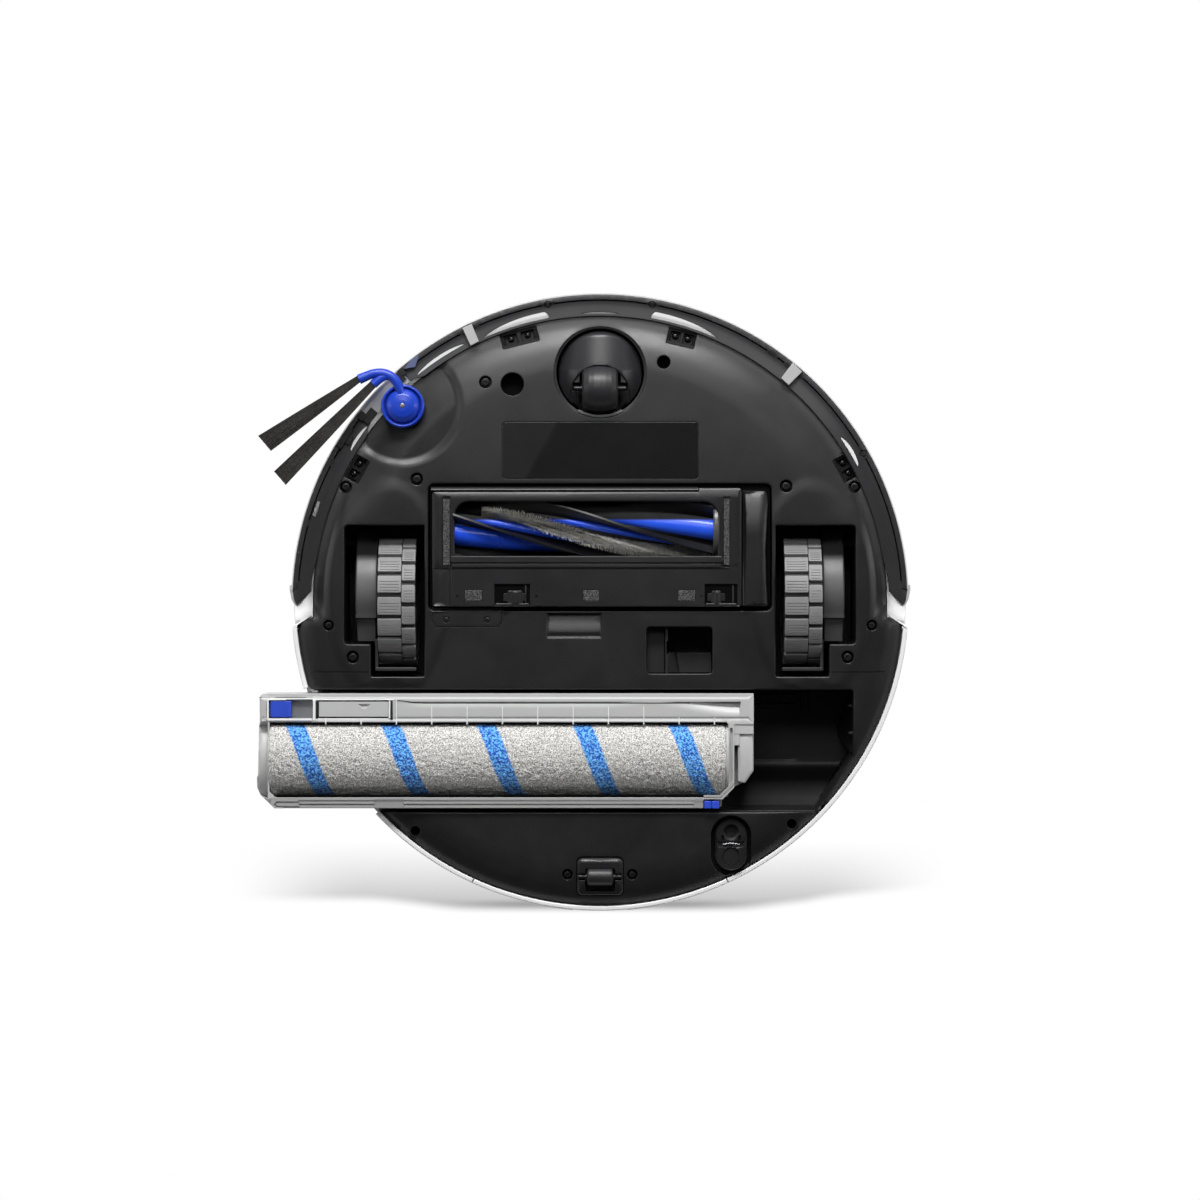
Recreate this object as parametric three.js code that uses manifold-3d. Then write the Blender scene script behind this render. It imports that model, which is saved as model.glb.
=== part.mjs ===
// Robot vacuum with a side-sliding roller mop, seen as a service assembly: every piece is its own closed solid.
// Millimetres, +Z up, the floor at z = 0, the front bumper towards -Y. The round body's axis stands at x = 0 of the inner
// group; the outer group shifts everything by SHIFT_X so that the frame's origin is the bottom centre of the whole box.
import * as THREE from "three";
import { mergeVertices } from "three/addons/utils/BufferGeometryUtils.js";
import Module from "manifold-3d";

// ---------- driving dimensions ----------
const R_BODY = 175; // outer radius of the white shell and of the bumper
const MOP_END_X = -192.5; // far end of the slid-out mop
const SHIFT_X = -(R_BODY + MOP_END_X) / 2; // 8.75
const Z_UNDER = 11; // flat underside of the chassis
const Z_PAN = 34; // top edge of the chassis pan
const Z_DECK = 77.2; // deck under the lid
const Z_TOP = 80; // top of the body
const Z_TURRET = 98; // top of the turret
const WHEEL_R = 36; // drive wheel over the lugs
const WHEEL_W = 21;
const WHEEL_X = 113.75; // wheel's middle
const ARM_PIVOT = { y: -34, z: 46 };
const CASTER = { x: 0, y: -129, wellR: 25.8, wheelY: -119.7, wheelR: 13 };
const SIDE = { x: -110.6, y: -110, hubR: 12.2, recessR: 32.4 };
const BRUSH = { y: -41, z: 21.8, coreR: 10, tipR: 18.2, x0: -79, x1: 63.6 };
const COVER_HINGE = { y: -63.4, z: 9 };
const MOP = { y: 87, z: 23.8, r: 23.5, x0: -185.6, x1: 71.3 };
const TURRET_Y = 89;
const PORT = { x: 73.5, y: 134.9, r: 10.6, half: 5.2 };
const SEG = 64; // facets of the large circles
const GAP = 0.35; // between pieces that touch

const wasm = await Module();
wasm.setup();

// ---------- solids from three.js geometry ----------
function solid(geometry) {
  const g = geometry.clone();
  for (const name of Object.keys(g.attributes))
    if (name !== "position") g.deleteAttribute(name);
  const merged = mergeVertices(g, 1e-4);
  const idx = merged.index.array;
  const tri = [];
  for (let i = 0; i < idx.length; i += 3)
    if (idx[i] !== idx[i + 1] && idx[i + 1] !== idx[i + 2] && idx[i] !== idx[i + 2])
      tri.push(idx[i], idx[i + 1], idx[i + 2]);
  const make = (t) =>
    new wasm.Manifold(
      new wasm.Mesh({
        numProp: 3,
        vertProperties: merged.attributes.position.array,
        triVerts: new Uint32Array(t),
      }),
    );
  let m = make(tri);
  if (m.volume() < 0) {
    for (let i = 0; i < tri.length; i += 3) [tri[i + 1], tri[i + 2]] = [tri[i + 2], tri[i + 1]];
    m = make(tri);
  }
  return m;
}
function geometryOf(m) {
  const mesh = m.getMesh();
  const n = mesh.numProp;
  const v = new Float32Array(mesh.numVert * 3);
  for (let i = 0; i < mesh.numVert; i++)
    v.set(mesh.vertProperties.subarray(i * n, i * n + 3), i * 3);
  const g = new THREE.BufferGeometry();
  g.setAttribute("position", new THREE.BufferAttribute(v, 3));
  g.setIndex(new THREE.BufferAttribute(new Uint32Array(mesh.triVerts), 1));
  g.computeVertexNormals();
  return g;
}
const join = (...list) => list.reduce((a, b) => a.add(b));
const cut = (a, ...list) => list.reduce((x, b) => x.subtract(b), a);

// Points [[x, y], ...] pulled up from z0 to z1.
function prism(points, z0, z1, holes = []) {
  const shape = new THREE.Shape(points.map((p) => new THREE.Vector2(p[0], p[1])));
  for (const h of holes)
    shape.holes.push(new THREE.Path(h.map((p) => new THREE.Vector2(p[0], p[1]))));
  const g = new THREE.ExtrudeGeometry(shape, { depth: z1 - z0, bevelEnabled: false, steps: 1 });
  g.translate(0, 0, z0);
  return solid(g);
}
// Points [[y, z], ...] pulled along X.
function prismX(points, x0, x1, holes = []) {
  const shape = new THREE.Shape(points.map((p) => new THREE.Vector2(p[0], p[1])));
  for (const h of holes)
    shape.holes.push(new THREE.Path(h.map((p) => new THREE.Vector2(p[0], p[1]))));
  const g = new THREE.ExtrudeGeometry(shape, { depth: x1 - x0, bevelEnabled: false, steps: 1 });
  g.applyMatrix4(new THREE.Matrix4().set(0, 0, 1, x0, 1, 0, 0, 0, 0, 1, 0, 0, 0, 0, 0, 1));
  return solid(g);
}
function box(x0, x1, y0, y1, z0, z1) {
  const g = new THREE.BoxGeometry(x1 - x0, y1 - y0, z1 - z0);
  g.translate((x0 + x1) / 2, (y0 + y1) / 2, (z0 + z1) / 2);
  return solid(g);
}
function ring(cx, cy, r, n, a0 = 0) {
  const p = [];
  for (let i = 0; i < n; i++) {
    const a = a0 + (2 * Math.PI * i) / n;
    p.push([cx + r * Math.cos(a), cy + r * Math.sin(a)]);
  }
  return p;
}
const cyl = (cx, cy, r, z0, z1, n = 24) => prism(ring(cx, cy, r, n), z0, z1);
const cylX = (cy, cz, r, x0, x1, n = 24) => prismX(ring(cy, cz, r, n), x0, x1);
// Profile [[radius, z], ...] turned about +Z.
function lathe(profile, n = SEG) {
  const pts = profile.map((p) => new THREE.Vector2(p[0], p[1]));
  if (profile[0][0] > 0 || profile[profile.length - 1][0] > 0) pts.push(pts[0].clone());
  const g = new THREE.LatheGeometry(pts, n);
  g.rotateX(Math.PI / 2);
  return solid(g);
}
// Profile [[radius, x], ...] turned about +X at (cy, cz).
function latheX(profile, cy, cz, n = 32) {
  const pts = profile.map((p) => new THREE.Vector2(p[0], p[1]));
  if (profile[0][0] > 0 || profile[profile.length - 1][0] > 0) pts.push(pts[0].clone());
  const g = new THREE.LatheGeometry(pts, n);
  g.rotateZ(-Math.PI / 2);
  g.translate(0, cy, cz);
  return solid(g);
}
function rounded(x0, x1, y0, y1, r, n = 4) {
  const p = [];
  for (const [cx, cy, a] of [
    [x1 - r, y1 - r, 0],
    [x0 + r, y1 - r, 1],
    [x0 + r, y0 + r, 2],
    [x1 - r, y0 + r, 3],
  ])
    for (let i = 0; i <= n; i++) {
      const t = ((a + i / n) * Math.PI) / 2;
      p.push([cx + r * Math.cos(t), cy + r * Math.sin(t)]);
    }
  return p;
}
function turned(points, cx, cy, deg) {
  const c = Math.cos((deg * Math.PI) / 180), s = Math.sin((deg * Math.PI) / 180);
  return points.map(([x, y]) => [cx + x * c - y * s, cy + x * s + y * c]);
}
function stadium(cx, cy, r, half, n = 10) {
  const p = [];
  for (let i = 0; i <= n; i++) {
    const a = (Math.PI * i) / n;
    p.push([cx + r * Math.cos(a), cy + half + r * Math.sin(a)]);
  }
  for (let i = 0; i <= n; i++) {
    const a = Math.PI + (Math.PI * i) / n;
    p.push([cx + r * Math.cos(a), cy - half + r * Math.sin(a)]);
  }
  return p;
}
// A closed skin over equal sections, each a list of [x, y, z].
function loft(sections) {
  const n = sections[0].length, v = [], tri = [];
  for (const s of sections) for (const p of s) v.push(...p);
  for (let k = 0; k + 1 < sections.length; k++)
    for (let i = 0; i < n; i++) {
      const j = (i + 1) % n, a = k * n + i, b = k * n + j, c = a + n, d = b + n;
      tri.push(a, b, d, a, d, c);
    }
  const flat = sections[0].map((p) => p);
  const axis = cap2d(flat);
  for (const [a, b, c] of axis) tri.push(a, c, b);
  const o = (sections.length - 1) * n;
  for (const [a, b, c] of axis) tri.push(o + a, o + b, o + c);
  const g = new THREE.BufferGeometry();
  g.setAttribute("position", new THREE.BufferAttribute(new Float32Array(v), 3));
  g.setIndex(tri);
  return solid(g);
}
// Triangulates a planar section by its own plane.
function cap2d(points) {
  const o = new THREE.Vector3(...points[0]);
  const n = new THREE.Vector3();
  for (let i = 0; i < points.length; i++) {
    const a = new THREE.Vector3(...points[i]), b = new THREE.Vector3(...points[(i + 1) % points.length]);
    n.add(a.clone().sub(o).cross(b.clone().sub(o)));
  }
  n.normalize();
  const u = new THREE.Vector3(...points[1]).sub(o).normalize();
  const w = n.clone().cross(u);
  const flat = points.map((p) => {
    const d = new THREE.Vector3(...p).sub(o);
    return new THREE.Vector2(d.dot(u), d.dot(w));
  });
  return THREE.ShapeUtils.triangulateShape(flat, []);
}

const root = new THREE.Group();
const body = new THREE.Group();
body.position.x = SHIFT_X;
root.add(body);
const std = (color, roughness, metalness = 0) =>
  new THREE.MeshStandardMaterial({ color, roughness, metalness });
const BLACK = std(0x2e2e2f, 0.5), BLACK_GLOSS = std(0x0c0c0e, 0.12), TRIM = std(0x38383a, 0.55),
  WHITE = std(0xf1f1f0, 0.3), GREY = std(0xc9cac9, 0.38), BLUE = std(0x2340d8, 0.35),
  RUBBER = std(0x6f7072, 0.85), STEEL = std(0xb9bcc0, 0.3, 1), BRISTLE = std(0x1d1c1b, 0.8),
  GREY_BRISTLE = std(0x8b8a85, 0.9), FLEECE = std(0xbfbdb8, 0.97), FELT = std(0x5a5a5a, 0.95),
  WRAP = std(0x2b4f8f, 0.5), BOARD = std(0x1d6b3c, 0.5), SMOKE = std(0x3a3d42, 0.2);
function add(name, m, material) {
  const mesh = new THREE.Mesh(geometryOf(m), material);
  mesh.name = name;
  body.add(mesh);
  return mesh;
}

// ---------- chassis pan ----------
const FRONT_R = 161.3, REAR_R = 169.2;
const frontOut = lathe([[0, Z_UNDER], [139, Z_UNDER], [146, 12.1], [152, 14.6], [157, 18], [160, 20.3], [FRONT_R, 22], [FRONT_R, Z_PAN], [0, Z_PAN]]);
const rearOut = lathe([[0, Z_UNDER], [152, Z_UNDER], [160, 12.1], [165.5, 14.4], [REAR_R, 17.6], [REAR_R, Z_PAN], [0, Z_PAN]]);
const frontIn = lathe([[0, 13.4], [139, 13.4], [146, 14.5], [151, 17], [155.5, 20.5], [158.8, 23], [158.8, 50], [0, 50]]);
const rearIn = lathe([[0, 13.4], [152, 13.4], [159, 14.4], [163.4, 16.6], [166.7, 20], [166.7, 50], [0, 50]]);
const frontMask = box(-200, 200, -200, 10.1, 0, 100);
const rearMask = prism([[-190, 30], [-161.3, 9.2], [161.3, 9.2], [190, 30], [190, 200], [-190, 200]], 0, 100);
const rearMaskIn = prism([[-190, 33], [-158.8, 11.6], [158.8, 11.6], [190, 33], [190, 200], [-190, 200]], 0, 100);
const frontMaskIn = box(-200, 200, -200, 11.8, 0, 100);
let pan = cut(
  join(frontOut.intersect(frontMask), rearOut.intersect(rearMask)),
  join(frontIn.intersect(frontMaskIn), rearIn.intersect(rearMaskIn)),
);

// wells that stand up from the pan: [inside outline, outside outline, inner top, outer top]
const wheelIn = (s) => {
  const L = [[-143.2, -43], [-98.3, -43], [-98.3, 41.8], [-128.4, 41.8], [-128.4, 23.6], [-143.2, 23.6]];
  return s < 0 ? L : L.map(([x, y]) => [-x, y]).reverse();
};
const wheelOut = (s) => {
  const L = [[-145.2, -45], [-96.5, -45], [-96.5, 43.8], [-130.4, 43.8], [-130.4, 25.6], [-145.2, 25.6]];
  return s < 0 ? L : L.map(([x, y]) => [-x, y]).reverse();
};
const brushIn = rounded(-96.1, 96.1, -66.2, 4.8, 3, 3);
const brushOut = [[-98.1, -68.2], [98.1, -68.2], [98.1, 6.8], [-98.1, 6.8]];
const bayIn = [[-200, 49], [139, 49], [139, 91], [121.5, 117.6], [-200, 117.6]];
const bayOut = [[-200, 47], [141, 47], [141, 91.6], [122.6, 119.6], [-200, 119.6]];
const inside = cyl(0, 0, REAR_R, 0, 100, SEG);
const towers = [
  prism(wheelOut(-1), 11.5, 74.2), prism(wheelOut(1), 11.5, 74.2),
  prism(brushOut, 11.5, 51.5),
  prism(bayOut, 12.5, 70).intersect(inside),
  cyl(CASTER.x, CASTER.y, 28, 11.5, 47.2, 32), // the battery stands on this and on the two ribs
  box(60, 64, -122, -100, 12.5, 47.2), box(-31, -29, -122, -100, 12.5, 47.2),
  cyl(-64, -73, 2, 12.5, 54.7, 8), cyl(30, -73, 2, 12.5, 54.7, 8), cyl(-20, -92, 2, 12.5, 54.7, 8), cyl(30, -92, 2, 12.5, 54.7, 8),
  cyl(SIDE.x, SIDE.y, 34.6, 13, 16.5, 40).intersect(cyl(0, 0, 158, 0, 60, SEG)),
  box(-16, 16, 140, 165, 12.5, 24), // rear roller pocket
  prism(stadium(PORT.x, PORT.y, 12.6, PORT.half, 6), 12.5, 26).intersect(inside), // water port pocket
];
let chassis = join(pan, ...towers);
const screwAt = [[-152, 13.1], [152, 13.1], [-138.4, 30.9], [138.4, 30.9]];
const blindAt = [[-64.3, -123.2], [-142.7, -64.6], [142.7, -64.6], [-18.2, 152.6], [18.2, 152.6], [-103.5, 128.3], [107.4, 124.3]];
const cliffs = [
  ["cliff_sensor_front_left", -45.2, -148.4, 20, 8.4, -15],
  ["cliff_sensor_front_right", 45.8, -148.1, 16, 8.6, 13],
  ["cliff_sensor_side_left", -136.3, -74.6, 14.4, 8.6, -62],
  ["cliff_sensor_side_right", 137.7, -75.1, 14.4, 8.6, 62],
];
chassis = cut(
  chassis,
  prism(wheelIn(-1), 0, 100), prism(wheelIn(1), 0, 100),
  cylX(ARM_PIVOT.y, ARM_PIVOT.z, 2.9, -150, -140, 12), cylX(ARM_PIVOT.y, ARM_PIVOT.z, 2.9, 140, 150, 12),
  prism(brushIn, 0, 49.8),
  prism(bayIn, 0, 68.2),
  cyl(CASTER.x, CASTER.y, CASTER.wellR, 0, 34, 40),
  cyl(CASTER.x, CASTER.y, 4.6, 33, 43, 16),
  cyl(SIDE.x, SIDE.y, SIDE.recessR, 0, 13.8, 40),
  cyl(SIDE.x, SIDE.y, 4, 0, 30, 16),
  box(-20, 20, -21, -5, 45, 60), // suction outlet in the brush well's roof
  box(26, 63, 13.9, 40, 0, 30), // evacuation port
  box(-13.2, 13.2, 142.6, 162, 0, 22), // rear roller pocket
  prism(stadium(PORT.x, PORT.y, PORT.r + 0.4, PORT.half, 6), 0, 24), // water port pocket
  box(-55.2, 55.4, -101, -68.9, 0, Z_UNDER + 0.9), // shallow seat of the blank plate
  cyl(-49.1, -122, 6.6, 0, 20, 20), cyl(35.6, -134.4, 3.8, 0, 20, 16), // sensor hole and locating hole
  ...screwAt.map(([x, y]) => cyl(x, y, 3.2, 0, 30, 16)),
  ...cliffs.map(([, x, y, w, d, a]) => prism(turned([[-w / 2 - GAP, -d / 2 - GAP], [w / 2 + GAP, -d / 2 - GAP], [w / 2 + GAP, d / 2 + GAP], [-w / 2 - GAP, d / 2 + GAP]], x, y, a), 0, 40)),
  prismX([[6.2, 5], [6.2, 14.4], [20.3, 10.5], [20.3, 5]], -29.7, 0.6).intersect(box(-29.7, 0.6, 6.2, 21, 0, 13.2)), // finger recess
);
add("chassis_base", chassis, BLACK);
for (const [i, [x, y]] of screwAt.entries())
  add("screw_" + (i + 1), join(lathe([[0, 12.4], [2.6, 12.4], [2.6, 14.2], [0, 14.2]], 16).translate([x, y, 0]), cyl(x, y, 1.5, 14, 21, 12)), STEEL);
for (const [name, x, y, w, d, a] of cliffs)
  add(name, cut(prism(turned([[-w / 2, -d / 2], [w / 2, -d / 2], [w / 2, d / 2], [-w / 2, d / 2]], x, y, a), 17.7, 28),
    ...[-1, 1].map((s) => cyl(...turned([[(s * w) / 4, 0]], x, y, a)[0], d * 0.28, 10, 20.7, 12))), BLACK_GLOSS);
add("rating_plate_blank", prism(rounded(-54.8, 55, -100.6, -69.3, 2, 3), Z_UNDER - 0.05, Z_UNDER + 0.55), BLACK_GLOSS);

// ---------- white upper shell ----------
const crown = lathe([[0, 74.6], [171.8, 74.6], [171.8, 70], [R_BODY, 70], [R_BODY, 73], [174.2, 77.4], [171.4, 79.8], [168.6, 79.8], [168.6, Z_DECK], [0, Z_DECK]]);
const skirt = lathe([[170, 18.4], [171, 16.2], [173.4, 16.8], [174.7, 21], [174.7, 71], [172.4, 71], [172.4, 24]]);
const frontWall = lathe([[158.8, Z_PAN + GAP], [161.3, Z_PAN + GAP], [161.3, 75.2], [158.8, 75.2]]);
const rearHalf = prism([[-190, 29], [-164, 10], [164, 10], [190, 29], [190, 200], [-190, 200]], 0, 100);
const shell = cut(
  join(crown, skirt.intersect(rearHalf), frontWall.intersect(box(-200, 200, -200, 10.6, 0, 100)),
    box(-173.5, -158.9, 9.3, 11.8, 36, 75.4).intersect(cyl(0, 0, 171.2, 0, 100, SEG)), box(158.9, 173.5, 9.3, 11.8, 36, 75.4).intersect(cyl(0, 0, 171.2, 0, 100, SEG))),
  box(-90, 90, -66, 45.5, 60, 90), // dust bin bay
  box(-200, -60, 47.6, 119, 0, 66), // mop's way out through the skirt
  cyl(0, -141, 9.2, 60, 90, 16), // button hole
  ...[-1, 1].map((s) => box(s * 24 - 9.4, s * 24 + 9.4, 168, 180, 26.6, 37.4)), // charging contacts
);
add("top_shell", shell, WHITE);
for (const [name, s] of [["charge_contact_left", -1], ["charge_contact_right", 1]])
  add(name, box(s * 24 - 9, s * 24 + 9, 169.6, 174.4, 27, 37), STEEL);

// lid: the whole round plate lifts off, around the turret and the button
add("top_lid", cut(lathe([[0, Z_DECK + GAP], [168.2, Z_DECK + GAP], [168.2, Z_TOP], [0, Z_TOP]]),
  cyl(0, TURRET_Y, 41.4, 70, 90, 32), cyl(0, -141, 9.2, 70, 90, 16)), WHITE);

// turret: ring, three posts and cap in one moulding, with the rotor inside
const post = (deg) => prism(turned([[31, -4], [36.6, -3], [36.6, 3], [31, 4]], 0, TURRET_Y, deg), 82, 95);
add("lidar_turret", join(
  lathe([[33, Z_DECK + GAP], [40.6, Z_DECK + GAP], [40.6, 81.5], [39.4, 84.2], [33, 84.2]], 32).translate([0, TURRET_Y, 0]),
  lathe([[0, 94], [38, 94], [38.6, 95.4], [36.8, Z_TURRET], [0, Z_TURRET]], 32).translate([0, TURRET_Y, 0]),
  post(30), post(150), post(270)), WHITE);
add("lidar_rotor", cut(lathe([[0, Z_DECK + GAP], [27, Z_DECK + GAP], [27, 93.4], [0, 93.4]], 24).translate([0, TURRET_Y, 0]),
  box(-14, -4, TURRET_Y - 32, TURRET_Y - 18, 85.5, 91.5), box(4, 14, TURRET_Y - 32, TURRET_Y - 18, 85.5, 91.5)), BLACK_GLOSS);
add("power_button", join(lathe([[0, 78], [8.6, 78], [8.6, 79.9], [7.8, 80.5], [0, 80.5]], 16).translate([0, -141, 0]), cyl(0, -141, 5, 68, 78.5, 10)), GREY);

// ---------- bumper ----------
const bumperMask = prism([[-190, 24.2], [-162, -5.4], [162, -5.4], [190, 24.2], [190, -200], [-190, -200]].reverse(), 0, 100);
const windowCut = (r0, r1, half, z0, z1) => {
  const o = [], n = 8;
  for (let i = 0; i <= n; i++) { const a = -Math.PI / 2 + half * (-1 + (2 * i) / n); o.push([r1 * Math.cos(a), r1 * Math.sin(a)]); }
  for (let i = n; i >= 0; i--) { const a = -Math.PI / 2 + half * (-1 + (2 * i) / n); o.push([r0 * Math.cos(a), r0 * Math.sin(a)]); }
  return prism(o, z0, z1);
};
add("bumper_shell", cut(
  lathe([[170.9, 14.8], [172.9, 14.8], [174.6, 19], [R_BODY, 26], [R_BODY, 67], [174, 68.9], [171.6, 68.9], [171.6, 22]]).intersect(bumperMask),
  windowCut(165, 180, 0.3, 37.6, 60.4)), WHITE);
add("bumper_window", windowCut(171.9, 174.9, 0.298, 38, 60), BLACK_GLOSS);
add("bumper_trim", lathe([[163, 14.6], [170.5, 14.6], [170.5, 17.2], [163, 17.2]]).intersect(bumperMask), TRIM);

// ---------- suction head ----------
const headOut = rounded(-95.4, 95.4, -65.5, 4.1, 2.6, 3);
add("brush_housing", cut(prism(headOut, 10.9, 49.3),
  prismX([[-61.5, 0], [-61.5, 30], [-56, 38], [-48, 42.5], [-34, 42.5], [-26, 38], [-20.5, 30], [-20.5, 0]], -89, 76),
  box(-89, 76, -21, 0.5, 0, 18), box(-20, 20, -23, -5, 15, 60), box(79.4, 92.5, -62.5, 1.5, 13.4, 46), // gear case hollow
  box(79.4, 84, -30, -10, 0, 30), box(-92.6, -88, -3, 1.5, 20, 60), box(-92.8, -91, -58, -8, 0, 40)), BLACK);
const coverOut = rounded(-93.9, 79.2, -63.9, 2.7, 1.4, 2);
add("brush_cover", cut(prism(coverOut, 7.5, 10.4),
  prism([[-81.3, -25.7], [-81.3, -53.4], [-78.3, -56.4], [62.9, -56.4], [65.9, -53.4], [65.9, -25.7]], 0, 20),
  box(-59.2, -39, -10, 2.1, 0, 9.4), box(58.4, 76.8, -10, 2.1, 0, 9.4)), BLACK);
for (const [name, x] of [["cover_latch_left", -48], ["cover_latch_right", 67.4]])
  add(name, box(x - 4.3, x + 4.3, -6.6, 1.7, 7.7, 9.1), TRIM);
// rotor with four swept blades, and a bristle row between two of them
const twist = (x) => 0.35 + ((x - BRUSH.x0) / (BRUSH.x1 - BRUSH.x0)) * 2.4;
function blade(profile, x0, x1, steps) {
  const s = [];
  for (let k = 0; k <= steps; k++) {
    const x = x0 + ((x1 - x0) * k) / steps, t = twist(x);
    s.push(profile.map(([r, a]) => [x, BRUSH.y + r * Math.cos(a + t), BRUSH.z + r * Math.sin(a + t)]));
  }
  return loft(s);
}
const star = [];
for (let k = 0; k < 4; k++) {
  const a = (k * Math.PI) / 2;
  star.push([BRUSH.tipR, a - 0.06], [BRUSH.tipR, a + 0.06], [BRUSH.coreR + 0.6, a + 0.3], [BRUSH.coreR + 0.6, a + 1.27]);
}
add("main_brush_rotor", join(blade(star, BRUSH.x0, BRUSH.x1, 14), cylX(BRUSH.y, BRUSH.z, 4, BRUSH.x0 - 4, BRUSH.x1 + 3.5, 16)), BLUE);
add("main_brush_bristles", blade([[BRUSH.coreR + 1.2, 0.62], [BRUSH.tipR, 0.68], [BRUSH.tipR, 0.9], [BRUSH.coreR + 1.2, 0.96]], BRUSH.x0 + 2, BRUSH.x1 - 2, 14), GREY_BRISTLE);
add("main_brush_motor", cut(join(cylX(-83, 30, 11, 48, 90, 24), cylX(-83, 30, 3, 89, 96, 12)), cylX(-83, 30, 8, 46, 50, 16)), STEEL);

// ---------- caster ----------
add("caster_fork", cut(join(lathe([[0, 7.6], [8, 8], [16, 10], [21.5, 13.2], [24.4, 18], [24.4, 30], [0, 30]], 32), lathe([[0, 29], [4.1, 29], [4.1, 42], [0, 42]], 16)).translate([CASTER.x, CASTER.y, 0]),
  box(-11.4, 11.4, CASTER.wheelY - 14.6, CASTER.wheelY + 14.4, 0, 27.6), box(-14.6, 14.6, CASTER.wheelY - 2.2, CASTER.wheelY + 2.2, 0, 15.3)), BLACK);
add("caster_wheel", cut(latheX([[0, -10], [9.6, -10], [12, -8], [12.9, -3], [CASTER.wheelR, 0], [12.9, 3], [12, 8], [9.6, 10], [0, 10]], CASTER.wheelY, CASTER.wheelR, 24),
  cylX(CASTER.wheelY, CASTER.wheelR, 1.85, -12, 12, 12)), RUBBER);
add("caster_axle", cylX(CASTER.wheelY, CASTER.wheelR, 1.5, -14.2, 14.2, 12), STEEL);

// ---------- drive units ----------
function lugs(count, phase) {
  const p = [];
  for (let i = 0; i < count; i++) {
    const a = phase + (2 * Math.PI * i) / count, w = (2 * Math.PI) / count;
    for (const [r, t] of [[WHEEL_R, 0], [WHEEL_R, 0.4], [WHEEL_R, 0.78], [WHEEL_R - 1.7, 0.89]])
      p.push([r * Math.cos(a + t * w), WHEEL_R + r * Math.sin(a + t * w)]);
  }
  return p;
}
for (const [side, s] of [["left", -1], ["right", 1]]) {
  const c = s * WHEEL_X, x0 = c - WHEEL_W / 2, x1 = c + WHEEL_W / 2;
  const outer = s < 0 ? x0 : x1; // the gearbox side
  add("tyre_" + side, cut(join(prismX(lugs(18, 0), x0, x0 + 13.8), prismX(lugs(18, Math.PI / 18), x0 + 13.8, x1)), cylX(0, WHEEL_R, 29.5, x0 - 1, x1 + 1, 28)), RUBBER);
  add("wheel_hub_" + side, cut(cylX(0, WHEEL_R, 29.1, x0 + 1.2, x1 - 1.2, 28),
    s < 0 ? cylX(0, WHEEL_R, 23, x0, x0 + 8, 20) : cylX(0, WHEEL_R, 23, x1 - 8, x1, 20),
    s < 0 ? cylX(0, WHEEL_R, 24, x1 - 5, x1, 20) : cylX(0, WHEEL_R, 24, x0, x0 + 5, 20),
    cylX(0, WHEEL_R, 4.4, x0 - 1, x1 + 1, 16)), TRIM);
  const gx0 = s < 0 ? -137.2 : 125, gx1 = s < 0 ? -125 : 137.2;
  const arm = [];
  for (let i = 0; i <= 10; i++) { const a = -0.35 * Math.PI + (i / 10) * 0.85 * Math.PI; arm.push([18 * Math.cos(a), WHEEL_R + 18 * Math.sin(a)]); }
  for (let i = 0; i <= 8; i++) { const a = 0.5 * Math.PI + (i / 8) * 0.95 * Math.PI; arm.push([ARM_PIVOT.y + 7 * Math.cos(a), ARM_PIVOT.z + 7 * Math.sin(a)]); }
  arm.push([-30, 22], [-22, 15.5], [-4, 15]);
  add("drive_arm_" + side, join(prismX(arm, gx0, gx1), cylX(ARM_PIVOT.y, ARM_PIVOT.z, 2.5, s < 0 ? -144.6 : 124.6, s < 0 ? -124.6 : 144.6, 12),
    s < 0 ? cylX(0, WHEEL_R, 4, -126, x1 - 1, 16) : cylX(0, WHEEL_R, 4, x0 + 1, 126, 16)), BLACK);
  // coil spring between the well's roof and the gearbox
  const pts = [], turns = 4, rs = 4.6, sx = s * 131.1, sy = -10, z0 = 56.2, z1 = 71.6;
  for (let i = 0; i <= turns * 8; i++) { const a = (i / 8) * 2 * Math.PI; pts.push(new THREE.Vector3(sx + rs * Math.cos(a), sy + rs * Math.sin(a), z0 + ((z1 - z0) * i) / (turns * 8))); }
  const wire = new THREE.Shape(ring(0, 0, 0.65, 5).map((p) => new THREE.Vector2(p[0], p[1])));
  add("suspension_spring_" + side, solid(new THREE.ExtrudeGeometry(wire, { steps: turns * 8, extrudePath: new THREE.CatmullRomCurve3(pts), bevelEnabled: false })), STEEL);
}

// ---------- side brush ----------
const P = (px, py) => [(px - 600) * 0.56, (py - 602) * 0.56];
const armOutline = [[405, 391], [402, 383], [397, 376], [390, 371], [380, 368.2], [371, 368.4], [362, 370.4], [356.6, 374.6], [361.2, 381.6], [367, 378.4], [369.6, 379.2], [368.8, 386], [376.6, 390.4], [381, 384.2], [387, 383], [391.4, 389.6], [393.2, 396]].map(([a, b]) => P(a, b)).reverse();
add("side_brush_hub", join(
  lathe([[0, 4.4], [6, 5.2], [10, 7.2], [SIDE.hubR, 9.6], [SIDE.hubR, 12.6], [0, 12.6]], 24).translate([SIDE.x, SIDE.y, 0]),
  cyl(SIDE.x, SIDE.y, 3, 12, 16.9, 12), prism(armOutline, 5, 9.8)), BLUE);
function tuft(root0, root1, tip0, tip1) {
  // root0 and root1 are the two corners at the sleeve, tip0 and tip1 those at the floor end
  const s = (a, b, z0, z1) => [[...a, z0], [...b, z0], [...b, z1], [...a, z1]];
  return loft([s(root0, root1, 5.2, 8), s(tip0, tip1, 0.8, 2.2)]);
}
add("side_brush_tuft_a", tuft(P(353.6, 376.6), P(357.6, 382.8), P(258.4, 436.1), P(271, 451)), BRISTLE);
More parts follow.
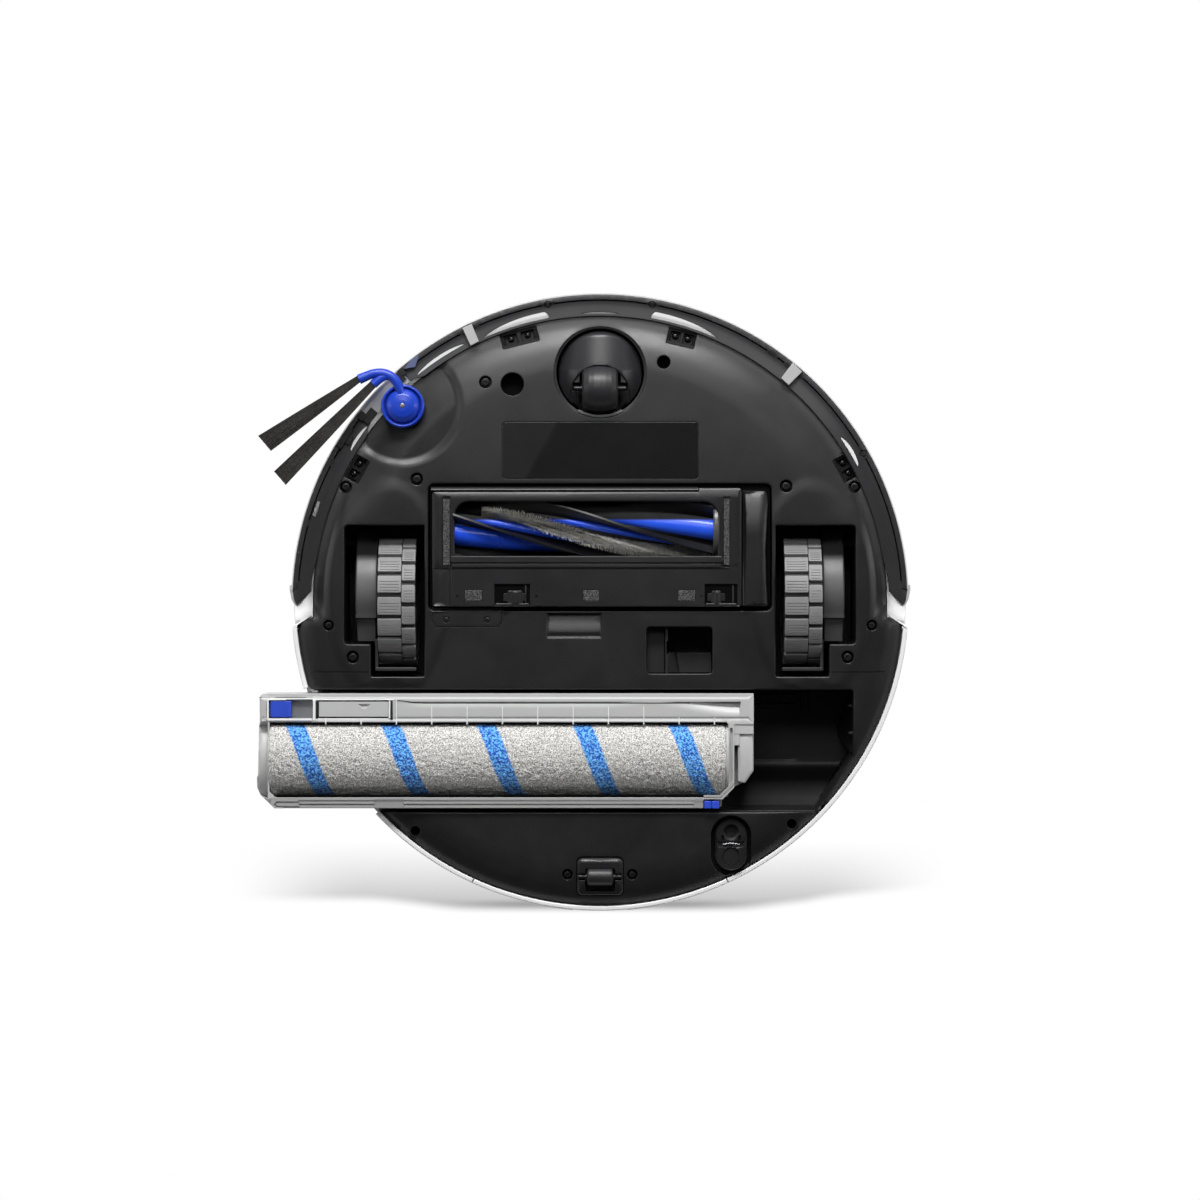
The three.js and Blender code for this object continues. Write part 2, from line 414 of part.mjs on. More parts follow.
add("side_brush_tuft_b", tuft(P(367.2, 387.6), P(373.6, 391.4), P(274.4, 471.7), P(285.9, 485)), BRISTLE);
add("side_brush_motor", cut(join(cyl(-100, -99.5, 12.5, 22, 44, 20), cyl(SIDE.x, SIDE.y, 2.2, 17.4, 26, 12), prism([[-101, -102], [-97.5, -98.5], [-109.2, -108.6], [-112.2, -111.6]].reverse(), 22, 26)), cyl(-100, -99.5, 8, 41, 50, 16)), STEEL);

// ---------- roller mop ----------
const mopOut = [[259.3, 693.4], [754, 693.4], [754, 771], [745, 783.5], [734.5, 783.5], [734.5, 790], [724, 799.5], [724, 808.5], [273, 808.5], [265, 797], [258.6, 775], [MOP_END_X / 0.56 + 600, 750], [MOP_END_X / 0.56 + 600, 722]].map(([a, b]) => P(a, b));
add("mop_frame", cut(prism(mopOut, 6, 53.5),
  box(-187, 73.2, 61.5, 112, 9, 51), box(-187, 73.2, 67.7, 112, 0, 12),
  box(-113, 82.4, 54.6, 66.4, 0, 8.2), box(-110, 80, 54.4, 59.4, 7, 50),
  box(-186, -161.6, 54.6, 65, 0, 14.5), box(-157.8, -118, 54.8, 65.4, 0, 7),
  box(57.9, 67.2, 110, 117, 0, 21), box(75.8, 83.8, 70, 100, 0, 49),
  cyl(-60, 56.9, 2.3, 45, 60, 12), cyl(40, 56.9, 2.3, 45, 60, 12),
  cylX(MOP.y, MOP.z, 5.5, -191, 76, 16)), GREY);
add("mop_core", cut(join(cylX(MOP.y, MOP.z, 17, MOP.x0, MOP.x1, 24), cylX(MOP.y, MOP.z, 5, -190, 74.4, 12)), cylX(MOP.y, MOP.z, 14, MOP.x0 + 3, MOP.x1 - 3, 16), cylX(MOP.y, MOP.z, 2, -192, 76, 8)), TRIM);
add("mop_fleece", cut(cylX(MOP.y, MOP.z, MOP.r, MOP.x0 + 0.4, MOP.x1 - 0.4, 36), cylX(MOP.y, MOP.z, 17.6, MOP.x0 - 2, MOP.x1 + 2, 24)), FLEECE);
add("mop_button_left", join(box(-185.4, -172.2, 55.2, 64.2, 6.4, 10.5), box(-185.4, -178, 57, 62, 10, 14)), BLUE);
add("mop_button_right", box(58.3, 66.8, 112.4, 115.9, 6.2, 20.5), BLUE);
add("mop_sled", cut(join(prism([[-98, 53], [84, 53], [84, 100], [75, 113.5], [-98, 113.5]], 64.3, 67.8), cyl(-60, 56.9, 1.9, 51, 65, 12), cyl(40, 56.9, 1.9, 51, 65, 12)), box(-60, 46, 64, 102, 60, 70)), TRIM);

// ---------- rear roller, ports ----------
add("rear_roller", latheX([[0, -12.8], [1.3, -12.8], [1.3, -7.6], [4.2, -7.6], [5, -6.8], [5, 6.8], [4.2, 7.6], [1.3, 7.6], [1.3, 12.8], [0, 12.8]], 154, 12.2, 20), RUBBER);
add("water_port", cut(prism(stadium(PORT.x, PORT.y, PORT.r, PORT.half, 6), 12, 22), cyl(PORT.x, PORT.y - 7.3, 4.4, 0, 17, 12), cyl(PORT.x, PORT.y + 7, 4.8, 0, 14.4, 12)), BLACK);
add("evac_duct", cut(box(24.2, 64.8, 12.2, 41.8, 13.9, 51), box(26, 63, 13.9, 40, 0, 60)), BLACK);
add("evac_flap", prism([[28, 15], [61, 15], [61, 38.9], [28, 38.9]], 46, 47.6), TRIM);

// ---------- inside ----------
add("dust_bin", cut(join(box(-88, 88, -64, 43.6, 53, 74), box(-58, 20, 9, 43.6, 16, 54)),
  box(-86, 86, -62, 41.6, 55, 80), box(-56, 18, 11, 41.6, 18, 60), // open at the top, under the lid
  box(-20, 20, -21, -6, 50, 56), box(28, 61, 15.4, 39, 50, 56)), SMOKE);
add("bin_filter", box(66, 84, -58, 38, 56, 71), GREY);
add("battery_pack", prism(rounded(-72, 72, -124, -98, 3, 3), 47.5, 71), WRAP);
add("suction_fan", cut(join(cyl(-60, -108, 26, 19, 44, 24), cyl(-60, -108, 12, 16, 20, 16)), cyl(-60, -108, 9, 14, 40, 16)), TRIM);
add("main_board", box(-70, 70, -94, -71, 55, 56.6), BOARD);
function crescent(x0, x1, r0, y0) {
  const p = [[x0, y0], [x1, y0]], n = 7;
  const a1 = Math.acos(x1 / r0), a0 = Math.acos(x0 / r0);
  for (let i = 0; i <= n; i++) { const a = a1 + ((a0 - a1) * i) / n; p.push([r0 * Math.cos(a), r0 * Math.sin(a)]); }
  return p;
}
for (const [name, x0, x1] of [["clean_water_tank", -104, -2], ["dirty_water_tank", 2, 104]])
  add(name, cut(prism(crescent(x0, x1, 165, 122), 27, 73), prism(crescent(x0 + 2, x1 - 2, 163, 124), 29, 71), cyl((x0 + x1) / 2, 138, 9, 65, 80, 20)), SMOKE);

export default root;
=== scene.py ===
# Robot vacuum, the looks. Everything below is in the robot's own frame in millimetres (body axis at x = 0) and is
# written out in metres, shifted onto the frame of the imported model.
import bpy, bmesh, math
import numpy as np
from mathutils import Vector, Matrix
from mathutils.geometry import delaunay_2d_cdt


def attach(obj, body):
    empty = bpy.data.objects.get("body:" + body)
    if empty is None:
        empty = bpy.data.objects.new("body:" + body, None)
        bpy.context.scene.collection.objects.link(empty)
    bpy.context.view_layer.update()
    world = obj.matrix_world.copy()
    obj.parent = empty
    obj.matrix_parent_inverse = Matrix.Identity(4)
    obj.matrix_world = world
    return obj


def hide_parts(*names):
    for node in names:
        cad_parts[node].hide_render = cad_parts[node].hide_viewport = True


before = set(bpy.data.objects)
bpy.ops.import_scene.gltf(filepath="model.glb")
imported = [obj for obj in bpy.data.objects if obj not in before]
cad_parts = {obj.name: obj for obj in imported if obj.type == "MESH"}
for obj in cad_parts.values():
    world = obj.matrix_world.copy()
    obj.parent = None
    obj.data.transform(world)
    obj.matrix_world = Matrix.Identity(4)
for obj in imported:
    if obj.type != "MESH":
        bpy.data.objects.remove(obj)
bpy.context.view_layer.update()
SCENE = bpy.context.scene
MM = 0.001
SX = 8.75
TAU = 2 * math.pi


def kz(z):
    return 0.56 * (1 + (z - 11) / 2700)


def U(u, v, z=11):
    """Layout units of the underside to millimetres at height z."""
    return ((u - 600) * kz(z), (v - 602) * kz(z))


def UL(pts, z=11):
    return [U(u, v, z) for u, v in pts]


# ---------------------------------------------------------------- 2D shapes
def area2(p):
    return 0.5 * sum(p[i][0] * p[(i + 1) % len(p)][1] - p[(i + 1) % len(p)][0] * p[i][1] for i in range(len(p)))


def ccw(p):
    return list(p) if area2(p) > 0 else list(p)[::-1]


def circle(cx, cy, r, n=48, a0=0.0):
    return [(cx + r * math.cos(a0 + TAU * i / n), cy + r * math.sin(a0 + TAU * i / n)) for i in range(n)]


def fillet(p, r, n=5):
    """Rounds each corner of a polygon; r is one radius or a list."""
    p = ccw(p)
    out = []
    m = len(p)
    for i in range(m):
        rr = r[i] if isinstance(r, (list, tuple)) else r
        a, b, c = Vector(p[i - 1]), Vector(p[i]), Vector(p[(i + 1) % m])
        u, v = (a - b), (c - b)
        lu, lv = u.length, v.length
        u.normalize(); v.normalize()
        ang = math.acos(max(-1, min(1, u.dot(v))))
        if rr <= 1e-6 or ang > math.pi - 0.02:
            out.append((b.x, b.y)); continue
        d = min(rr / math.tan(ang / 2), lu * 0.49, lv * 0.49)
        rr = d * math.tan(ang / 2)
        s, e = b + u * d, b + v * d
        bis = (u + v).normalized()
        cen = b + bis * (rr / math.sin(ang / 2))
        a0 = math.atan2(s.y - cen.y, s.x - cen.x)
        a1 = math.atan2(e.y - cen.y, e.x - cen.x)
        da = (a1 - a0 + math.pi) % TAU - math.pi
        k = max(2, n)
        for j in range(k + 1):
            t = a0 + da * j / k
            out.append((cen.x + rr * math.cos(t), cen.y + rr * math.sin(t)))
    return out


def rrect(x0, x1, y0, y1, r=1.0, n=5):
    return fillet([(x0, y0), (x1, y0), (x1, y1), (x0, y1)], r, n)


def stadium(cx, cy, r, half, n=16):
    p = [(cx + r * math.cos(math.pi * i / n), cy + half + r * math.sin(math.pi * i / n)) for i in range(n + 1)]
    p += [(cx + r * math.cos(math.pi + math.pi * i / n), cy - half + r * math.sin(math.pi + math.pi * i / n)) for i in range(n + 1)]
    return p


def turn(p, deg, cx=0.0, cy=0.0, dx=0.0, dy=0.0):
    c, s = math.cos(math.radians(deg)), math.sin(math.radians(deg))
    return [(cx + (x - cx) * c - (y - cy) * s + dx, cy + (x - cx) * s + (y - cy) * c + dy) for x, y in p]


def mirror(p):
    return [(-x, y) for x, y in p][::-1]


def offset(p, d):
    """Moves a counter-clockwise polygon's edges outwards by d."""
    if abs(d) < 1e-9:
        return list(p)
    q = np.array(p, float)
    e = np.roll(q, -1, 0) - q
    e /= np.maximum(np.linalg.norm(e, axis=1), 1e-12)[:, None]
    n = np.stack([e[:, 1], -e[:, 0]], 1)
    n0 = np.roll(n, 1, 0)
    m = n + n0
    m /= np.maximum(np.linalg.norm(m, axis=1), 1e-9)[:, None]
    k = d / np.maximum((m * n).sum(1), 0.35)
    return [tuple(x) for x in q + m * k[:, None]]


def arc(r, a0, a1, n, cx=0.0, cy=0.0):
    return [(cx + r * math.cos(a0 + (a1 - a0) * i / n), cy + r * math.sin(a0 + (a1 - a0) * i / n)) for i in range(n + 1)]


def smooth(a, b, x):
    t = np.clip((np.asarray(x, float) - a) / (b - a), 0, 1)
    return t * t * (3 - 2 * t)


def inside(poly, pts):
    """Mask of the points inside a polygon."""
    p = np.asarray(poly, float)
    x, y = pts[:, 0], pts[:, 1]
    res = np.zeros(len(pts), bool)
    x0, y0 = p[:, 0], p[:, 1]
    x1, y1 = np.roll(x0, -1), np.roll(y0, -1)
    for a, b, c, d in zip(x0, y0, x1, y1):
        if b == d:
            continue
        m = (b > y) != (d > y)
        res ^= m & (x < (c - a) * (y - b) / (d - b) + a)
    return res


def near(poly, pts, dist):
    """Mask of the points nearer to a polygon's line than dist."""
    p = np.asarray(poly, float)
    q = np.roll(p, -1, 0)
    lo, hi = p.min(0) - dist, p.max(0) + dist
    res = np.zeros(len(pts), bool)
    cand = np.where((pts[:, 0] > lo[0]) & (pts[:, 0] < hi[0]) & (pts[:, 1] > lo[1]) & (pts[:, 1] < hi[1]))[0]
    if not len(cand):
        return res
    c = pts[cand]
    best = np.full(len(c), 1e9)
    for a, b in zip(p, q):
        ab = b - a
        l2 = max(ab @ ab, 1e-12)
        t = np.clip(((c - a) @ ab) / l2, 0, 1)
        dd = np.linalg.norm(c - (a + t[:, None] * ab), axis=1)
        best = np.minimum(best, dd)
    res[cand[best < dist]] = True
    return res


# ---------------------------------------------------------------- mesh builder
class MB:
    def __init__(self):
        self.v, self.f, self.m = [], [], []
        self.mat = 0

    def verts(self, pts):
        i = len(self.v)
        self.v.extend([tuple(map(float, p)) for p in pts])
        return list(range(i, i + len(pts)))

    def face(self, idx):
        self.f.append(tuple(idx))
        self.m.append(self.mat)

    def strip(self, a, b, closed=True):
        n = len(a)
        for i in range(n if closed else n - 1):
            j = (i + 1) % n
            self.face((a[i], a[j], b[j], b[i]))

    def cap(self, a, flip=False):
        self.face(a[::-1] if flip else a)

    def add(self, other, fn=None):
        """Takes in another builder, its points moved by fn."""
        i = len(self.v)
        self.v.extend([tuple(fn(p)) for p in other.v] if fn else other.v)
        self.f.extend([tuple(j + i for j in f) for f in other.f])
        self.m.extend(other.m)
        return self


def cdt(outer, holes, extra=()):
    """Triangles of a region with holes, with extra inner points. Returns points and triangles."""
    pts, edges = [], []
    for loop in [outer, *holes]:
        i = len(pts)
        pts += [Vector((x, y)) for x, y in loop]
        edges += [(i + k, i + (k + 1) % len(loop)) for k in range(len(loop))]
    pts += [Vector((float(x), float(y))) for x, y in extra]
    ov, _, of, _, _, _ = delaunay_2d_cdt(pts, edges, [], 0, 1e-5)
    co = np.array([(v.x, v.y) for v in ov])
    tri = np.array([tuple(f) for f in of if len(f) == 3], int)
    cen = co[tri].mean(1)
    keep = inside(outer, cen)
    for h in holes:
        keep &= ~inside(h, cen)
    return co, tri[keep]


def fill(mb, outer, holes, h, extra=None, up=False):
    """Fills a region at height h(x, y), facing down unless up."""
    ex = np.zeros((0, 2)) if extra is None or not len(extra) else np.asarray(extra, float)
    if len(ex):
        keep = inside(outer, ex) & ~near(outer, ex, 0.7)
        for q in holes:
            keep &= ~inside(q, ex) & ~near(q, ex, 0.6)
        ex = ex[keep]
    co, tri = cdt(outer, holes, ex)
    z = [h(x, y) for x, y in co]
    i = mb.verts([(x, y, zz) for (x, y), zz in zip(co, z)])[0]
    for a, b, c in tri:
        p, q, r = co[a], co[b], co[c]
        pos = (q[0] - p[0]) * (r[1] - p[1]) - (q[1] - p[1]) * (r[0] - p[0]) > 0
        t = (a, b, c) if pos == up else (a, c, b)
        mb.face([i + k for k in t])


def rin(b, n=4):
    """Ring steps of a rounded edge from a face into a wall: (outward offset, depth)."""
    return [(b * (1 - math.sin(t)), b * (1 - math.cos(t))) for t in [i / n * math.pi / 2 for i in range(n + 1)]]


def rfl(f, depth, n=3):
    """Ring steps of a fillet from a wall to a floor at depth."""
    return [(-f * (1 - math.cos(t)), depth - f + f * math.sin(t)) for t in [i / n * math.pi / 2 for i in range(n + 1)]]


def densify(p, m):
    out = []
    for i in range(len(p)):
        a, b = p[i], p[(i + 1) % len(p)]
        k = max(1, int(math.ceil(math.hypot(b[0] - a[0], b[1] - a[1]) / m)))
        out += [(a[0] + (b[0] - a[0]) * j / k, a[1] + (b[1] - a[1]) * j / k) for j in range(k)]
    return out


def sunk(mb, loop, rings, h, floor=True, fh=None, fextra=None, fholes=()):
    """A recess (or, with negative depths, a boss) in a downward face. rings: (offset, depth) from h, or (offset, z, 1) absolute.
    Returns the outermost loop, which the face around it leaves open."""
    loop = ccw(loop)
    prev, first = None, None
    for ring in rings:
        o = offset(loop, ring[0])
        if first is None:
            first = o
        if len(ring) > 2 and ring[2] == 1:
            zz = [ring[1](x, y) if callable(ring[1]) else ring[1] for x, y in o]
        else:
            zz = [h(x, y) + ring[1] for x, y in o]
        idx = mb.verts([(x, y, z) for (x, y), z in zip(o, zz)])
        if prev is not None:
            n = len(idx)
            for i in range(n):
                j = (i + 1) % n
                mb.face((prev[i], idx[i], idx[j], prev[j]))
        prev, last, lastz = idx, o, zz
    if floor:
        if fh is None:
            ring = rings[-1]
            fh = (lambda x, y, z=ring[1]: z) if len(ring) > 2 and not callable(ring[1]) else (ring[1] if len(ring) > 2 else (lambda x, y, d=ring[1]: h(x, y) + d))
        fill(mb, last, list(fholes), fh, fextra)
    return first


def slab(mb, loop, z0, z1, b0=0.3, b1=None, n=3, h0=None):
    """A closed plate between z0 and z1 (z0 the lower face) with rounded edges."""
    loop = ccw(loop)
    b1 = b0 if b1 is None else b1
    prof = []
    for t in [i / n * math.pi / 2 for i in range(n + 1)]:
        prof.append((-b0 * (1 - math.sin(t)), z0 + b0 * (1 - math.cos(t))))
    for t in [i / n * math.pi / 2 for i in range(n + 1)]:
        prof.append((-b1 * (1 - math.cos(t)), z1 - b1 + b1 * math.sin(t)))
    prev = None
    for off, z in prof:
        o = offset(loop, off)
        idx = mb.verts([(x, y, z) for x, y in o])
        if prev:
            mb.strip(prev, idx)
        else:
            mb.cap(idx, True)
        prev = idx
    mb.cap(prev)


def rotX(p, y, z, deg):
    c, s = math.cos(math.radians(deg)), math.sin(math.radians(deg))
    return (p[0], y + (p[1] - y) * c - (p[2] - z) * s, z + (p[1] - y) * s + (p[2] - z) * c)


def slab_dir(mb, loop, t0, t1, to, b=0.3, n=3):
    """A slab made in (a, b) with thickness along c, sent to space by to(a, b, c)."""
    s = MB()
    s.mat = mb.mat
    slab(s, loop, t0, t1, b, b, n)
    mb.add(s, lambda p: to(*p))


def along_x(a, b, c):  # loop in (y, z), thickness along x
    return (c, a, b)


def along_y(a, b, c):  # loop in (x, z), thickness along y
    return (a, c, b)


def block(mb, x0, x1, y0, y1, z0, z1, b=0.4, r=None, n=3):
    r = min(b * 1.6 if r is None else r, (x1 - x0) * 0.45, (y1 - y0) * 0.45)
    b = min(b, r * 0.95, (z1 - z0) * 0.45)
    slab(mb, rrect(x0, x1, y0, y1, r, 4), z0, z1, b, b, n)


def fil_prof(p, r, n=4, closed=False):
    """Rounds the corners of an open profile line."""
    out = [p[0]]
    for i in range(1, len(p) - 1):
        rr = r[i] if isinstance(r, (list, tuple)) else r
        a, b, c = Vector(p[i - 1]), Vector(p[i]), Vector(p[i + 1])
        u, v = (a - b), (c - b)
        lu, lv = u.length, v.length
        if lu < 1e-6 or lv < 1e-6:
            continue
        u.normalize(); v.normalize()
        ang = math.acos(max(-1, min(1, u.dot(v))))
        if ang > math.pi - 0.05 or rr <= 0:
            out.append(p[i]); continue
        d = min(rr / math.tan(ang / 2), lu * 0.48, lv * 0.48)
        s, e = b + u * d, b + v * d
        for j in range(n + 1):
            t = j / n
            q = s * (1 - t) ** 2 + b * 2 * t * (1 - t) + e * t ** 2
            out.append((q.x, q.y))
    out.append(p[-1])
    return out


def lathe(mb, prof, n=96, a0=0.0, a1=TAU, cx=0.0, cy=0.0, to=None, wob=None):
    """Turns a closed or axis-to-axis profile [(r, z)] about Z (or another axis through to)."""
    full = abs(a1 - a0 - TAU) < 1e-6
    steps = n if full else n + 1
    rings = []
    to = to or (lambda x, y, z: (x + cx, y + cy, z))
    for i in range(steps):
        a = a0 + (a1 - a0) * i / n
        c, s = math.cos(a), math.sin(a)
        rings.append(mb.verts([to(r * c, r * s, z) for r, z in prof]))
    closed_prof = not (prof[0][0] < 1e-9 and prof[-1][0] < 1e-9)
    m = len(prof)
    for i in range(n):
        A, B = rings[i], rings[(i + 1) % steps]
        for k in range(m if closed_prof else m - 1):
            l = (k + 1) % m
            if prof[k][0] < 1e-9 and prof[l][0] < 1e-9:
                continue
            if prof[k][0] < 1e-9:
                mb.face((A[k], B[l], A[l]))
            elif prof[l][0] < 1e-9:
                mb.face((A[k], B[k], A[l]))
            else:
                mb.face((A[k], B[k], B[l], A[l]))
    if not full:
        mb.cap(rings[0]); mb.cap(rings[-1], True)
    return rings


def axis_x(cy, cz):
    """Sends a lathe about Z to one about X through (cy, cz): z becomes x."""
    return lambda x, y, z: (z, cy + x, cz + y)


def axis_y(cx, cz):
    return lambda x, y, z: (cx + x, z, cz + y)


def frames(pts):
    """Tangents and steady normals along a line of points."""
    p = np.asarray(pts, float)
    t = np.gradient(p, axis=0)
    t /= np.maximum(np.linalg.norm(t, axis=1), 1e-12)[:, None]
    up = np.array([0, 0, 1.0]) if abs(t[0][2]) < 0.9 else np.array([0, 1.0, 0])
    n = np.cross(t[0], up); n /= np.linalg.norm(n)
    N = [n]
    for i in range(1, len(p)):
        m = N[-1] - t[i] * (N[-1] @ t[i])
        m /= max(np.linalg.norm(m), 1e-12)
        N.append(m)
    N = np.array(N)
    return p, t, N, np.cross(t, N)


def tube(mb, pts, rad, n=12, ends=True, sec=None):
    """A round (or sec-shaped) tube along points; rad is a number or a list."""
    p, t, N, B = frames(pts)
    rr = rad if hasattr(rad, "__len__") else [rad] * len(p)
    rings = []
    for i in range(len(p)):
        if sec is None:
            rings.append(mb.verts([p[i] + rr[i] * (N[i] * math.cos(TAU * k / n) + B[i] * math.sin(TAU * k / n)) for k in range(n)]))
        else:
            rings.append(mb.verts([p[i] + rr[i] * (N[i] * a + B[i] * b) for a, b in sec]))
    for a, b in zip(rings, rings[1:]):
        mb.strip(a, b)
    if ends:
        mb.cap(rings[0], True); mb.cap(rings[-1])
    return rings


def curve_pts(ctrl, n):
    """Catmull-Rom through control points."""
    c = [Vector(p) for p in ctrl]
    c = [c[0] * 2 - c[1], *c, c[-1] * 2 - c[-2]]
    out = []
    segs = len(c) - 3
    for s in range(segs):
        k = n if s < segs - 1 else n + 1
        for i in range(k):
            t = i / n
            a, b, d, e = c[s:s + 4]
            out.append(tuple(0.5 * ((2 * b) + (-a + d) * t + (2 * a - 5 * b + 4 * d - e) * t * t + (-a + 3 * b - 3 * d + e) * t ** 3)))
    return out


# ---------------------------------------------------------------- objects
COUNT = [0]


def piece(mb, name, mats, body, replaces=(), angle=34, recalc=True, wn=True, thick=None, weld=0.002, down=False, subd=0, bevel=None):
    me = bpy.data.meshes.new(name)
    co = np.array(mb.v, float) * MM
    co[:, 0] += SX * MM
    me.from_pydata([tuple(x) for x in co], [], mb.f)
    mats = mats if isinstance(mats, (list, tuple)) else [mats]
    for m in mats:
        me.materials.append(m)
    me.polygons.foreach_set("material_index", np.array(mb.m, np.int32))
    bm = bmesh.new()
    bm.from_mesh(me)
    if weld:
        bmesh.ops.remove_doubles(bm, verts=bm.verts, dist=weld * MM)
    bmesh.ops.dissolve_degenerate(bm, dist=2e-7, edges=bm.edges)
    loose = [v for v in bm.verts if not v.link_faces]
    bmesh.ops.delete(bm, geom=loose, context="VERTS")
    if recalc:
        bmesh.ops.recalc_face_normals(bm, faces=bm.faces)
    if down:  # the largest face looks down
        big = max(bm.faces, key=lambda f: f.calc_area())
        if big.normal.z > 0:
            bmesh.ops.reverse_faces(bm, faces=bm.faces)
    bm.to_mesh(me)
    bm.free()
    me.polygons.foreach_set("use_smooth", np.ones(len(me.polygons), bool))
    me.set_sharp_from_angle(angle=math.radians(angle))
    me.update()
    o = bpy.data.objects.new(name, me)
    SCENE.collection.objects.link(o)
    if thick:
        s = o.modifiers.new("wall", "SOLIDIFY")
        s.thickness, s.offset = thick * MM, -1
        s.use_rim = True
    if bevel:
        b = o.modifiers.new("edge", "BEVEL")
        b.width, b.segments, b.limit_method, b.angle_limit = bevel * MM, 2, "ANGLE", math.radians(40)
        b.harden_normals = False
    if subd:
        s = o.modifiers.new("sub", "SUBSURF")
        s.levels = s.render_levels = subd
    if wn:
        w = o.modifiers.new("normals", "WEIGHTED_NORMAL")
        w.keep_sharp = True
        w.weight = 60
    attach(o, body)
    if replaces:
        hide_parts(*replaces)
    return o


# ---------------------------------------------------------------- materials
def lin(h):
    """#rrggbb to linear."""
    h = h.lstrip("#")
    v = [int(h[i:i + 2], 16) / 255 for i in (0, 2, 4)]
    return tuple(x / 12.92 if x <= 0.04045 else ((x + 0.055) / 1.055) ** 2.4 for x in v) + (1.0,)


class NT:
    """A short hand for building a node tree."""

    def __init__(self, name):
        self.mat = bpy.data.materials.new(name)
        self.mat.use_nodes = True
        self.t = self.mat.node_tree
        self.t.nodes.clear()
        self.out = self.t.nodes.new("ShaderNodeOutputMaterial")
        self.b = self.t.nodes.new("ShaderNodeBsdfPrincipled")
        self.t.links.new(self.b.outputs[0], self.out.inputs[0])
        self.tc = self.t.nodes.new("ShaderNodeTexCoord")
        self.obj = self.tc.outputs["Object"]

    def n(self, kind, **kw):
        x = self.t.nodes.new(kind)
        for k, v in kw.items():
            setattr(x, k, v)
        return x

    def link(self, a, b):
        self.t.links.new(a, b)

    def put(self, node, **kw):
        for k, v in kw.items():
            s = node.inputs[k.replace("_", " ")] if k.replace("_", " ") in node.inputs else node.inputs[k]
            if hasattr(v, "is_output") or isinstance(v, bpy.types.NodeSocket):
                self.link(v, s)
            else:
                s.default_value = v
        return node

    def noise(self, scale, detail=3.0, rough=0.55, vec=None, dist=0.0):
        x = self.n("ShaderNodeTexNoise")
        self.link(vec or self.obj, x.inputs["Vector"])
        x.inputs["Scale"].default_value = scale
        x.inputs["Detail"].default_value = detail
        x.inputs["Roughness"].default_value = rough
        x.inputs["Distortion"].default_value = dist
        return x.outputs["Fac"]

    def stretch(self, sx, sy, sz, rot=(0, 0, 0)):
        m = self.n("ShaderNodeMapping")
        self.link(self.obj, m.inputs["Vector"])
        m.inputs["Scale"].default_value = (sx, sy, sz)
        m.inputs["Rotation"].default_value = rot
        return m.outputs["Vector"]

    def range(self, v, a, b, c, d, kind="LINEAR"):
        m = self.n("ShaderNodeMapRange", interpolation_type=kind)
        self.link(v, m.inputs["Value"])
        for k, x in zip(("From Min", "From Max", "To Min", "To Max"), (a, b, c, d)):
            m.inputs[k].default_value = x
        return m.outputs["Result"]

    def math(self, op, a, b=None, c=None):
        m = self.n("ShaderNodeMath", operation=op)
        for i, x in enumerate((a, b, c)):
            if x is None:
                continue
            if isinstance(x, (int, float)):
                m.inputs[i].default_value = x
            else:
                self.link(x, m.inputs[i])
        return m.outputs[0]

    def mix(self, f, a, b, mode="MIX"):
        m = self.n("ShaderNodeMix", data_type="RGBA", blend_type=mode)
        if isinstance(f, (int, float)):
            m.inputs[0].default_value = f
        else:
            self.link(f, m.inputs[0])
        for i, x in ((6, a), (7, b)):
            if isinstance(x, tuple):
                m.inputs[i].default_value = x
            else:
                self.link(x, m.inputs[i])
        return m.outputs[2]

    def bump(self, h, strength, dist, normal=None):
        b = self.n("ShaderNodeBump")
        b.inputs["Strength"].default_value = strength
        b.inputs["Distance"].default_value = dist
        self.link(h, b.inputs["Height"])
        if normal is not None:
            self.link(normal, b.inputs["Normal"])
        return b.outputs["Normal"]


def plastic(name, color, rough=0.42, grain=0.25, gscale=1500, var=0.10, spec=0.5, coat=0.0, coat_rough=0.1, rvar=0.07, wear=0.0, metal=0.0, dist=0.00012, ior=1.48, sheen=0.0, shade=None):
    """Moulded plastic (or metal): fine moulded grain, slow changes of tone and gloss, rubbed edges."""
    t = NT(name)
    base = lin(color)
    big = t.noise(22, 3, 0.6)
    mid = t.noise(140, 2, 0.5)
    tone = t.math("ADD", t.math("MULTIPLY", big, 0.65), t.math("MULTIPLY", mid, 0.35))
    lo = tuple(c * (1 - var) for c in base[:3]) + (1,)
    hi = tuple(min(1, c * (1 + var)) for c in base[:3]) + (1,)
    col = t.mix(t.range(tone, 0.32, 0.68, 0, 1), lo, hi)
    if wear:
        geo = t.n("ShaderNodeNewGeometry")
        edge = t.range(geo.outputs["Pointiness"], 0.52, 0.62, 0, wear)
        col = t.mix(edge, col, tuple(min(1, c * 1.9 + 0.02) for c in base[:3]) + (1,))
    if shade:
        col = shade(t, col)
    t.link(col, t.b.inputs["Base Color"])
    t.link(t.range(t.noise(48, 4, 0.6), 0.3, 0.7, max(0.02, rough - rvar), rough + rvar), t.b.inputs["Roughness"])
    fine = t.noise(gscale, 2, 0.6)
    t.link(t.bump(fine, grain, dist), t.b.inputs["Normal"])
    t.b.inputs["Specular IOR Level"].default_value = spec
    t.b.inputs["IOR"].default_value = ior
    t.b.inputs["Metallic"].default_value = metal
    t.b.inputs["Coat Weight"].default_value = coat
    t.b.inputs["Coat Roughness"].default_value = coat_rough
    if sheen:
        t.b.inputs["Sheen Weight"].default_value = sheen
        t.b.inputs["Sheen Roughness"].default_value = 0.5
    return t.mat


